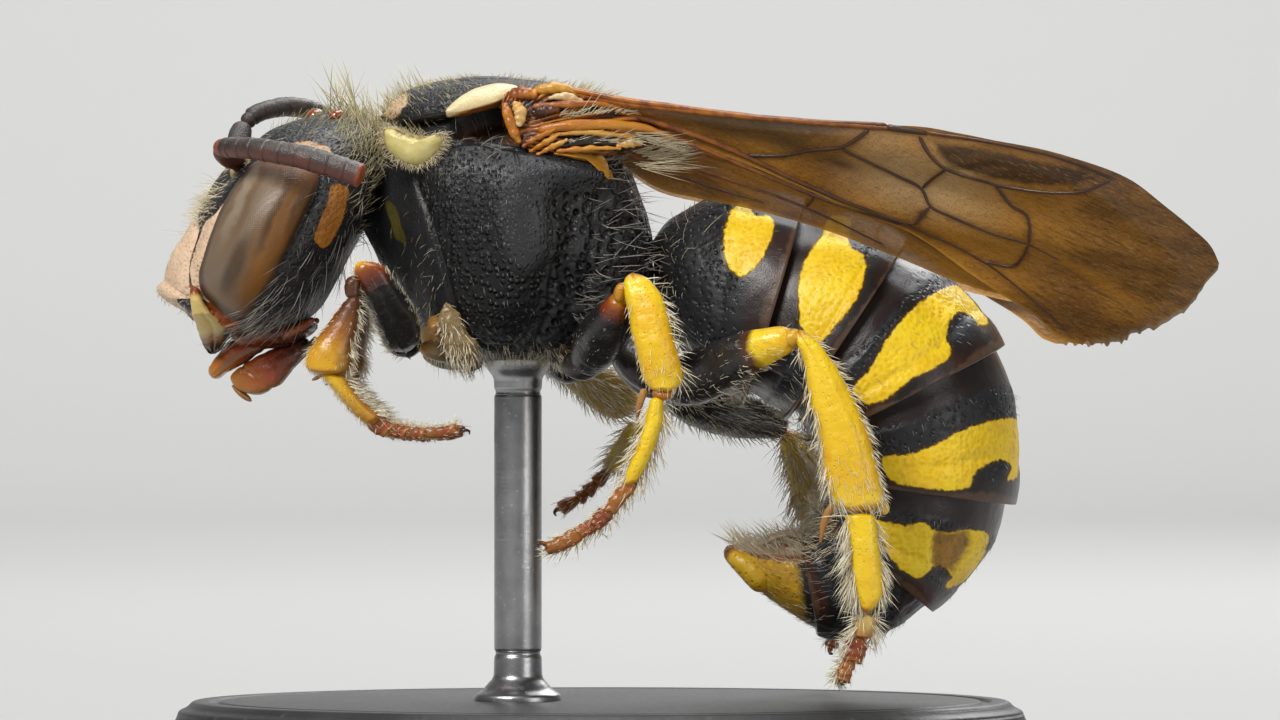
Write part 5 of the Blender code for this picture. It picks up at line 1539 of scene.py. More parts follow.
# two rounded end lobes, side by side, with a notch between
for sgn in (-1, 1):
    lobe = sweep([(1.662, -0.300, 2.121), (1.482, -0.310, 2.254), (1.330, -0.270, 2.368), (1.216, -0.200, 2.444)] if sgn < 0 else
                 [(1.662, 0.300, 2.121), (1.482, 0.310, 2.254), (1.330, 0.270, 2.368), (1.216, 0.200, 2.444)],
                 [0.17, 0.15, 0.11, 0.06], [0.20, 0.20, 0.16, 0.09], 60, 44, power=2.3)
    lobe.push(0.006 * fbm(lobe.P, 8, 3, 3) - 0.006 * smoothstep(0.4, 0.1, cells(lobe.P, 16, 19, 0.8)[0]))
    lobe.mark("u", 0.35 + 0.65 * smoothstep(0.35, 1.0, lobe.S)).mark("under", smoothstep(0.2, 1.0, lobe.N[..., 2]) * 0.5)
    parts.append(lobe)
    # small teeth on the underside's edge
    for i, (px_, pz_) in enumerate([(1.729, 2.463), (1.795, 2.482), (1.862, 2.501), (1.928, 2.510)]):
        th = sweep([(px_, sgn * 0.42, pz_), (px_ - 0.02, sgn * 0.46, pz_ + 0.05)], [0.028, 0.010], [0.028, 0.01], 12, 12)
        th.mark("u", 0.95).mark("under", 0.55)
        parts.append(th)
ridge = sweep([(1.957, -0.340, 2.615), (1.805, -0.360, 2.606), (1.662, -0.340, 2.567), (1.596, -0.280, 2.520)], [0.03, 0.035, 0.03, 0.02], [0.05, 0.07, 0.06, 0.03], 40, 20)
ridge.mark("u", 0.5).mark("under", 0.98)
rid2 = sweep(arr([(1.957, -0.340, 2.615), (1.805, -0.360, 2.606), (1.662, -0.340, 2.567), (1.596, -0.280, 2.520)]) * [1, -1, 1], [0.03, 0.035, 0.03, 0.02], [0.05, 0.07, 0.06, 0.03], 40, 20)
rid2.mark("u", 0.5).mark("under", 0.98)
parts += [ridge, rid2]
join("abdomen_tip", parts, TIP_MAT, replaces=("abdomen_7",))


# =====================================================================
# wings
# =====================================================================
WB = arr((-0.494, -1.15, 6.833))
WTIP = arr((5.871, -2.45, 5.161))
WROLL = math.radians(38)
WE1 = unit(WTIP - WB)
WHANG = unit(arr((0, 0, -1.0)) + WE1 * WE1[2])
WE2 = WHANG * math.cos(WROLL) + np.cross(WE1, WHANG) * math.sin(WROLL)
WN = np.cross(WE1, WE2)

LEAD = [(-0.01, -0.07), (0.51, -0.15), (1.0, -0.235), (1.63, -0.31), (2.35, -0.43), (2.8, -0.51), (3.32, -0.61), (3.68, -0.68), (4.26, -0.74),
        (4.79, -0.79), (5.27, -0.78), (5.67, -0.71), (6.06, -0.50), (6.32, -0.33), (6.52, -0.17), (6.61, 0.0)]
TRAIL = [(0.02, 0.16), (0.83, 0.15), (1.54, 0.20), (2.35, 0.31), (3.05, 0.45), (3.61, 0.56), (4.05, 0.76), (4.60, 1.00), (4.95, 1.20), (5.23, 1.41),
         (5.50, 1.40), (5.74, 1.34), (5.92, 1.15), (6.17, 0.91), (6.38, 0.66), (6.47, 0.44), (6.52, 0.27), (6.61, 0.08)]
HLEAD = [(0.34, 0.25), (0.80, 0.20), (1.40, 0.155), (2.12, 0.12), (3.54, 0.26), (4.30, 0.48), (4.70, 0.66), (4.93, 0.84), (5.02, 0.96)]
HTRAIL = [(0.40, 0.50), (0.72, 0.72), (1.08, 0.90), (1.58, 0.91), (2.18, 0.87), (2.98, 0.90), (3.59, 1.00), (4.15, 1.12), (4.60, 1.13), (4.92, 1.09), (5.05, 1.02)]


def wing_lift(u, v):
    """Height of the fore wing's sheet over its plane: folds along the main veins."""
    u, v = arr(u), arr(v)
    z = 0.030 * np.sin((v + 0.05 * u) * 9.0) * smoothstep(0.0, 0.8, u) * smoothstep(6.9, 4.5, u)
    z = z + 0.018 * np.exp(-((v - 0.25 - 0.02 * u) / 0.12)**2)
    p = np.stack([u, v, 0 * u], -1)
    z = z + 0.020 * vnoise(p, 1.1, 3) + 0.008 * vnoise(p * [1, 1.7, 1], 3.3, 5)
    # crumples across the middle cells
    z = z + 0.012 * np.sin((u * 0.5 + v) * 34 + 1.5 * vnoise(p, 2.0, 9)) * np.exp(-(((u - 4.20) / 0.28)**2 + ((v + 0.45) / 0.22)**2))
    z = z + 0.016 * vnoise(p * [0.55, 3.2, 1], 2.0, 19) * smoothstep(4.4, 5.4, u)
    return z


def hind_lift(u, v):
    u, v = arr(u), arr(v)
    p = np.stack([u, v, 0 * u], -1)
    return 0.115 + 0.016 * np.sin((v - 0.1 * u) * 11) + 0.018 * vnoise(p, 1.2, 8)


def wing_xyz(u, v, lift, sgn):
    u, v, lift = arr(u)[..., None], arr(v)[..., None], arr(lift)[..., None]
    P = WB + WE1 * u + WE2 * v + WN * lift
    return P * [1, -1, 1] if sgn > 0 else P


def wing_sheet(lead, trail, lift, nk, nw, ragged):
    q = np.linspace(0, 1, nk)
    L = path_at(lead, q)
    T = path_at(trail, q)
    jag = vnoise(np.stack([q * 95, 0 * q, 0 * q], -1), 1.0, 4) + 0.9 * np.maximum(vnoise(np.stack([q * 33, 0 * q + 3, 0 * q], -1), 1.0, 6), 0)
    wear = ragged * smoothstep(0.70, 0.80, q) * smoothstep(1.0, 0.97, q)
    T = T + (L - T) * (np.abs(jag) * wear * 0.040)[:, None]
    w = np.linspace(0, 1, nw)
    U = L[:, None] * (1 - w)[None, :, None] + T[:, None] * w[None, :, None]
    return U, lift(U[..., 0], U[..., 1])


def wing_mat(name, dim=1.0):
    g = Graph(name)
    u, v = g.attr("u"), g.attr("v")
    n = g.noise(1.2, 4.0)
    n2 = g.noise(5.0, 3.0)
    c = g.mix(g.step(n, 0.38, 0.62), (0.290, 0.128, 0.016), (0.150, 0.060, 0.008))
    gold = g.mul(g.step(g.math('ABSOLUTE', g.add(u, -3.7)), 1.1, 0.2), g.step(g.math('ABSOLUTE', g.add(v, 0.10)), 0.62, 0.15))
    c = g.mix(g.mul(gold, g.add(0.35, g.mul(n2, 0.8))), c, (0.400, 0.265, 0.125))
    c = g.mix(g.mul(g.step(n2, 0.5, 0.8), 0.35), c, (0.20, 0.105, 0.030))
    streaks = g.noise(1.6, 4.0, vec=g.stretch(0.35, 1.0, 1.6))
    tip = g.step(g.add(u, g.mul(g.math('SUBTRACT', streaks, 0.5), 1.6)), 4.7, 6.2)
    c = g.mix(g.mul(tip, 0.60), c, (0.085, 0.036, 0.007))
    c = g.mix(g.mul(g.mul(g.step(streaks, 0.52, 0.66), g.step(u, 4.6, 5.4)), 0.40), c, (0.150, 0.066, 0.012))
    grey = g.mul(g.step(g.math('ABSOLUTE', g.add(u, -2.0)), 1.1, 0.3), g.step(v, 0.02, -0.12))
    c = g.mix(g.mul(grey, 0.75), c, (0.045, 0.030, 0.016))
    mc = g.attr("cell")
    c = g.mix(g.mul(g.step(g.add(mc, g.mul(g.math('SUBTRACT', n2, 0.5), 0.10)), 0.01, 0.10), 0.88), c, (0.020, 0.008, 0.003))
    root = g.mul(g.step(u, 1.5, 0.3), g.step(v, 0.42, 0.05))
    c = g.mix(g.mul(root, 0.85), c, (0.24, 0.080, 0.008))
    vein = g.attr("near")
    c = g.mix(g.mul(g.step(vein, 0.085, 0.0), 0.45), c, (0.075, 0.030, 0.009))
    # long fine wrinkles running out to the tip, painted as dark and pale streaks: painted shade and painted highlight
    # of the wrinkles
    run = g.node('ShaderNodeCombineXYZ', {0: g.mul(g.add(u, g.mul(v, 0.6)), 1.1), 1: g.mul(g.add(v, g.mul(u, -0.22)), 6.5), 2: 0.0}).outputs[0]
    w1 = g.noise(4.2, 4.0, 0.62, vec=run)
    w2 = g.noise(9.0, 3.0, 0.6, vec=run)
    outer = g.step(u, 4.5, 5.2)
    c = g.mix(g.mul(g.mul(g.step(w1, 0.50, 0.62), outer), 0.50), c, (0.028, 0.013, 0.005))
    c = g.mix(g.mul(g.step(w2, 0.54, 0.66), g.mixf(outer, 0.32, 0.50)), c, (0.260, 0.160, 0.070))
    c = g.mix(g.mul(g.step(w2, 0.44, 0.34), 0.40), c, (0.045, 0.021, 0.006))
    # orange streak beyond the last cross vein
    sv = g.math('ABSOLUTE', g.add(g.add(v, g.mul(u, -0.36)), 1.40))
    c = g.mix(g.mul(g.mul(g.step(sv, 0.13, 0.0), g.step(g.math('ABSOLUTE', g.add(u, -5.35)), 0.75, 0.25)), 0.75), c, (0.300, 0.125, 0.012))
    # tiny hairs scattered over the sheet
    dots = g.voro(34.0, rand=1.0)
    dot = g.step(dots, 0.26, 0.08)
    c = g.mix(g.mul(dot, 0.65), c, (0.022, 0.010, 0.004))
    pale = g.step(g.voro(29.0, rand=1.0), 0.20, 0.05)
    c = g.mix(g.mul(pale, 0.28), c, (0.30, 0.19, 0.08))
    smudge = g.attr("smudge")
    c = g.mix(g.mul(smudge, 0.7), c, (0.035, 0.016, 0.007))
    edge = g.attr("edge")
    c = g.mix(g.mul(g.mul(g.step(edge, 0.060, 0.0), g.step(u, 5.5, 5.2)), 0.8), c, (0.40, 0.200, 0.028))
    # painted highlight: a pale grey line along the ragged edge near the tip
    c = g.mix(g.mul(g.mul(g.step(edge, 0.075, 0.0), g.step(g.add(u, g.mul(g.math('SUBTRACT', n2, 0.5), 0.9)), 5.4, 5.9)), 0.75), c, (0.240, 0.200, 0.140))
    a = g.add(g.mul(g.step(n, 0.3, 0.75), -0.02), 0.978 * dim)
    a = g.mixf(tip, a, 0.985)
    a = g.mixf(g.step(mc, -0.03, 0.06), a, 0.985)
    a = g.math('MAXIMUM', a, g.mul(dot, 0.97))
    a = g.math('MAXIMUM', a, g.mul(root, 0.96))
    nrm = g.bump(dots, -3.0)
    nrm = g.bump(g.noise(12.0, 4.0, dist=0.6), 14.0, nrm)
    nrm = g.bump(g.noise(3.5, 3.0), 30.0, nrm)
    g.surface(c, 0.50, nrm, spec=0.16, alpha=a)
    return g.mat


def vein_mat():
    g = Graph("wing_vein")
    k = g.attr("amber")
    n = g.noise(8.0, 3.0)
    c = g.mix(g.step(n, 0.3, 0.7), (0.050, 0.016, 0.004), (0.026, 0.009, 0.003))
    c = g.mix(g.step(g.add(k, g.mul(g.math('SUBTRACT', n, 0.5), 0.35)), 0.20, 0.85), c, g.mix(g.step(n, 0.35, 0.65), (0.40, 0.130, 0.008), (0.17, 0.040, 0.004)))
    nrm = g.bump(g.noise(60.0, 3.0), 3.0)
    g.surface(c, 0.36, nrm, spec=0.5, coat=0.1)
    return g.mat


def settle(points):
    """Vein lines are laid out flat, as the wing looks from the front-left side; this puts
    each point on the sloping plane of the wing along the line of sight."""
    out = []
    for u, v in points:
        T = WB + WE1 * u + WE2 * v
        T[1] = -1.2
        eye = arr((0.38, -68.76, 4.287))
        u1, v1, _ = np.linalg.solve(np.stack([WE1, WE2, eye - T], 1), eye - WB)
        out.append((u1, v1))
    return out


VEINS = [   # name, points, start radius, end radius, amber start, amber end
    ("costa", [(0.0, -0.065), (0.45, -0.135), (0.91, -0.205), (1.7, -0.325), (2.69, -0.515), (3.34, -0.665)], 0.034, 0.020, 1.0, 0.45),
    ("radius", [(0.04, -0.035), (0.91, -0.165), (2.09, -0.385), (3.41, -0.640)], 0.044, 0.024, 1.0, 0.50),
    ("stigma", [(3.32, -0.635), (3.52, -0.655), (3.76, -0.680)], 0.036, 0.022, 0.35, 0.1),
    ("margin", [(3.72, -0.685), (4.47, -0.795), (5.17, -0.815), (5.59, -0.745)], 0.020, 0.012, 0.45, 0.15),
    ("sector", [(3.66, -0.63), (3.79, -0.47), (3.97, -0.35), (4.22, -0.33), (4.46, -0.31), (4.9, -0.38), (5.29, -0.5), (5.59, -0.73)], 0.021, 0.013, 0.1, 0.0),
    ("basal", [(3.18, -0.57), (2.91, -0.28), (2.63, -0.13), (2.33, 0.05), (1.98, 0.16)], 0.022, 0.018, 0.3, 0.2),
    ("cubitus_root", [(0.09, 0.06), (0.72, 0.01), (1.43, 0.07), (1.96, 0.16), (2.54, 0.29), (3.15, 0.39), (3.61, 0.45)], 0.042, 0.018, 1.0, 0.1),
    ("anal", [(0.09, 0.14), (0.73, 0.10), (1.44, 0.19), (2.15, 0.31), (2.86, 0.42), (3.58, 0.485)], 0.034, 0.012, 1.0, 0.1),
    ("media", [(2.91, -0.28), (3.26, -0.14), (3.52, -0.05), (3.73, 0.02), (3.84, 0.17), (4.04, 0.22), (4.45, 0.29), (4.84, 0.31), (5.16, 0.43)], 0.020, 0.009, 0.1, 0.0),
    ("cross_1", [(3.97, -0.35), (3.83, -0.14), (3.73, 0.02)], 0.017, 0.015, 0.05, 0.0),
    ("cross_2", [(4.46, -0.31), (4.56, -0.14), (4.64, -0.07), (4.78, -0.02), (4.83, 0.09), (4.84, 0.31)], 0.017, 0.014, 0.05, 0.0),
    ("recurrent_1", [(3.84, 0.17), (3.78, 0.27), (3.70, 0.42), (3.61, 0.45)], 0.016, 0.014, 0.05, 0.0),
    ("recurrent_2", [(4.84, 0.31), (4.80, 0.46), (4.71, 0.65), (4.40, 0.70)], 0.015, 0.012, 0.05, 0.0),
    ("cubitus", [(2.54, 0.29), (2.85, 0.33), (3.36, 0.44), (3.61, 0.46), (3.96, 0.55), (4.38, 0.69), (5.0, 1.02), (5.26, 1.28)], 0.016, 0.007, 0.1, 0.0),
]
VEINS = [(nm_, settle(pts_), *rest_) for nm_, pts_, *rest_ in VEINS]
HIND_VEINS = [
    ("hind_costa", [(0.34, 0.27), (0.80, 0.215), (1.40, 0.175), (2.12, 0.145), (3.54, 0.285), (4.30, 0.50)], 0.036, 0.016, 1.0, 0.4),
    ("hind_media", [(0.38, 0.33), (0.95, 0.36), (1.70, 0.36), (2.60, 0.40), (3.50, 0.60), (4.40, 0.95)], 0.028, 0.010, 1.0, 0.2),
    ("hind_cubitus", [(0.40, 0.38), (0.95, 0.48), (1.70, 0.56), (2.60, 0.66), (3.40, 0.86)], 0.024, 0.009, 0.9, 0.2),
    ("hind_anal", [(0.40, 0.44), (0.90, 0.60), (1.60, 0.72), (2.20, 0.74)], 0.020, 0.008, 0.8, 0.2),
    ("hind_cross", [(2.60, 0.40), (2.66, 0.54), (2.60, 0.66)], 0.012, 0.011, 0.2, 0.2),
]
CELL = settle([(3.74, -0.66), (4.47, -0.78), (5.17, -0.80), (5.56, -0.74), (5.29, -0.52), (4.9, -0.40), (4.46, -0.33), (4.22, -0.35), (3.97, -0.37), (3.81, -0.48)])


def poly_distance(points, X, Y):
    best = np.full(X.shape, 9.0)
    p = arr(points)
    for a, b in zip(p[:-1], p[1:]):
        e = b - a
        t = np.clip(((X - a[0]) * e[0] + (Y - a[1]) * e[1]) / max(e @ e, 1e-12), 0, 1)
        best = np.minimum(best, np.hypot(X - a[0] - t * e[0], Y - a[1] - t * e[1]))
    return best


def vein_tubes(veins, lift, sgn):
    parts = []
    for _, pts, r0, r1, a0, a1 in veins:
        length = np.linalg.norm(np.diff(arr(pts), axis=0), axis=1).sum()
        nu = max(10, int(length / 0.035))
        q = np.linspace(0, 1, nu)
        uv = path_at(pts, q)
        C = wing_xyz(uv[:, 0], uv[:, 1], lift(uv[:, 0], uv[:, 1]), sgn)
        sh = sweep(C, [r0, (r0 + r1) / 2, r1], [r0 * 0.8, (r0 + r1) * 0.4, r1 * 0.8], nu, 10, ref=tuple(WN * [1, -1 if sgn > 0 else 1, 1]), power=2.0)
        sh.push(0.08 * r1 * vnoise(sh.P, 14, 3))
        sh.mark("amber", a0 + (a1 - a0) * sh.S)
        parts.append(sh)
    return parts


def sheet_object(name, U, lift, mat, sgn, veins, replaces, hind=False):
    nk, nw = U.shape[:2]
    P = wing_xyz(U[..., 0], U[..., 1], lift, sgn)
    near = np.full(U.shape[:2], 9.0)
    for _, pts, *_ in veins:
        near = np.minimum(near, poly_distance(pts, U[..., 0], U[..., 1]))
    w = np.linspace(0, 1, nw)[None, :]
    span = np.linalg.norm(U[:, -1] - U[:, 0], axis=1)[:, None]
    edge = np.minimum((1 - w) * span, 9)
    cell = inside(CELL, U[..., 0], U[..., 1]) if not hind else -1 + 0 * near
    sm = np.exp(-(((U[..., 0] - 2.9) / 0.16)**2 + ((U[..., 1] + 0.02) / 0.06)**2)) + np.exp(-(((U[..., 0] - 3.75) / 0.05)**2 + ((U[..., 1] - 0.30) / 0.05)**2))
    attrs = {"u": U[..., 0], "v": U[..., 1], "near": near, "edge": edge, "cell": cell, "smudge": np.clip(sm, 0, 1) * (0 if hind else 1)}
    return build(name, P.reshape(-1, 3), ring_quads(nk, nw, closed=False), None, mat,
                 {k: v.ravel() for k, v in attrs.items()}, replaces=replaces)


WING_MAT = wing_mat("wing_membrane_fore")
HWING_MAT = wing_mat("wing_membrane_hind", 0.95)
VEIN_MAT = vein_mat()
nk, nw = ((360, 96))
UF, LF = wing_sheet(LEAD, TRAIL, wing_lift, nk, nw, 1.0)
UH, LH = wing_sheet(HLEAD, HTRAIL, hind_lift, nk * 2 // 3, nw // 2, 0.4)
for nm, sgn in (("left", -1), ("right", 1)):
    sheet_object("wing_front_sheet_" + nm, UF, LF, WING_MAT, sgn, VEINS, ("wing_front_" + nm,))
    join("wing_front_veins_" + nm, vein_tubes(VEINS, wing_lift, sgn), VEIN_MAT)
    sheet_object("wing_hind_sheet_" + nm, UH, LH, HWING_MAT, sgn, HIND_VEINS, ("wing_hind_" + nm,), True)
    join("wing_hind_veins_" + nm, vein_tubes(HIND_VEINS, hind_lift, sgn), VEIN_MAT)


# =====================================================================
# legs
# =====================================================================
def leg_mat(name, stops, spots=0.5, side_color=None, side_amount=0.0, rough=0.36, scale=22.0):
    """Colours along the limb; side_color tints its +across edge."""
    g = Graph(name)
    n = g.noise(4.5, 4.0)
    f = g.noise(18.0, 3.0)
    k = g.add(g.attr("s"), g.mul(g.math('SUBTRACT', n, 0.5), 0.10))
    c = g.ramp(k, stops)
    if side_color is not None:
        a = g.add(g.attr("across"), g.mul(g.math('SUBTRACT', f, 0.5), 0.8))
        c = g.mix(g.mul(g.step(a, 0.05, 0.95), side_amount), c, side_color)
    hole = g.step(g.voro(scale, rand=0.9), 0.30, 0.08)
    # painted shade: pit centres darkened towards brown
    c = g.mix(g.mul(hole, spots * 0.30), c, g.mix(0.5, c, (0.16, 0.06, 0.003)))
    amberish = g.step(g.noise(3.2, 4.0, dist=0.8, vec=g.stretch(1.3, 1.0, 0.6)), 0.50, 0.72)
    c = g.mix(g.mul(amberish, spots * 0.95), c, g.mix(0.85, c, (0.92, 0.56, 0.10), 'MULTIPLY'))
    c = g.mix(g.mul(g.step(f, 0.45, 0.75), 0.22), c, g.mix(0.6, c, (0.95, 0.62, 0.06), 'MULTIPLY'))
    nrm = g.bump(hole, -5.0)
    nrm = g.bump(g.noise(60.0, 3.0), 3.0, nrm)
    nrm = g.bump(g.noise(7.0, 2.0), 12.0, nrm)
    g.surface(c, rough, nrm, spec=0.5, coat=0.12)
    return g.mat


YEL = (0.80, 0.55, 0.012)
YEL2 = (0.72, 0.43, 0.005)
ORA = (0.36, 0.115, 0.008)
REDO = (0.20, 0.035, 0.004)
BLK = (0.013, 0.012, 0.012)
BRN = (0.075, 0.022, 0.004)

M_YELLOW = leg_mat("leg_yellow", [(0.0, ORA), (0.07, YEL), (0.80, YEL2), (0.93, YEL), (1.0, ORA)])
M_BASI = leg_mat("leg_basitarsus", [(0.0, YEL), (0.80, YEL), (0.93, YEL2), (1.0, ORA)], 0.35)
M_TARSUS = leg_mat("leg_foot", [(0.0, ORA), (0.35, (0.24, 0.085, 0.010)), (0.62, REDO), (1.0, (0.33, 0.12, 0.014))], 0.3)
M_PALE = leg_mat("leg_pale", [(0.0, (0.50, 0.36, 0.12)), (0.6, (0.46, 0.30, 0.08)), (1.0, ORA)], 0.3)
M_FEMUR = leg_mat("leg_femur", [(0.0, BLK), (0.80, BLK), (0.90, REDO), (0.97, ORA), (1.0, YEL2)], 0.3, rough=0.26)
M_FEMUR_F = leg_mat("leg_front_femur", [(0.0, BLK), (0.62, BLK), (0.74, (0.06, 0.012, 0.003)), (0.84, REDO), (0.93, ORA), (1.0, YEL2)], 0.3, rough=0.30)
M_FEMUR_Y = leg_mat("leg_femur_yellow_knee", [(0.0, BLK), (0.70, BLK), (0.76, BRN), (0.80, YEL), (0.96, YEL2), (1.0, ORA)], 0.3, rough=0.28)
M_FRONT_TIBIA = leg_mat("leg_front_tibia", [(0.0, BRN), (0.22, (0.10, 0.030, 0.004)), (0.50, (0.28, 0.095, 0.006)), (0.72, (0.56, 0.28, 0.008)), (0.90, (0.62, 0.33, 0.008)), (1.0, ORA)],
                        0.4, (0.10, 0.022, 0.003), 0.80)
M_FRONT_BASI = leg_mat("leg_front_basitarsus", [(0.0, YEL2), (0.5, (0.50, 0.28, 0.008)), (0.9, (0.44, 0.20, 0.008)), (1.0, ORA)], 0.4, (0.30, 0.09, 0.006), 0.75)
M_COXA = leg_mat("leg_coxa", [(0.0, BLK), (0.45, (0.022, 0.018, 0.012)), (0.72, (0.18, 0.12, 0.045)), (0.84, (0.26, 0.19, 0.085)), (1.0, (0.36, 0.17, 0.03))], 0.4)
M_COXA_DARK = leg_mat("leg_coxa_dark", [(0.0, BLK), (0.8, (0.020, 0.016, 0.012)), (1.0, (0.07, 0.028, 0.010))], 0.3)
M_SPUR = leg_mat("leg_spur", [(0.0, (0.42, 0.22, 0.06)), (1.0, (0.30, 0.12, 0.02))], 0.0)
M_CLAW = leg_mat("leg_claw", [(0.0, ORA), (0.55, BRN), (1.0, (0.010, 0.006, 0.004))], 0.0, rough=0.22)
LEG_SURF = {}


def leg_piece(name, parts, mat, replaces=()):
    for p in parts:
        if "s" not in p.a:
            p.mark("s", p.S)
        if "across" not in p.a:
            p.mark("across", 0)
        p.push(0.006 * fbm(p.P, 7, 3, 11) - 0.005 * smoothstep(0.4, 0.1, cells(p.P, 22, 15, 0.85)[0]))
    LEG_SURF[name] = parts
    return join(name, parts, mat, replaces)


def foot_segment(left, right, ys, thick):
    """One foot joint: narrow where it sits in the joint before, wide and cut off
    square at its far end, with a notch in the middle of that end."""
    left, right = arr(left), arr(right)
    mid = (left[0] + right[0]) / 2
    back = (mid - (left[-1] + right[-1]) / 2) * 0.10
    left = np.vstack([mid + (left[0] - mid) * 0.55 + back, left])
    right = np.vstack([mid + (right[0] - mid) * 0.55 + back, right])
    sh = blade(left, right, ys, [thick * 0.6, thick * 0.85, thick], 44, 30, 2.3, (0.10, 0.05))
    sh.push(-0.25 * thick * np.exp(-((sh.S - 0.96) / 0.05)**2) * np.exp(-(sh.a["across"] / 0.4)**2) + 0.05 * thick * np.sin(sh.S * 22))
    return sh


def claws(tip, aim, sgn, size=0.11, y=0.05):
    """Two hooked claws; aim is the foot's direction."""
    out = []
    tip, aim = arr(tip), unit(aim)
    down = unit(np.cross(aim, YAX)) * (1 if np.cross(aim, YAX)[2] < 0 else -1)
    for s in (-1, 1):
        a = tip + YAX * s * y * 0.5
        pts = [a, a + aim * size * 0.55 + YAX * s * y * 0.7, a + aim * size * 0.9 + down * size * 0.25 + YAX * s * y, a + aim * size * 0.85 + down * size * 0.7 + YAX * s * y]
        c = sweep(pts, [0.028, 0.022, 0.014, 0.004], [0.022, 0.018, 0.012, 0.004], 26, 12)
        out.append(c)
    return out


# ---------------------------------------------------------------- front left
FL_TIB_L = [(-2.375, 4.895), (-2.489, 4.743), (-2.575, 4.610), (-2.698, 4.449), (-2.764, 4.325), (-2.774, 4.230), (-2.717, 4.154)]
FL_TIB_R = [(-2.270, 4.914), (-2.270, 4.781), (-2.280, 4.639), (-2.308, 4.496), (-2.328, 4.382), (-2.328, 4.268), (-2.394, 4.135)]
FL_BAS_L = [(-2.660, 4.173), (-2.536, 4.030), (-2.422, 3.888), (-2.308, 3.764), (-2.175, 3.651)]
FL_BAS_R = [(-2.403, 4.163), (-2.346, 4.040), (-2.252, 3.926), (-2.137, 3.821), (-2.042, 3.736)]


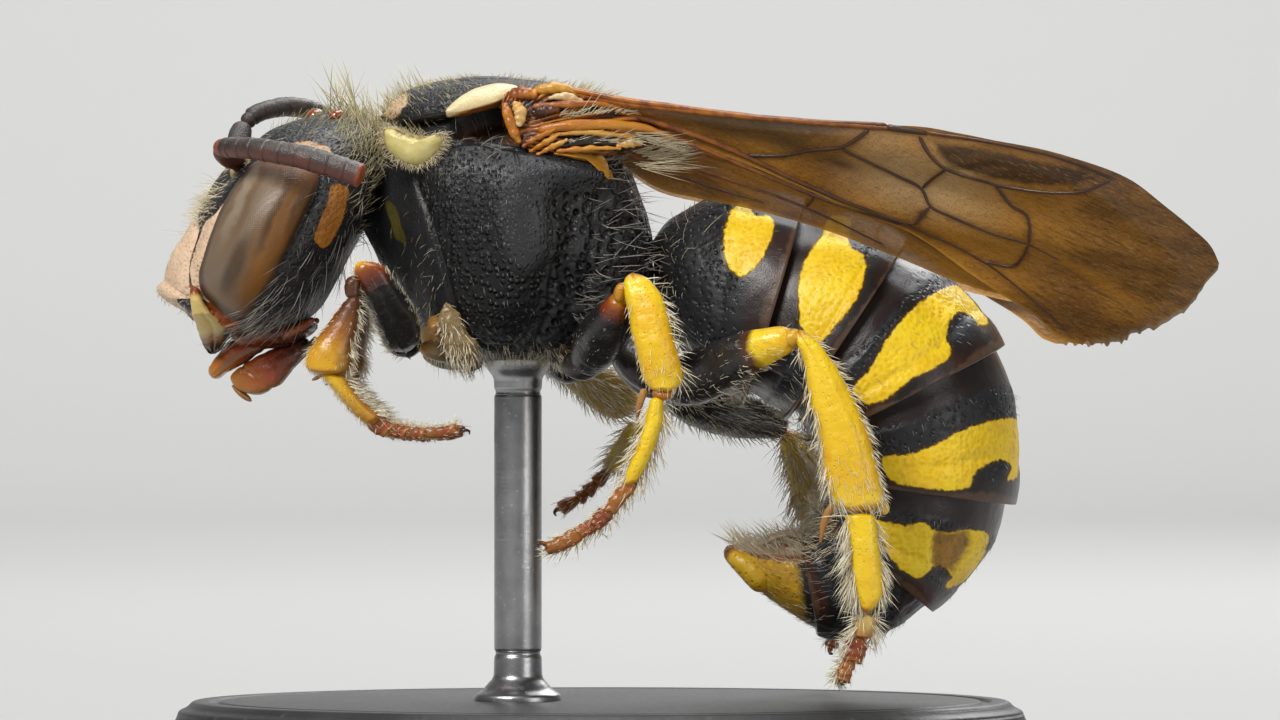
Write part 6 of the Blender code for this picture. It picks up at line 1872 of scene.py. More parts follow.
def front_leg(nm, shift=(0, 0), sgn=-1):
    sx, sz = shift[0] * 0.0095, -shift[1] * 0.0095
    mv = arr((sx, sz))
    mv3 = arr((sx, 0, sz))
    my = arr((1, -sgn, 1))
    yy = lambda *v: [sgn * abs(k) for k in v]
    cox = sweep(arr([(-1.463, -0.440, 4.686), (-1.520, -0.620, 4.534), (-1.634, -0.780, 4.439)]) * my + mv3, [0.24, 0.22, 0.13], [0.26, 0.22, 0.14], 60, 36)
    tro = sweep(arr([(-1.235, -0.500, 4.363), (-1.425, -0.640, 4.363), (-1.615, -0.800, 4.382), (-1.710, -0.860, 4.420)]) * my + mv3, [0.09, 0.12, 0.10, 0.06], [0.12, 0.13, 0.12, 0.07], 40, 28)
    pad = blade(arr([(-1.492, 4.838), (-1.520, 4.686), (-1.510, 4.515), (-1.463, 4.363), (-1.387, 4.249)]) + mv, arr([(-1.425, 4.857), (-1.339, 4.724), (-1.235, 4.553), (-1.149, 4.382), (-1.140, 4.230)]) + mv,
                yy(-1.17, -1.22, -1.19, -1.08), [0.03, 0.055, 0.06, 0.04], 70, 44, 2.2, (0.3, 0.2))
    pad.push(0.025 * fbm(pad.P, 9, 4, 5))
    pad.mark("s", 0.72 + 0.10 * pad.S)
    yel = blade(arr([(-1.653, 4.686), (-1.643, 4.591), (-1.596, 4.505)]) + mv, arr([(-1.558, 4.733), (-1.492, 4.629), (-1.492, 4.515)]) + mv,
                yy(-0.98, -1.04, -1.00), [0.04, 0.07, 0.05], 36, 26, 2.2, (0.2, 0.2))
    yel.mark("s", 0.97)
    leg_piece("leg_front_%s_coxa_shell" % nm, [cox, tro, pad, yel], M_COXA, ("leg_front_%s_coxa" % nm,))
    fl_l = arr([(-1.938, 4.344), (-2.033, 4.410), (-2.109, 4.572), (-2.175, 4.752), (-2.242, 4.923), (-2.318, 5.066), (-2.356, 5.180)]) + mv
    fl_r = arr([(-1.758, 4.391), (-1.710, 4.534), (-1.729, 4.686), (-1.815, 4.848), (-1.919, 5.009), (-2.052, 5.180), (-2.204, 5.247)]) + mv
    fem = blade(fl_l, fl_r, yy(-0.86, -1.16, -1.46, -1.56), [0.13, 0.21, 0.20, 0.12], 110, 54, 2.2, (0.10, 0.12))
    # the side turned to the shin is hollowed, with a fine ridge down it
    ac_ = fem.a["across"]
    fem.push(-0.045 * np.exp(-((ac_ + 0.05) / 0.40)**2) * smoothstep(0.05, 0.25, fem.S) * smoothstep(0.95, 0.75, fem.S)
             + 0.020 * np.exp(-((ac_ + 0.28 - 0.1 * fem.S) / 0.07)**2) * smoothstep(0.9, 0.7, fem.S))
    leg_piece("leg_front_%s_femur_shell" % nm, [fem], M_FEMUR_F, ("leg_front_%s_femur" % nm,))
    tib = blade(arr(FL_TIB_L) + mv, arr(FL_TIB_R) + mv, yy(-1.56, -1.62, -1.68, -1.70), [0.09, 0.16, 0.19, 0.16], 100, 46, 2.3, (0.10, 0.08))
    joint = sweep(arr([(-2.308, -1.570, 5.085), (-2.337, -1.570, 4.971), (-2.337, -1.580, 4.857)]) * my + mv3, [0.07, 0.075, 0.06], [0.09, 0.09, 0.07], 30, 24)
    joint.mark("s", 0.0)
    leg_piece("leg_front_%s_tibia_shell" % nm, [tib, joint], M_FRONT_TIBIA, ("leg_front_%s_tibia" % nm,))
    spur = sweep(arr([(-2.603, -1.620, 4.173), (-2.660, -1.600, 4.125), (-2.717, -1.580, 4.097)]) * my + mv3, [0.026, 0.02, 0.006], [0.03, 0.02, 0.006], 24, 12)
    leg_piece("leg_front_%s_spur" % nm, [spur], M_SPUR)
    bas = blade(arr(FL_BAS_L) + mv, arr(FL_BAS_R) + mv, yy(-1.70, -1.67, -1.64), [0.10, 0.13, 0.11], 80, 36, 2.2, (0.10, 0.10))
    leg_piece("leg_front_%s_basitarsus" % nm, [bas], M_FRONT_BASI, ("leg_front_%s_tarsus" % nm,))
    segs = [([(-2.195, 3.679), (-2.128, 3.594), (-2.033, 3.555)], [(-2.062, 3.764), (-1.976, 3.717), (-1.919, 3.669)], -1.63, -1.61),
            ([(-2.042, 3.603), (-1.957, 3.555), (-1.853, 3.546)], [(-1.948, 3.698), (-1.871, 3.679), (-1.776, 3.651)], -1.61, -1.59),
            ([(-1.862, 3.575), (-1.767, 3.536), (-1.672, 3.536)], [(-1.805, 3.660), (-1.720, 3.651), (-1.634, 3.641)], -1.59, -1.57),
            ([(-1.691, 3.565), (-1.577, 3.546), (-1.454, 3.555), (-1.339, 3.594)], [(-1.662, 3.641), (-1.548, 3.651), (-1.434, 3.669), (-1.359, 3.698)], -1.57, -1.53)]
    parts = [foot_segment(arr(a) + mv, arr(b) + mv, yy(y0, y1), 0.065) for a, b, y0, y1 in segs]
    leg_piece("leg_front_%s_foot" % nm, parts, M_TARSUS)
    leg_piece("leg_front_%s_claws" % nm, claws(arr([(-1.368, -1.530, 3.641)][0]) * my + mv3, (0.9, 0, 0.25), sgn, 0.085), M_CLAW)


front_leg("left", (0, 0), -1)
front_leg("right", (-2, 6), 1)

# ---------------------------------------------------------------- middle left
cox = sweep([(-0.380, -0.440, 4.572), (-0.266, -0.800, 4.363)], [0.26, 0.24], [0.26, 0.23], 50, 36)
tro = sweep([(-0.323, -0.780, 4.268), (-0.152, -0.940, 4.230), (-0.019, -1.060, 4.287)], [0.10, 0.14, 0.10], [0.12, 0.14, 0.10], 40, 28)
leg_piece("leg_middle_left_coxa_shell", [cox, tro], M_COXA_DARK, ("leg_middle_left_coxa",))
fem = sweep([(-0.133, -1.000, 4.249), (0.009, -1.420, 4.496), (0.123, -1.760, 4.705), (0.209, -1.950, 4.895)], [0.16, 0.235, 0.20, 0.075], [0.17, 0.23, 0.20, 0.10], 100, 44, power=2.2)
leg_piece("leg_middle_left_femur_shell", [fem], M_FEMUR, ("leg_middle_left_femur",))
tib = blade([(0.209, 5.085), (0.228, 4.933), (0.275, 4.714), (0.304, 4.524), (0.351, 4.325), (0.427, 4.088), (0.522, 3.974)], [(0.408, 5.114), (0.532, 4.971), (0.617, 4.800), (0.684, 4.543), (0.750, 4.296), (0.779, 4.097), (0.694, 3.974)],
            [-2.02, -2.06, -2.10, -2.12], [0.11, 0.17, 0.19, 0.14], 130, 52, 2.4, (0.09, 0.06))
knee = sweep([(0.180, -1.960, 4.838), (0.190, -1.980, 4.923), (0.228, -2.000, 5.009)], [0.045, 0.062, 0.05], [0.08, 0.10, 0.08], 36, 26)
knee.mark("s", 0.01)
end = sweep([(0.494, -2.110, 3.992), (0.599, -2.120, 3.954), (0.703, -2.120, 3.992)], [0.035, 0.05, 0.035], [0.07, 0.10, 0.07], 30, 22)
end.mark("s", 1.0)
tib.push(0.016 * np.exp(-((tib.a["across"] - 0.30) / 0.10)**2) * smoothstep(0.1, 0.3, tib.S) * smoothstep(0.95, 0.8, tib.S) - 0.014 * np.exp(-((tib.a["across"] + 0.25) / 0.28)**2))
leg_piece("leg_middle_left_tibia_shell", [tib, knee, end], M_YELLOW, ("leg_middle_left_tibia",))
spur = sweep([(0.427, -2.050, 4.021), (0.390, -2.030, 3.907), (0.342, -2.000, 3.708)], [0.038, 0.034, 0.006], [0.03, 0.03, 0.006], 34, 14)
leg_piece("leg_middle_left_spur", [spur], M_SPUR)
bas = blade([(0.475, 3.945), (0.408, 3.660), (0.342, 3.470), (0.275, 3.308), (0.209, 3.080)], [(0.599, 3.945), (0.589, 3.679), (0.541, 3.527), (0.475, 3.375), (0.351, 3.128)],
            [-2.12, -2.10, -2.08, -2.06], [0.09, 0.12, 0.12, 0.09], 90, 38, 2.25, (0.06, 0.08))
leg_piece("leg_middle_left_basitarsus", [bas], M_BASI, ("leg_middle_left_tarsus",))
parts = []
for a, b, y0, y1, s0 in (([(0.209, 3.128), (0.104, 3.014), (0.028, 2.872)], [(0.351, 3.119), (0.247, 2.957), (0.142, 2.824)], -2.06, -2.04, 0.0),
                         ([(0.038, 2.909), (-0.057, 2.843), (-0.104, 2.767)], [(0.133, 2.843), (0.057, 2.729), (-0.009, 2.681)], -2.04, -2.02, 0.45),
                         ([(-0.095, 2.795), (-0.180, 2.748), (-0.247, 2.700)], [(-0.019, 2.691), (-0.095, 2.634), (-0.162, 2.606)], -2.02, -2.00, 0.6),
                         ([(-0.218, 2.710), (-0.333, 2.662), (-0.447, 2.596), (-0.522, 2.567)], [(-0.152, 2.615), (-0.257, 2.529), (-0.380, 2.482), (-0.494, 2.463)], -2.00, -1.96, 0.1)):
    p = foot_segment(a, b, [y0, y1], 0.075)
    p.mark("s", s0 + 0.3 * p.S)
    parts.append(p)
leg_piece("leg_middle_left_foot", parts, M_TARSUS)
leg_piece("leg_middle_left_claws", claws(arr([(-0.494, -1.960, 2.548)][0]), (-0.75, 0, 0.35), -1, 0.085), M_CLAW)

# ---------------------------------------------------------------- hind left
cox = sweep([(0.266, -0.460, 4.572), (0.475, -0.840, 4.173), (0.608, -0.960, 4.021)], [0.27, 0.25, 0.14], [0.28, 0.24, 0.14], 60, 38)
leg_piece("leg_hind_left_coxa_shell", [cox], M_COXA_DARK, ("leg_hind_left_coxa",))
fem = sweep([(0.646, -1.020, 4.040), (0.950, -1.460, 4.135), (1.330, -1.860, 4.325), (1.615, -2.040, 4.439), (1.833, -2.120, 4.496)], [0.18, 0.25, 0.235, 0.19, 0.12], [0.19, 0.24, 0.22, 0.18, 0.12],
            120, 46, power=2.2)
leg_piece("leg_hind_left_femur_shell", [fem], M_FEMUR_Y, ("leg_hind_left_femur",))
tib = blade([(1.795, 4.543), (1.900, 4.316), (1.966, 3.907), (2.062, 3.536), (2.109, 3.223), (2.195, 2.957), (2.308, 2.843)], [(1.919, 4.591), (2.156, 4.316), (2.365, 3.954), (2.508, 3.631), (2.584, 3.346), (2.651, 3.052), (2.669, 2.881)],
            [-2.15, -2.19, -2.22, -2.22], [0.10, 0.17, 0.20, 0.15], 150, 54, 2.3, (0.07, 0.05))
knee = sweep([(1.720, -2.090, 4.439), (1.824, -2.130, 4.496), (1.900, -2.150, 4.505)], [0.07, 0.085, 0.06], [0.08, 0.10, 0.07], 34, 26)
knee.mark("s", 0.03)
spot = sweep([(2.622, -2.160, 2.957), (2.660, -2.160, 2.900), (2.631, -2.150, 2.853)], [0.04, 0.055, 0.035], [0.08, 0.10, 0.06], 26, 18)
spot.mark("s", 0.95)
tib.push(0.020 * np.exp(-((tib.a["across"] - 0.35) / 0.10)**2) * smoothstep(0.1, 0.3, tib.S) * smoothstep(0.95, 0.8, tib.S) - 0.018 * np.exp(-((tib.a["across"] + 0.25) / 0.30)**2))
leg_piece("leg_hind_left_tibia_shell", [tib, knee, spot], M_YELLOW, ("leg_hind_left_tibia",))
spur = sweep([(2.308, -2.150, 3.014), (2.185, -2.140, 2.919), (2.109, -2.120, 2.767), (2.071, -2.100, 2.567)], [0.034, 0.038, 0.032, 0.008], [0.03, 0.034, 0.03, 0.008], 44, 14)
leg_piece("leg_hind_left_spur", [spur], M_SPUR)
bas = blade([(2.289, 2.862), (2.328, 2.625), (2.356, 2.387), (2.385, 2.102), (2.461, 1.931)], [(2.575, 2.862), (2.612, 2.577), (2.641, 2.340), (2.651, 2.083), (2.536, 1.912)],
            [-2.22, -2.20, -2.18, -2.16], [0.10, 0.13, 0.13, 0.10], 110, 42, 2.3, (0.05, 0.06))
leg_piece("leg_hind_left_basitarsus", [bas], M_BASI, ("leg_hind_left_tarsus",))
pale = blade([(2.422, 1.912), (2.394, 1.798), (2.375, 1.694)], [(2.575, 1.902), (2.584, 1.788), (2.555, 1.665)], [-2.16, -2.14], [0.06, 0.09, 0.09], 40, 30, 2.3, (0.2, 0.12))
leg_piece("leg_hind_left_foot_pale", [pale], M_PALE)
parts = []
for a, b, y0, y1, s0 in (([(2.337, 1.684), (2.289, 1.570), (2.270, 1.475)], [(2.498, 1.646), (2.489, 1.532), (2.451, 1.427)], -2.14, -2.11, 0.5),
                         ([(2.280, 1.475), (2.223, 1.380), (2.204, 1.285)], [(2.403, 1.446), (2.375, 1.361), (2.346, 1.247)], -2.11, -2.08, 0.0)):
    p = foot_segment(a, b, [y0, y1], 0.085)
    p.mark("s", s0 + 0.3 * p.S)
    parts.append(p)
leg_piece("leg_hind_left_foot", parts, M_TARSUS)
leg_piece("leg_hind_left_claws", claws(arr([(2.280, -2.080, 1.294)][0]), (-0.35, 0, -0.9), -1, 0.05), M_CLAW)

# ---------------------------------------------------------------- middle right
cox = sweep([(-0.38, 0.44, 4.50), (-0.24, 0.80, 4.28)], [0.26, 0.22], [0.26, 0.22], 44, 34)
leg_piece("leg_middle_right_coxa_shell", [cox], M_COXA_DARK, ("leg_middle_right_coxa",))
fem = sweep([(-0.26, 0.95, 4.22), (-0.44, 1.40, 4.32), (-0.60, 1.78, 4.42)], [0.18, 0.22, 0.15], [0.18, 0.22, 0.15], 80, 38)
leg_piece("leg_middle_right_femur_shell", [fem], M_FEMUR, ("leg_middle_right_femur",))
tib = sweep([(-0.60, 1.84, 4.36), (-0.30, 1.93, 4.20), (0.05, 1.99, 3.98), (0.33, 2.03, 3.80)], [0.10, 0.17, 0.22, 0.20], [0.10, 0.16, 0.18, 0.15], 100, 44, power=2.3)
leg_piece("leg_middle_right_tibia_shell", [tib], leg_mat("leg_far_tibia", [(0.0, ORA), (0.10, (0.34, 0.23, 0.07)), (0.8, (0.46, 0.32, 0.07)), (1.0, YEL2)], 0.4),
          ("leg_middle_right_tibia",))
bas = sweep([(0.38, 2.04, 3.66), (0.24, 2.03, 3.42), (0.06, 2.01, 3.18)], [0.10, 0.11, 0.08], [0.10, 0.11, 0.08], 60, 32)
leg_piece("leg_middle_right_basitarsus", [bas], M_BASI, ("leg_middle_right_tarsus",))
parts = [sweep([arr(a) + (arr(a) - arr(b)) * 0.12, b], [0.04, 0.065, 0.078], [0.04, 0.06, 0.07], 34, 26, round_ends=(0.8, 0.35)) for a, b in (((0.06, 2.01, 3.18), (-0.06, 1.99, 3.05)), ((-0.06, 1.99, 3.05), (-0.16, 1.98, 2.96)),
                                                                        ((-0.16, 1.98, 2.96), (-0.24, 1.96, 2.90)), ((-0.25, 1.96, 2.90), (-0.42, 1.93, 2.80)))]
leg_piece("leg_middle_right_foot", parts, M_TARSUS)
leg_piece("leg_middle_right_claws", claws((-0.41, 1.93, 2.81), (-0.8, 0, -0.3), 1, 0.08), M_CLAW)

# ---------------------------------------------------------------- hind right
cox = sweep([(0.26, 0.46, 4.50), (0.50, 0.86, 4.10), (0.62, 0.96, 3.98)], [0.27, 0.24, 0.14], [0.28, 0.24, 0.14], 50, 36)
leg_piece("leg_hind_right_coxa_shell", [cox], M_COXA_DARK, ("leg_hind_right_coxa",))
fem = sweep([(0.70, 1.02, 3.94), (1.05, 1.42, 3.84), (1.40, 1.78, 3.74), (1.84, 2.04, 3.62)], [0.18, 0.25, 0.23, 0.12], [0.18, 0.24, 0.22, 0.12], 100, 42)
leg_piece("leg_hind_right_femur_shell", [fem], leg_mat("leg_far_femur", [(0.0, BLK), (0.86, BLK), (0.93, BRN), (1.0, ORA)], 0.3, rough=0.28),
          ("leg_hind_right_femur",))
tib = sweep([(1.84, 2.06, 3.58), (2.02, 2.09, 3.20), (2.14, 2.12, 2.88), (2.28, 2.14, 2.46)], [0.09, 0.18, 0.23, 0.19], [0.09, 0.17, 0.19, 0.15], 120, 46, power=2.3)
leg_piece("leg_hind_right_tibia_shell", [tib], M_YELLOW, ("leg_hind_right_tibia",))
bas = sweep([(2.28, 2.14, 2.40), (2.36, 2.13, 2.12), (2.38, 2.11, 1.84)], [0.11, 0.14, 0.09], [0.10, 0.12, 0.09], 70, 36)
leg_piece("leg_hind_right_basitarsus", [bas], M_BASI, ("leg_hind_right_tarsus",))
parts = [sweep([arr(a) + (arr(a) - arr(b)) * 0.12, b], [0.04, 0.065, 0.078], [0.04, 0.06, 0.07], 34, 26, round_ends=(0.8, 0.35)) for a, b in (((2.38, 2.11, 1.84), (2.36, 2.09, 1.70)), ((2.36, 2.09, 1.70), (2.32, 2.07, 1.56)),
                                                                        ((2.32, 2.07, 1.56), (2.28, 2.05, 1.42)))]
leg_piece("leg_hind_right_foot", parts, M_TARSUS)
leg_piece("leg_hind_right_claws", claws((2.28, 2.05, 1.42), (-0.3, 0, -0.9), 1, 0.06), M_CLAW)


# =====================================================================
# hair: thin tapered strands standing on the shells
# =====================================================================
RNG = np.random.default_rng(20417)
THIN = 1.0
ATLAS = {}


def atlas_cell(key):
    """Each shell has its own square of the bake layout, 8 by 8 squares in all."""
    if key not in ATLAS:
        i = len(ATLAS)
        ATLAS[key] = (0.004 + 0.125 * (i % 8), 0.004 + 0.125 * (i // 8), 0.117)
    return ATLAS[key]


def roots_on(sh, key, count, mask=None):
    """Places on a shell picked by area times mask: position, outward normal, direction
    along the shell, and place in the bake layout."""
    P, N = sh.P, sh.renormal().N
    nu, nv = P.shape[:2]
    a = P[1:] - P[:-1]
    b = np.roll(P, -1, axis=1)[:-1] - P[:-1]
    w = np.linalg.norm(np.cross(a, b), axis=-1)
    if mask is not None:
        w = w * np.clip(mask[:-1], 0, None)
    w = w.ravel()
    if w.sum() <= 0:
        w = w + 1
    n = max(1, int(count * THIN))
    pick = RNG.choice(w.size, n, p=w / w.sum())
    i, j = pick // nv, pick % nv
    fi, fj = RNG.random(n), RNG.random(n)
    j2 = (j + 1) % nv

    def at(A):
        fi_, fj_ = (fi, fj) if A.ndim == 2 else (fi[:, None], fj[:, None])
        return (A[i, j] * (1 - fi_) * (1 - fj_) + A[i + 1, j] * fi_ * (1 - fj_)
                + A[i, j2] * (1 - fi_) * fj_ + A[i + 1, j2] * fi_ * fj_)
    u0, v0, size = atlas_cell(key)
    uv = np.stack([u0 + size * (i + fi) / (nu - 1), v0 + size * (j + fj) / nv], 1)
    along = unit(P[i + 1, j] - P[i, j])
    return {"p": at(P), "n": unit(at(N)), "t": along, "uv": uv, "i": i, "j": j}


def strands(roots, lie, erect, length, radius, bend=0.25, jitter=0.18, curl=None, spread=0.35):
    """lie: the way the hair lies (one vector, or 'along' the shell, or one each);
    erect 0 flat .. 1 straight out."""
    n = len(roots["p"])
    N = roots["n"]
    L = roots["t"] if isinstance(lie, str) else np.broadcast_to(unit(arr(lie)), N.shape)
    if isinstance(lie, str) and lie == "against":
        L = -L
    L = L - N * (L * N).sum(-1, keepdims=True) * 0.85
    L = unit(L)
    e = np.clip(arr(erect) + 0.12 * RNG.standard_normal(n), 0.04, 1.2)[:, None]
    d = unit(N * e + L * (1 - np.minimum(e, 1)) + jitter * RNG.standard_normal((n, 3)))
    # never into the shell
    into = (d * N).sum(-1, keepdims=True)
    d = unit(d + N * np.maximum(0.08 - into, 0))
    ln = arr(length) * (1 + spread * (RNG.random(n) * 2 - 1))
    c = L if curl is None else np.broadcast_to(arr(curl), N.shape)
    return {"p": roots["p"] - N * 0.004, "d": d, "c": c, "l": ln, "r": arr(radius) * np.ones(n) * (0.8 + 0.4 * RNG.random(n)),
            "b": bend * (0.5 + RNG.random(n)), "uv": roots["uv"]}


def tuft_mesh(name, groups, mat, segments=3):
    S = {k: np.concatenate([g[k] for g in groups]) for k in ("p", "d", "c", "l", "r", "b", "uv")}
    n = len(S["p"])
    side = unit(np.cross(S["d"], unit(RNG.standard_normal((n, 3)))))
    up = np.cross(S["d"], side)
    ts = np.linspace(0, 1, segments + 1)
    V, A, U = [], [], []
    for k, t in enumerate(ts):
        c = S["p"] + S["d"] * (S["l"] * t)[:, None] + S["c"] * (S["l"] * S["b"] * t * t)[:, None]
        if k == segments:
            V.append(c[:, None])
            A.append(np.full((n, 1), t))
            U.append(np.stack([S["uv"][:, 0], S["uv"][:, 1] + 0.0012], 1)[:, None])
            break
        r = S["r"] * (1 - 0.55 * t)
        ring = []
        for m in range(3):
            ang = 2 * math.pi * m / 3
            ring.append(c + (side * math.cos(ang) + up * math.sin(ang)) * r[:, None])
        V.append(np.stack(ring, 1))
        A.append(np.full((n, 3), t))
        off = np.array([-0.0012, 0.0, 0.0012])
        U.append(np.stack([S["uv"][:, 0:1] + off, np.repeat(S["uv"][:, 1:2] - 0.0012 + 0.0024 * t, 3, 1)], -1))
    V, A, U = np.concatenate(V, 1), np.concatenate(A, 1), np.concatenate(U, 1)
    per = V.shape[1]
    quads, tris = [], []
    for k in range(segments - 1):
        for m in range(3):
            a, b = 3 * k + m, 3 * k + (m + 1) % 3
            quads.append((a, b, b + 3, a + 3))
    for m in range(3):
        tris.append((3 * (segments - 1) + m, 3 * (segments - 1) + (m + 1) % 3, 3 * segments))
    base = (np.arange(n) * per)[:, None, None]
    quads = (np.array(quads)[None] + base).reshape(-1, 4)
    tris = (np.array(tris)[None] + base).reshape(-1, 3)
    vary = np.repeat(RNG.random(n)[:, None], per, 1)
    ob = build(name, V.reshape(-1, 3), quads, tris, mat, {"along": A.ravel(), "vary": vary.ravel()},
               uv=U.reshape(-1, 2))
    return ob


def region(sh, poly, soft=0.05, ymin=0.0):
    m = smoothstep(-soft, soft, inside(soft_outline(poly, 60), sh.P[..., 0], sh.P[..., 2]))
    return m * (np.abs(sh.P[..., 1]) > ymin)


HAIR_CREAM = hair_material("hair_cream", (0.34, 0.27, 0.16), (0.62, 0.53, 0.36))
HAIR_OLIVE = hair_material("hair_olive", (0.13, 0.105, 0.040), (0.44, 0.375, 0.180))
HAIR_GREY = hair_material("hair_grey", (0.09, 0.08, 0.07), (0.36, 0.33, 0.28))
HAIR_WHITE = hair_material("hair_white", (0.58, 0.47, 0.25), (0.88, 0.79, 0.56))

# ---------------------------------------------------------------- head
hd, hf, hy = head_frame(HEAD_SURF.P)
HN_ = HEAD_SURF.renormal().N
he, _, _ = eye_metric(hd, hf)
clear = np.where((np.abs(hy) > 0.75) & (he < 1.06), 0.0, 1.0)
clypm = inside(soft_outline(CLYPEUS, 100), hy, hd)
facing = smoothstep(0.05, 0.25, hf)
hay = np.abs(hy)

# face: short pale hairs lying down and outwards; longer ones round the feeler sockets
m_face = clear * facing * smoothstep(0.0, -0.05, clypm) * smoothstep(-0.75, -0.4, hd) * smoothstep(1.05, 0.8, hd)
m_sock = clear * facing * np.exp(-((hd - 0.26) / 0.17)**2) * np.exp(-((hay - 0.42) / 0.30)**2)
m_clyp = facing * smoothstep(0.0, 0.05, clypm)
m_lip = facing * np.exp(-((hd - 1.20) / 0.06)**2) * (hay < 0.85)
rf = roots_on(HEAD_SURF, "head", 420, m_face)
rs = roots_on(HEAD_SURF, "head", 190, m_sock)
rc = roots_on(HEAD_SURF, "head", 420, m_clyp)
rl = roots_on(HEAD_SURF, "head", 90, m_lip)
tuft_mesh("coat_face", [
    strands(rf, DOWN, 0.35, 0.060, 0.0028, 0.3),
    strands(rs, FRONT + 0.45 * DOWN, 0.55, 0.15, 0.0034, 0.35, 0.28),
    strands(rc, DOWN, 0.25, 0.035, 0.0022, 0.3),
    strands(rl, DOWN, 0.40, 0.050, 0.0030, 0.2)], HAIR_CREAM)

# top of the head and behind it: tall, fine, upright
crown = smoothstep(-0.55, -0.95, hd) * clear
rear_top = region(HEAD_SURF, [(-2.612, 6.795), (-2.422, 6.757), (-2.166, 6.681), (-1.938, 6.548), (-1.938, 6.187), (-2.147, 6.187), (-2.422, 6.472), (-2.603, 6.586)], 0.03)
fuzz_top = region(HEAD_SURF, [(-2.518, 6.624), (-2.166, 6.643), (-1.919, 6.377), (-1.938, 5.940), (-2.204, 5.902), (-2.413, 6.168)], 0.04)
occ = smoothstep(-0.45, -0.70, hf) * smoothstep(0.0, -0.5, hd) * clear
UPV = arr((0.10, 0, 1.0))
tuft_mesh("coat_crown", [
    strands(roots_on(HEAD_SURF, "head", 480, crown), (0.7, 0, 0.7), 0.45, 0.10, 0.0030, 0.2, 0.22, spread=0.6),
    strands(roots_on(HEAD_SURF, "head", 115, clear * rear_top), (0.0, 0, 1.0), 0.22, 0.42, 0.0060, 0.15, 0.20, spread=0.45),
    strands(roots_on(HEAD_SURF, "head", 260, occ), (0.35, 0, 0.9), 0.50, 0.11, 0.0036, 0.35, 0.3, spread=0.5),
    strands(roots_on(HEAD_SURF, "head", 640, clear * fuzz_top), (0.35, 0, 0.8), 0.30, 0.11, 0.0038, 0.35, 0.35, spread=0.5)], HAIR_OLIVE)

# cheeks: long pale hairs swept forward and down under the eye
stripe_clear = smoothstep(0.0, -0.06, HEAD_SURF.a["m_gena"])
gena = clear * smoothstep(0.45, 0.8, hay) * smoothstep(-0.10, -0.35, hf) * stripe_clear
low = smoothstep(0.35, 0.95, hd)
tuft_mesh("coat_cheek", [
    strands(roots_on(HEAD_SURF, "head", 290, gena * (0.16 + low)), (-0.75, 0, -0.45), 0.36, 0.22, 0.0042, 0.38, 0.16, spread=0.5),
    strands(roots_on(HEAD_SURF, "head", 60, clear * smoothstep(0.70, 1.05, hd) * smoothstep(-0.05, -0.3, hf)), (-0.7, 0, -0.6), 0.40, 0.22, 0.0042, 0.3, 0.18),
    strands(roots_on(HEAD_SURF, "head", 340, gena), (-0.3, 0, -0.9), 0.34, 0.065, 0.0026, 0.32)], HAIR_GREY)

# ---------------------------------------------------------------- neck and collar
cx_, cy_, cz_ = collar.P[..., 0], np.abs(collar.P[..., 1]), collar.P[..., 2]
ctop = smoothstep(6.0, 6.4, cz_)
tuft_mesh("coat_collar", [
    strands(roots_on(collar, "collar", 560, ctop), (-0.35, 0, 0.95), 0.75, 0.16, 0.0038, 0.25, 0.26, spread=0.5),
    strands(roots_on(collar, "collar", 70, smoothstep(6.2, 6.5, cz_)), (-0.3, 0, 1.0), 0.90, 0.32, 0.0044, 0.15, 0.16),
    strands(roots_on(collar, "collar", 130, smoothstep(6.2, 5.2, cz_) * smoothstep(0.3, 0.5, cy_)), (-0.2, 0, -0.9), 0.4, 0.075, 0.0026, 0.3, 0.25),
    strands(roots_on(collar, "collar", 90, smoothstep(5.1, 4.7, cz_)), (0.1, 0, -1.0), 0.6, 0.13, 0.0050, 0.25, 0.2)], HAIR_OLIVE)

# ---------------------------------------------------------------- scutum and scutellum
sx_, sy_, sz_ = scutum.P[..., 0], np.abs(scutum.P[..., 1]), scutum.P[..., 2]
st = smoothstep(0.0, 0.2, scutum.renormal().N[..., 2])
tuft_mesh("coat_scutum", [
    strands(roots_on(scutum, "scutum", 420, st * smoothstep(-0.9, -1.5, sx_)), (-0.5, 0, 0.6), 0.45, 0.060, 0.0032, 0.3, 0.22),
    strands(roots_on(scutum, "scutum", 60, st * smoothstep(-1.75, -2.0, sx_)), (-0.5, 0, 0.8), 0.8, 0.11, 0.0038, 0.3, 0.22, spread=0.5),
    strands(roots_on(scutum, "scutum", 160, st * smoothstep(-1.2, -0.7, sx_)), (0.6, 0, 0.5), 0.55, 0.07, 0.0030, 0.3, 0.2),
    strands(roots_on(sc2, "scutellum", 220, smoothstep(-0.1, 0.3, sc2.renormal().N[..., 2])), (0.8, 0, 0.3), 0.5, 0.16, 0.0038, 0.3, 0.2)],
    HAIR_OLIVE)

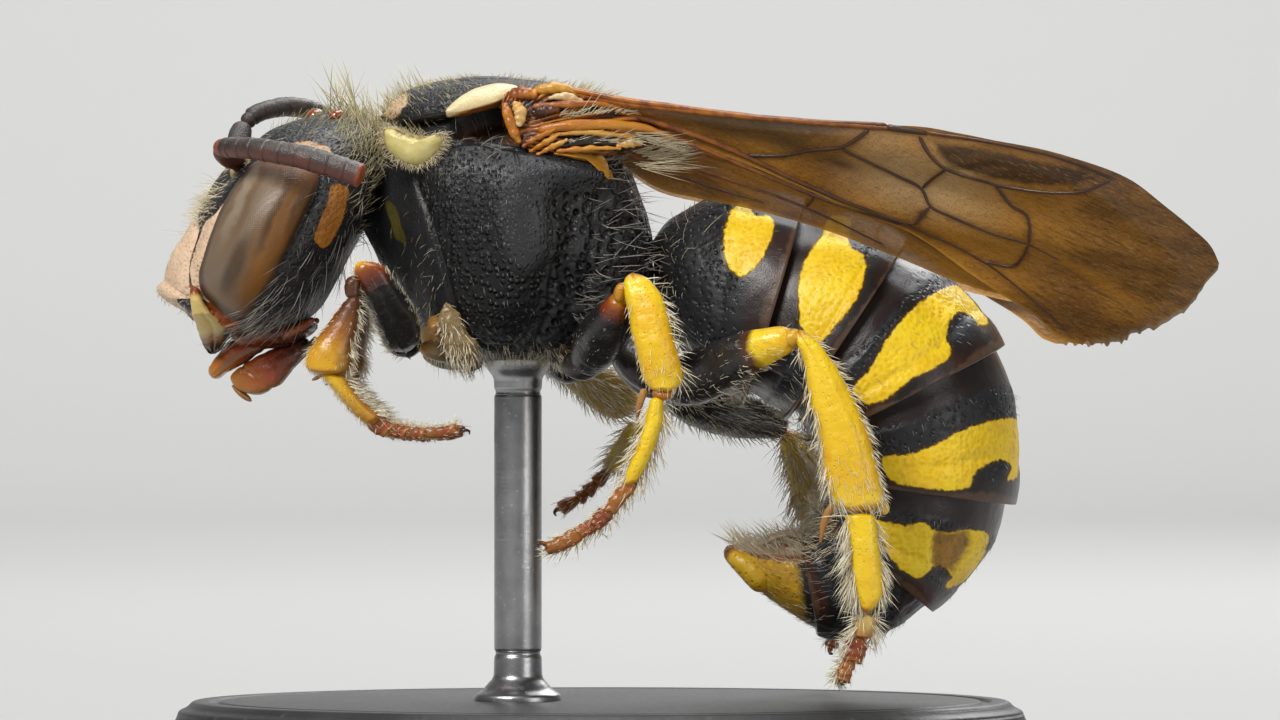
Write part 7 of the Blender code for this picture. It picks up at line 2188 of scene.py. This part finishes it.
# ---------------------------------------------------------------- sides and underside of the thorax
mx, my_, mz = meso.P[..., 0], np.abs(meso.P[..., 1]), meso.P[..., 2]
mside = smoothstep(0.4, 0.7, my_)
pl_ = inside(soft_outline(PLEURON, 100), mx, mz)
shd_ = inside(soft_outline(SHIELD, 60), mx, mz)
edge_back = mside * region(meso, [(-0.019, 5.940), (0.380, 5.997), (0.475, 4.857), (0.095, 4.572), (-0.285, 4.667), (-0.095, 5.237)], 0.05)
groove_h = mside * region(meso, [(-1.406, 6.681), (-0.950, 6.776), (-0.807, 6.567), (-0.950, 6.282), (-1.235, 6.282), (-1.406, 6.377)], 0.03)
bottom = smoothstep(4.75, 4.40, mz)
tuft_mesh("coat_thorax_side", [
    strands(roots_on(meso, "thorax", 190, mside * smoothstep(-0.02, 0.03, pl_) * (1 - 0.8 * smoothstep(-0.02, 0.05, shd_))), (0.35, 0, -0.8), 0.35, 0.050, 0.0020, 0.35, 0.2),
    strands(roots_on(meso, "thorax", 110, edge_back), (0.85, 0, 0.1), 0.55, 0.15, 0.0030, 0.35, 0.25, spread=0.5),
    strands(roots_on(meso, "thorax", 60, groove_h), (0.2, 0, -0.9), 0.6, 0.22, 0.0042, 0.4, 0.35, spread=0.5),
    strands(roots_on(meso, "thorax", 150, mside * smoothstep(0.0, -0.04, pl_) * smoothstep(-1.1, -1.4, mx)), (-0.3, 0, -0.7), 0.6, 0.09, 0.0034, 0.3, 0.25)],
    HAIR_GREY)
tuft_mesh("coat_thorax_under", [
    strands(roots_on(meso, "thorax", 700, bottom * smoothstep(4.5, 4.36, mz)), (0.15, 0, -1.0), 0.60, 0.085, 0.0034, 0.25, 0.2),
    strands(roots_on(meso, "thorax", 130, smoothstep(4.72, 4.5, mz) * smoothstep(-1.2, -1.40, mx)), (0.05, 0, -1.0), 0.6, 0.18, 0.0058, 0.2, 0.15)],
    HAIR_CREAM)
rx_, ry_, rz_ = rear.P[..., 0], np.abs(rear.P[..., 1]), rear.P[..., 2]
tuft_mesh("coat_propodeum", [
    strands(roots_on(rear, "propodeum", 230, smoothstep(0.35, 0.6, ry_)), (0.9, 0, 0.1), 0.55, 0.20, 0.0038, 0.35, 0.3, spread=0.5),
    strands(roots_on(rear, "propodeum", 160, smoothstep(5.9, 6.3, rz_)), (0.9, 0, 0.25), 0.55, 0.17, 0.0038, 0.35, 0.25)], HAIR_GREY)

# shoulder lobe rims and wing roots
parts = []
for sgn in (-1, 1):
    o = soft_outline(LOBE, 150)
    c = o.mean(0)
    n = int(420 * THIN)
    k = RNG.integers(0, 150, n)
    out = unit(np.stack([o[k, 0] - c[0], o[k, 1] - c[1]], 1))
    y = sgn * (1.20 + 0.12 * (o[k, 0] + 1.8) + 0.05)
    p = np.stack([o[k, 0], y, o[k, 1]], 1) - np.stack([out[:, 0], 0 * y, out[:, 1]], 1) * 0.02
    nn = unit(np.stack([out[:, 0], sgn * 0.5 + 0 * y, out[:, 1]], 1))
    u0, v0, size = atlas_cell("lobe")
    r = {"p": p, "n": nn, "t": nn, "uv": np.stack([u0 + size * k / 150, v0 + size * (0.25 if sgn < 0 else 0.75) + 0 * k], 1)}
    parts.append(strands(r, (0.1, sgn * 0.6, -0.3), 0.85, 0.10, 0.0036, 0.25, 0.28, spread=0.5))
    # rows of short slanting hairs between the wing-root ribs, and a loose fan of long
    # ones over the root of the hind wing
    u0, v0, size = atlas_cell("wing_root")
    for start, end, n, lie, ln, row in (
            ((-0.40, 6.60), (0.42, 6.66), 70, (0.80, 0, 0.42), 0.15, 0.05), ((-0.36, 6.36), (0.30, 6.38), 46, (0.9, 0, 0.25), 0.16, 0.25),
            ((0.30, 6.42), (0.60, 6.34), 60, (0.95, 0, -0.10), 0.26, 0.45), ((0.28, 6.30), (0.56, 6.16), 70, (0.96, 0, 0.22), 0.42, 0.65),
            ((0.34, 6.16), (0.50, 6.08), 30, (0.97, 0, -0.05), 0.36, 0.85)):
        n = int(n * THIN)
        a = RNG.random(n)
        b = RNG.random(n)
        at_ = arr(start) + (arr(end) - arr(start)) * a[:, None] + 0.012 * RNG.standard_normal((n, 2))
        py_ = sgn * (1.37 - 0.10 * np.maximum(at_[:, 0] - 0.1, 0) + 0.04 * b - (0.16 if row > 0.5 else 0))
        nn = np.broadcast_to(unit(arr((0.2, sgn, 0.2))), (n, 3)) * 1.0
        r = {"p": np.stack([at_[:, 0], py_, at_[:, 1]], 1), "n": nn, "t": nn,
             "uv": np.stack([u0 + size * a, v0 + size * (row * 0.45 + 0.02 * b + (0 if sgn < 0 else 0.5))], 1)}
        parts.append(strands(r, lie, 0.08, ln, 0.0036 if row > 0.4 else 0.0042, 0.12, 0.12 if row > 0.4 else 0.22, spread=0.5))
tuft_mesh("coat_shoulders", parts, HAIR_CREAM)

# ---------------------------------------------------------------- abdomen
top_parts, under_parts = [], []
for n, sh in AB_SURF.items():
    rim, base = sh.a["rim"], sh.a["base"]
    cols = sh.P.shape[1]
    a = np.linspace(0, 2 * math.pi, cols, endpoint=False)
    down_ = smoothstep(-0.35, -0.62, np.sin(a))[None, :] * np.ones(sh.P.shape[:2])
    keep = np.ones(sh.P.shape[:2])
    keep[-5:] = 0
    m = (1 - rim) * (1 - base) * (1 - down_) * keep
    amount = {1: 130, 2: 90, 3: 90, 4: 100, 5: 150, 6: 400}[n]
    top_parts.append(strands(roots_on(sh, "ring_%d" % n, amount, m), "along", 0.30, 0.055 if n < 6 else 0.11, 0.0026, 0.3, 0.15))
    edge_line = smoothstep(0.5, 0.95, rim) * (1 - down_) * keep
    under_parts.append(strands(roots_on(sh, "ring_%d" % n, 110 if n < 3 else 220, down_ * keep * (0.15 + smoothstep(0.4, 0.9, rim))), "along", 0.45, 0.13 if n > 1 else 0.15, 0.0036, 0.25, 0.2, spread=0.5))
    if n == 1:
        under_parts.append(strands(roots_on(sh, "ring_1", 170, smoothstep(0.5, 0.2, sh.S) * smoothstep(0.3, 0.6, np.abs(sh.P[..., 1]))), "along", 0.6, 0.18, 0.0036, 0.3, 0.3, spread=0.5))
    if n >= 5:
        side_low = smoothstep(0.0, -0.3, np.sin(a))[None, :] * keep
        under_parts.append(strands(roots_on(sh, "ring_%d" % n, 260, side_low), "along", 0.5, 0.16, 0.0040, 0.25, 0.25, spread=0.5))
tuft_mesh("coat_abdomen_top", top_parts, HAIR_GREY)
tuft_mesh("coat_abdomen_under", under_parts, HAIR_CREAM)
tm = smoothstep(0.0, -0.5, (tip.P[..., 2] - tip.P.mean(1, keepdims=True)[..., 2])) * 0
tuft_mesh("coat_abdomen_tip", [
    strands(roots_on(tip, "tip", 460, smoothstep(0.0, 0.6, tip.a["under"])), (-0.6, 0, 0.75), 0.60, 0.19, 0.0040, 0.3, 0.25, spread=0.5),
    strands(roots_on(tip, "tip", 350, 1 - tip.a["under"]), (-0.7, 0, 0.4), 0.3, 0.06, 0.0028, 0.3, 0.15)], HAIR_CREAM)


# ---------------------------------------------------------------- legs
def leg_coat(name, specs, mat=HAIR_WHITE):
    out = []
    for key, count, how, erect, length, radius in specs:
        parts_ = LEG_SURF[key]
        sh = max(parts_, key=lambda s: s.P.size)
        if key.endswith("foot"):
            group = parts_
        elif how == "plate":
            group = [parts_[2]]
        else:
            group = [sh]
        for i, s in enumerate(group):
            ac = s.a["across"]
            S_ = s.S
            if how == "left":
                m = smoothstep(-0.72, -0.95, ac)
            elif how == "right":
                m = smoothstep(0.72, 0.95, ac)
            elif how == "both":
                m = smoothstep(0.75, 0.95, np.abs(ac))
            elif how == "low":
                m = smoothstep(0.2, -0.6, s.renormal().N[..., 2])
            elif how == "end":
                m = smoothstep(0.60, 0.95, S_)
            elif how == "inner":
                m = smoothstep(0.30, -0.25, s.renormal().N[..., 1])
            else:
                m = np.ones_like(S_)
            m = m * smoothstep(0.0, 0.08, S_)
            out.append(strands(roots_on(s, key + str(i), count / len(group), m), "along", erect, length, radius, 0.20, 0.12, spread=0.35))
    return tuft_mesh(name, out, mat)


for side_ in ("left", "right"):
    pf = "leg_front_%s_" % side_
    leg_coat("coat_leg_front_" + side_, [
        (pf + "coxa_shell", 90, "low", 0.6, 0.12, 0.0044), (pf + "coxa_shell", 60, "all", 0.5, 0.05, 0.0030),
        (pf + "coxa_shell", 80, "plate", 0.25, 0.050, 0.0028),
        (pf + "femur_shell", 240, "left", 0.42, 0.075, 0.0030), (pf + "femur_shell", 200, "right", 0.30, 0.05, 0.0026),
        (pf + "tibia_shell", 170, "right", 0.50, 0.10, 0.0046), (pf + "tibia_shell", 110, "left", 0.42, 0.06, 0.0028), (pf + "tibia_shell", 110, "all", 0.15, 0.05, 0.0022),
        (pf + "basitarsus", 190, "right", 0.60, 0.12, 0.0048), (pf + "basitarsus", 120, "left", 0.36, 0.06, 0.0030), (pf + "basitarsus", 90, "all", 0.15, 0.04, 0.0022),
        (pf + "foot", 200, "right", 0.55, 0.08, 0.0040), (pf + "foot", 220, "all", 0.28, 0.045, 0.0026)])
leg_coat("coat_leg_middle_left", [
    ("leg_middle_left_coxa_shell", 220, "low", 0.6, 0.13, 0.0040), ("leg_middle_left_femur_shell", 90, "all", 0.25, 0.05, 0.0022),
    ("leg_middle_left_tibia_shell", 55, "right", 0.55, 0.15, 0.0060), ("leg_middle_left_tibia_shell", 50, "left", 0.35, 0.06, 0.0040),
    ("leg_middle_left_tibia_shell", 70, "end", 0.5, 0.08, 0.0034),
    ("leg_middle_left_basitarsus", 70, "left", 0.42, 0.16, 0.0058), ("leg_middle_left_basitarsus", 120, "right", 0.42, 0.20, 0.0060),
    
    ("leg_middle_left_foot", 140, "right", 0.50, 0.12, 0.0052), ("leg_middle_left_foot", 90, "left", 0.40, 0.07, 0.0044), ("leg_middle_left_foot", 140, "all", 0.25, 0.05, 0.0026)])
leg_coat("coat_leg_hind_left", [
    ("leg_hind_left_femur_shell", 140, "all", 0.22, 0.06, 0.0022), ("leg_hind_left_femur_shell", 150, "low", 0.45, 0.11, 0.0030),
    ("leg_hind_left_tibia_shell", 120, "left", 0.36, 0.17, 0.0054), ("leg_hind_left_tibia_shell", 150, "right", 0.42, 0.11, 0.0054),
    ("leg_hind_left_tibia_shell", 240, "end", 0.12, 0.10, 0.0036),
    ("leg_hind_left_basitarsus", 190, "left", 0.40, 0.24, 0.0060), ("leg_hind_left_basitarsus", 130, "right", 0.34, 0.18, 0.0056),
    
    ("leg_hind_left_foot_pale", 150, "both", 0.40, 0.16, 0.0056), ("leg_hind_left_foot", 160, "left", 0.45, 0.10, 0.0048), ("leg_hind_left_foot", 160, "all", 0.3, 0.05, 0.0028)])
leg_coat("coat_leg_middle_right", [
    ("leg_middle_right_femur_shell", 120, "all", 0.3, 0.06, 0.0026), ("leg_middle_right_tibia_shell", 380, "inner", 0.5, 0.13, 0.0042),
    ("leg_middle_right_tibia_shell", 120, "both", 0.45, 0.12, 0.0050), ("leg_middle_right_basitarsus", 130, "both", 0.42, 0.16, 0.0050),
    ("leg_middle_right_basitarsus", 110, "inner", 0.4, 0.12, 0.0040), ("leg_middle_right_foot", 200, "all", 0.35, 0.06, 0.0030)])
leg_coat("coat_leg_hind_right", [
    ("leg_hind_right_femur_shell", 380, "inner", 0.55, 0.11, 0.0040), ("leg_hind_right_femur_shell", 140, "all", 0.25, 0.06, 0.0024),
    ("leg_hind_right_tibia_shell", 560, "inner", 0.5, 0.20, 0.0042), ("leg_hind_right_tibia_shell", 230, "both", 0.40, 0.14, 0.0052),
    ("leg_hind_right_tibia_shell", 110, "end", 0.12, 0.09, 0.0036),
    ("leg_hind_right_basitarsus", 280, "both", 0.38, 0.20, 0.0056), ("leg_hind_right_basitarsus", 150, "inner", 0.4, 0.16, 0.0042),
    ("leg_hind_right_foot", 200, "all", 0.4, 0.07, 0.0034)])
# =====================================================================
# stand: a turned oval foot and a thin steel pin
# =====================================================================
def turned(profile, ax, ay, at, nv, power=2.0):
    """A turned shape: profile is (inset from the outline, height) from bottom to top."""
    cx, cy = superloop(nv, power, power)
    P = []
    for inset, z in profile:
        P.append(np.stack([at[0] + (ax - inset) * cx, at[1] + (ay - inset) * cy, np.full(nv, z)], 1))
    return Shell(arr(P))


def rounded(points, steps=5):
    """Profile with each corner eased: (inset, height, corner radius)."""
    out = []
    for i, (a, b, r) in enumerate(points):
        if r <= 0 or i in (0, len(points) - 1):
            out.append((a, b))
            continue
        p, q, s = arr(points[i - 1][:2]), arr((a, b)), arr(points[i + 1][:2])
        u, v = unit(p - q), unit(s - q)
        for t in np.linspace(0, 1, steps):
            out.append(tuple(q + u * r * (1 - t)**2 + v * r * t**2))
    return out


def stand_mat(name, c1, c2, rough, metallic, scale, depth):
    g = Graph(name)
    n = g.noise(scale, 4.0)
    fine = g.noise(scale * 9, 3.0)
    c = g.mix(g.step(n, 0.3, 0.7), c1, c2)
    c = g.mix(g.mul(g.step(g.voro(scale * 2.2), 0.22, 0.06), 0.5), c, tuple(min(1.0, x * 1.9 + 0.02) for x in c2))
    r = g.add(g.mul(g.math('SUBTRACT', fine, 0.5), 0.16), rough)
    lathe = g.noise(1.0, 2.0, vec=g.stretch(0.15, 0.15, 38.0))
    nrm = g.bump(fine, depth)
    nrm = g.bump(lathe, depth * 0.8, nrm)
    g.surface(c, r, nrm, metallic=metallic, spec=0.4)
    return g.mat


foot = turned(rounded([(3.0, 0.0, 0), (0.10, 0.0, 0.02), (0.0, 0.07, 0.04), (0.0, 0.16, 0.02), (0.06, 0.19, 0.015), (0.06, 0.23, 0.015),
                       (0.01, 0.26, 0.02), (0.01, 0.70, 0.05), (0.10, 0.82, 0.06), (0.12, 0.90, 0.03), (0.20, 0.935, 0.03),
                       (0.26, 0.995, 0.03), (0.42, 0.995, 0.02), (0.45, 0.965, 0.015), (0.50, 0.965, 0.015), (0.53, 0.995, 0.02), (3.0, 0.998, 0)]),
              4.2, 3.1, (0.0, 0.0), 200)
foot.make("stand_foot", stand_mat("stand_charcoal", (0.024, 0.025, 0.027), (0.036, 0.037, 0.039), 0.42, 0.0, 2.2, 5.0), "base_charcoal", replaces=("stand_base",))
pin_profile = rounded([(0.24, 0.96, 0), (-0.17, 0.96, 0.02), (-0.17, 1.05, 0.03), (-0.09, 1.10, 0.03), (-0.05, 1.15, 0.03), (0.015, 1.22, 0.04),
                       (0.020, 1.42, 0.02), (0.034, 1.44, 0.01), (0.034, 1.47, 0.01), (0.020, 1.49, 0.02),
                       (0.020, 3.94, 0.02), (0.034, 3.96, 0.01), (0.034, 3.99, 0.01), (0.020, 4.01, 0.02),
                       (0.015, 4.12, 0.04), (-0.05, 4.20, 0.04), (-0.08, 4.27, 0.03), (-0.08, 4.33, 0.03), (0.24, 4.38, 0)])
pin = turned(pin_profile, 0.25, 0.25, (-0.8, 0.0), 64)
pin.make("stand_pin", stand_mat("stand_steel", (0.42, 0.42, 0.43), (0.34, 0.34, 0.35), 0.33, 1.0, 5.0, 1.6), "rod_steel", replaces=("stand_rod",))


# =====================================================================
# camera, light, floor
# =====================================================================
def plane_mat(name, color, rough):
    """Floor paper with painted shade: a little greyer (0.62) on the near part, where the lights stand close over it."""
    g = Graph(name)
    y = g.node('ShaderNodeSeparateXYZ', {0: g.co}).outputs[1]
    grain = g.mul(g.math('SUBTRACT', g.noise(0.8, 3.0), 0.5), 0.02)
    k = g.add(g.step(y, 70.0, 170.0), grain)
    # painted shade: the paper colour is 0.62 as bright up to y 70 mm and full from 170 mm
    g.surface(g.mix(k, tuple(v * 0.62 for v in color), color), rough, None, spec=0.3)
    return g.mat


xs = np.array([-0.45, 0.45])
prof = [(-0.45, 0.0), (0.125, 0.0)]
for k in range(1, 17):
    a = k / 16 * math.pi / 2
    prof.append((0.125 + 0.06 * math.sin(a), 0.06 - 0.06 * math.cos(a)))
prof.append((0.185, 0.45))
V, Q = [], []
for i, (yy, zz) in enumerate(prof):
    V += [(-0.45, yy, zz), (0.45, yy, zz)]
    if i:
        Q.append((2 * i - 2, 2 * i - 1, 2 * i + 1, 2 * i))
me = bpy.data.meshes.new("floor")
me.from_pydata([tuple(v) for v in V], [], Q)
me.shade_smooth()
floor = bpy.data.objects.new("floor", me)
me.materials.append(plane_mat("floor_paper", (0.62, 0.62, 0.61), 0.9))
SCENE.collection.objects.link(floor)

world = bpy.data.worlds.new("studio")
SCENE.world = world
world.use_nodes = True
world.node_tree.nodes["Background"].inputs[0].default_value = (0.80, 0.82, 0.85, 1)
world.node_tree.nodes["Background"].inputs[1].default_value = 0.20


def area(name, at, aim, size, watts, color=(1, 1, 1), size_y=None):
    li = bpy.data.lights.new(name, 'AREA')
    li.shape = 'RECTANGLE'
    li.size = size
    li.size_y = size_y or size
    li.energy = watts
    li.color = color
    ob = bpy.data.objects.new(name, li)
    ob.location = at
    ob.rotation_euler = (Vector(aim) - Vector(at)).to_track_quat('-Z', 'Y').to_euler()
    ob.visible_camera = False
    SCENE.collection.objects.link(ob)
    return ob


AIM = (0.0005, 0.0, 0.0048)
area("key_light", (-0.040, -0.055, 0.060), AIM, 0.030, 0.075, (1.0, 0.98, 0.95))
area("top_light", (0.010, 0.010, 0.075), AIM, 0.05, 0.050, (0.97, 0.98, 1.0))
area("fill_light", (0.060, -0.055, 0.018), AIM, 0.04, 0.016, (1.0, 0.99, 0.97))
area("back_light", (0.032, 0.072, 0.064), AIM, 0.04, 0.034, (1, 1, 1))
area("backdrop_light", (0.0, 0.080, 0.105), (0.0, 0.185, 0.020), 0.12, 0.150, (1, 1, 1))

cam_data = bpy.data.cameras.new("camera")
cam_data.lens = 200
cam_data.sensor_width = 36
cam_data.clip_start = 0.002
cam_data.clip_end = 2.0
cam = bpy.data.objects.new("camera", cam_data)
WIDTH = 0.01216
cam.location = (0.00038, -(200 / 36 * WIDTH) - 0.0012, 0.004287)
cam.rotation_euler = (math.pi / 2, 0, 0)
SCENE.collection.objects.link(cam)
SCENE.camera = cam
SCENE.view_settings.view_transform = 'Standard'
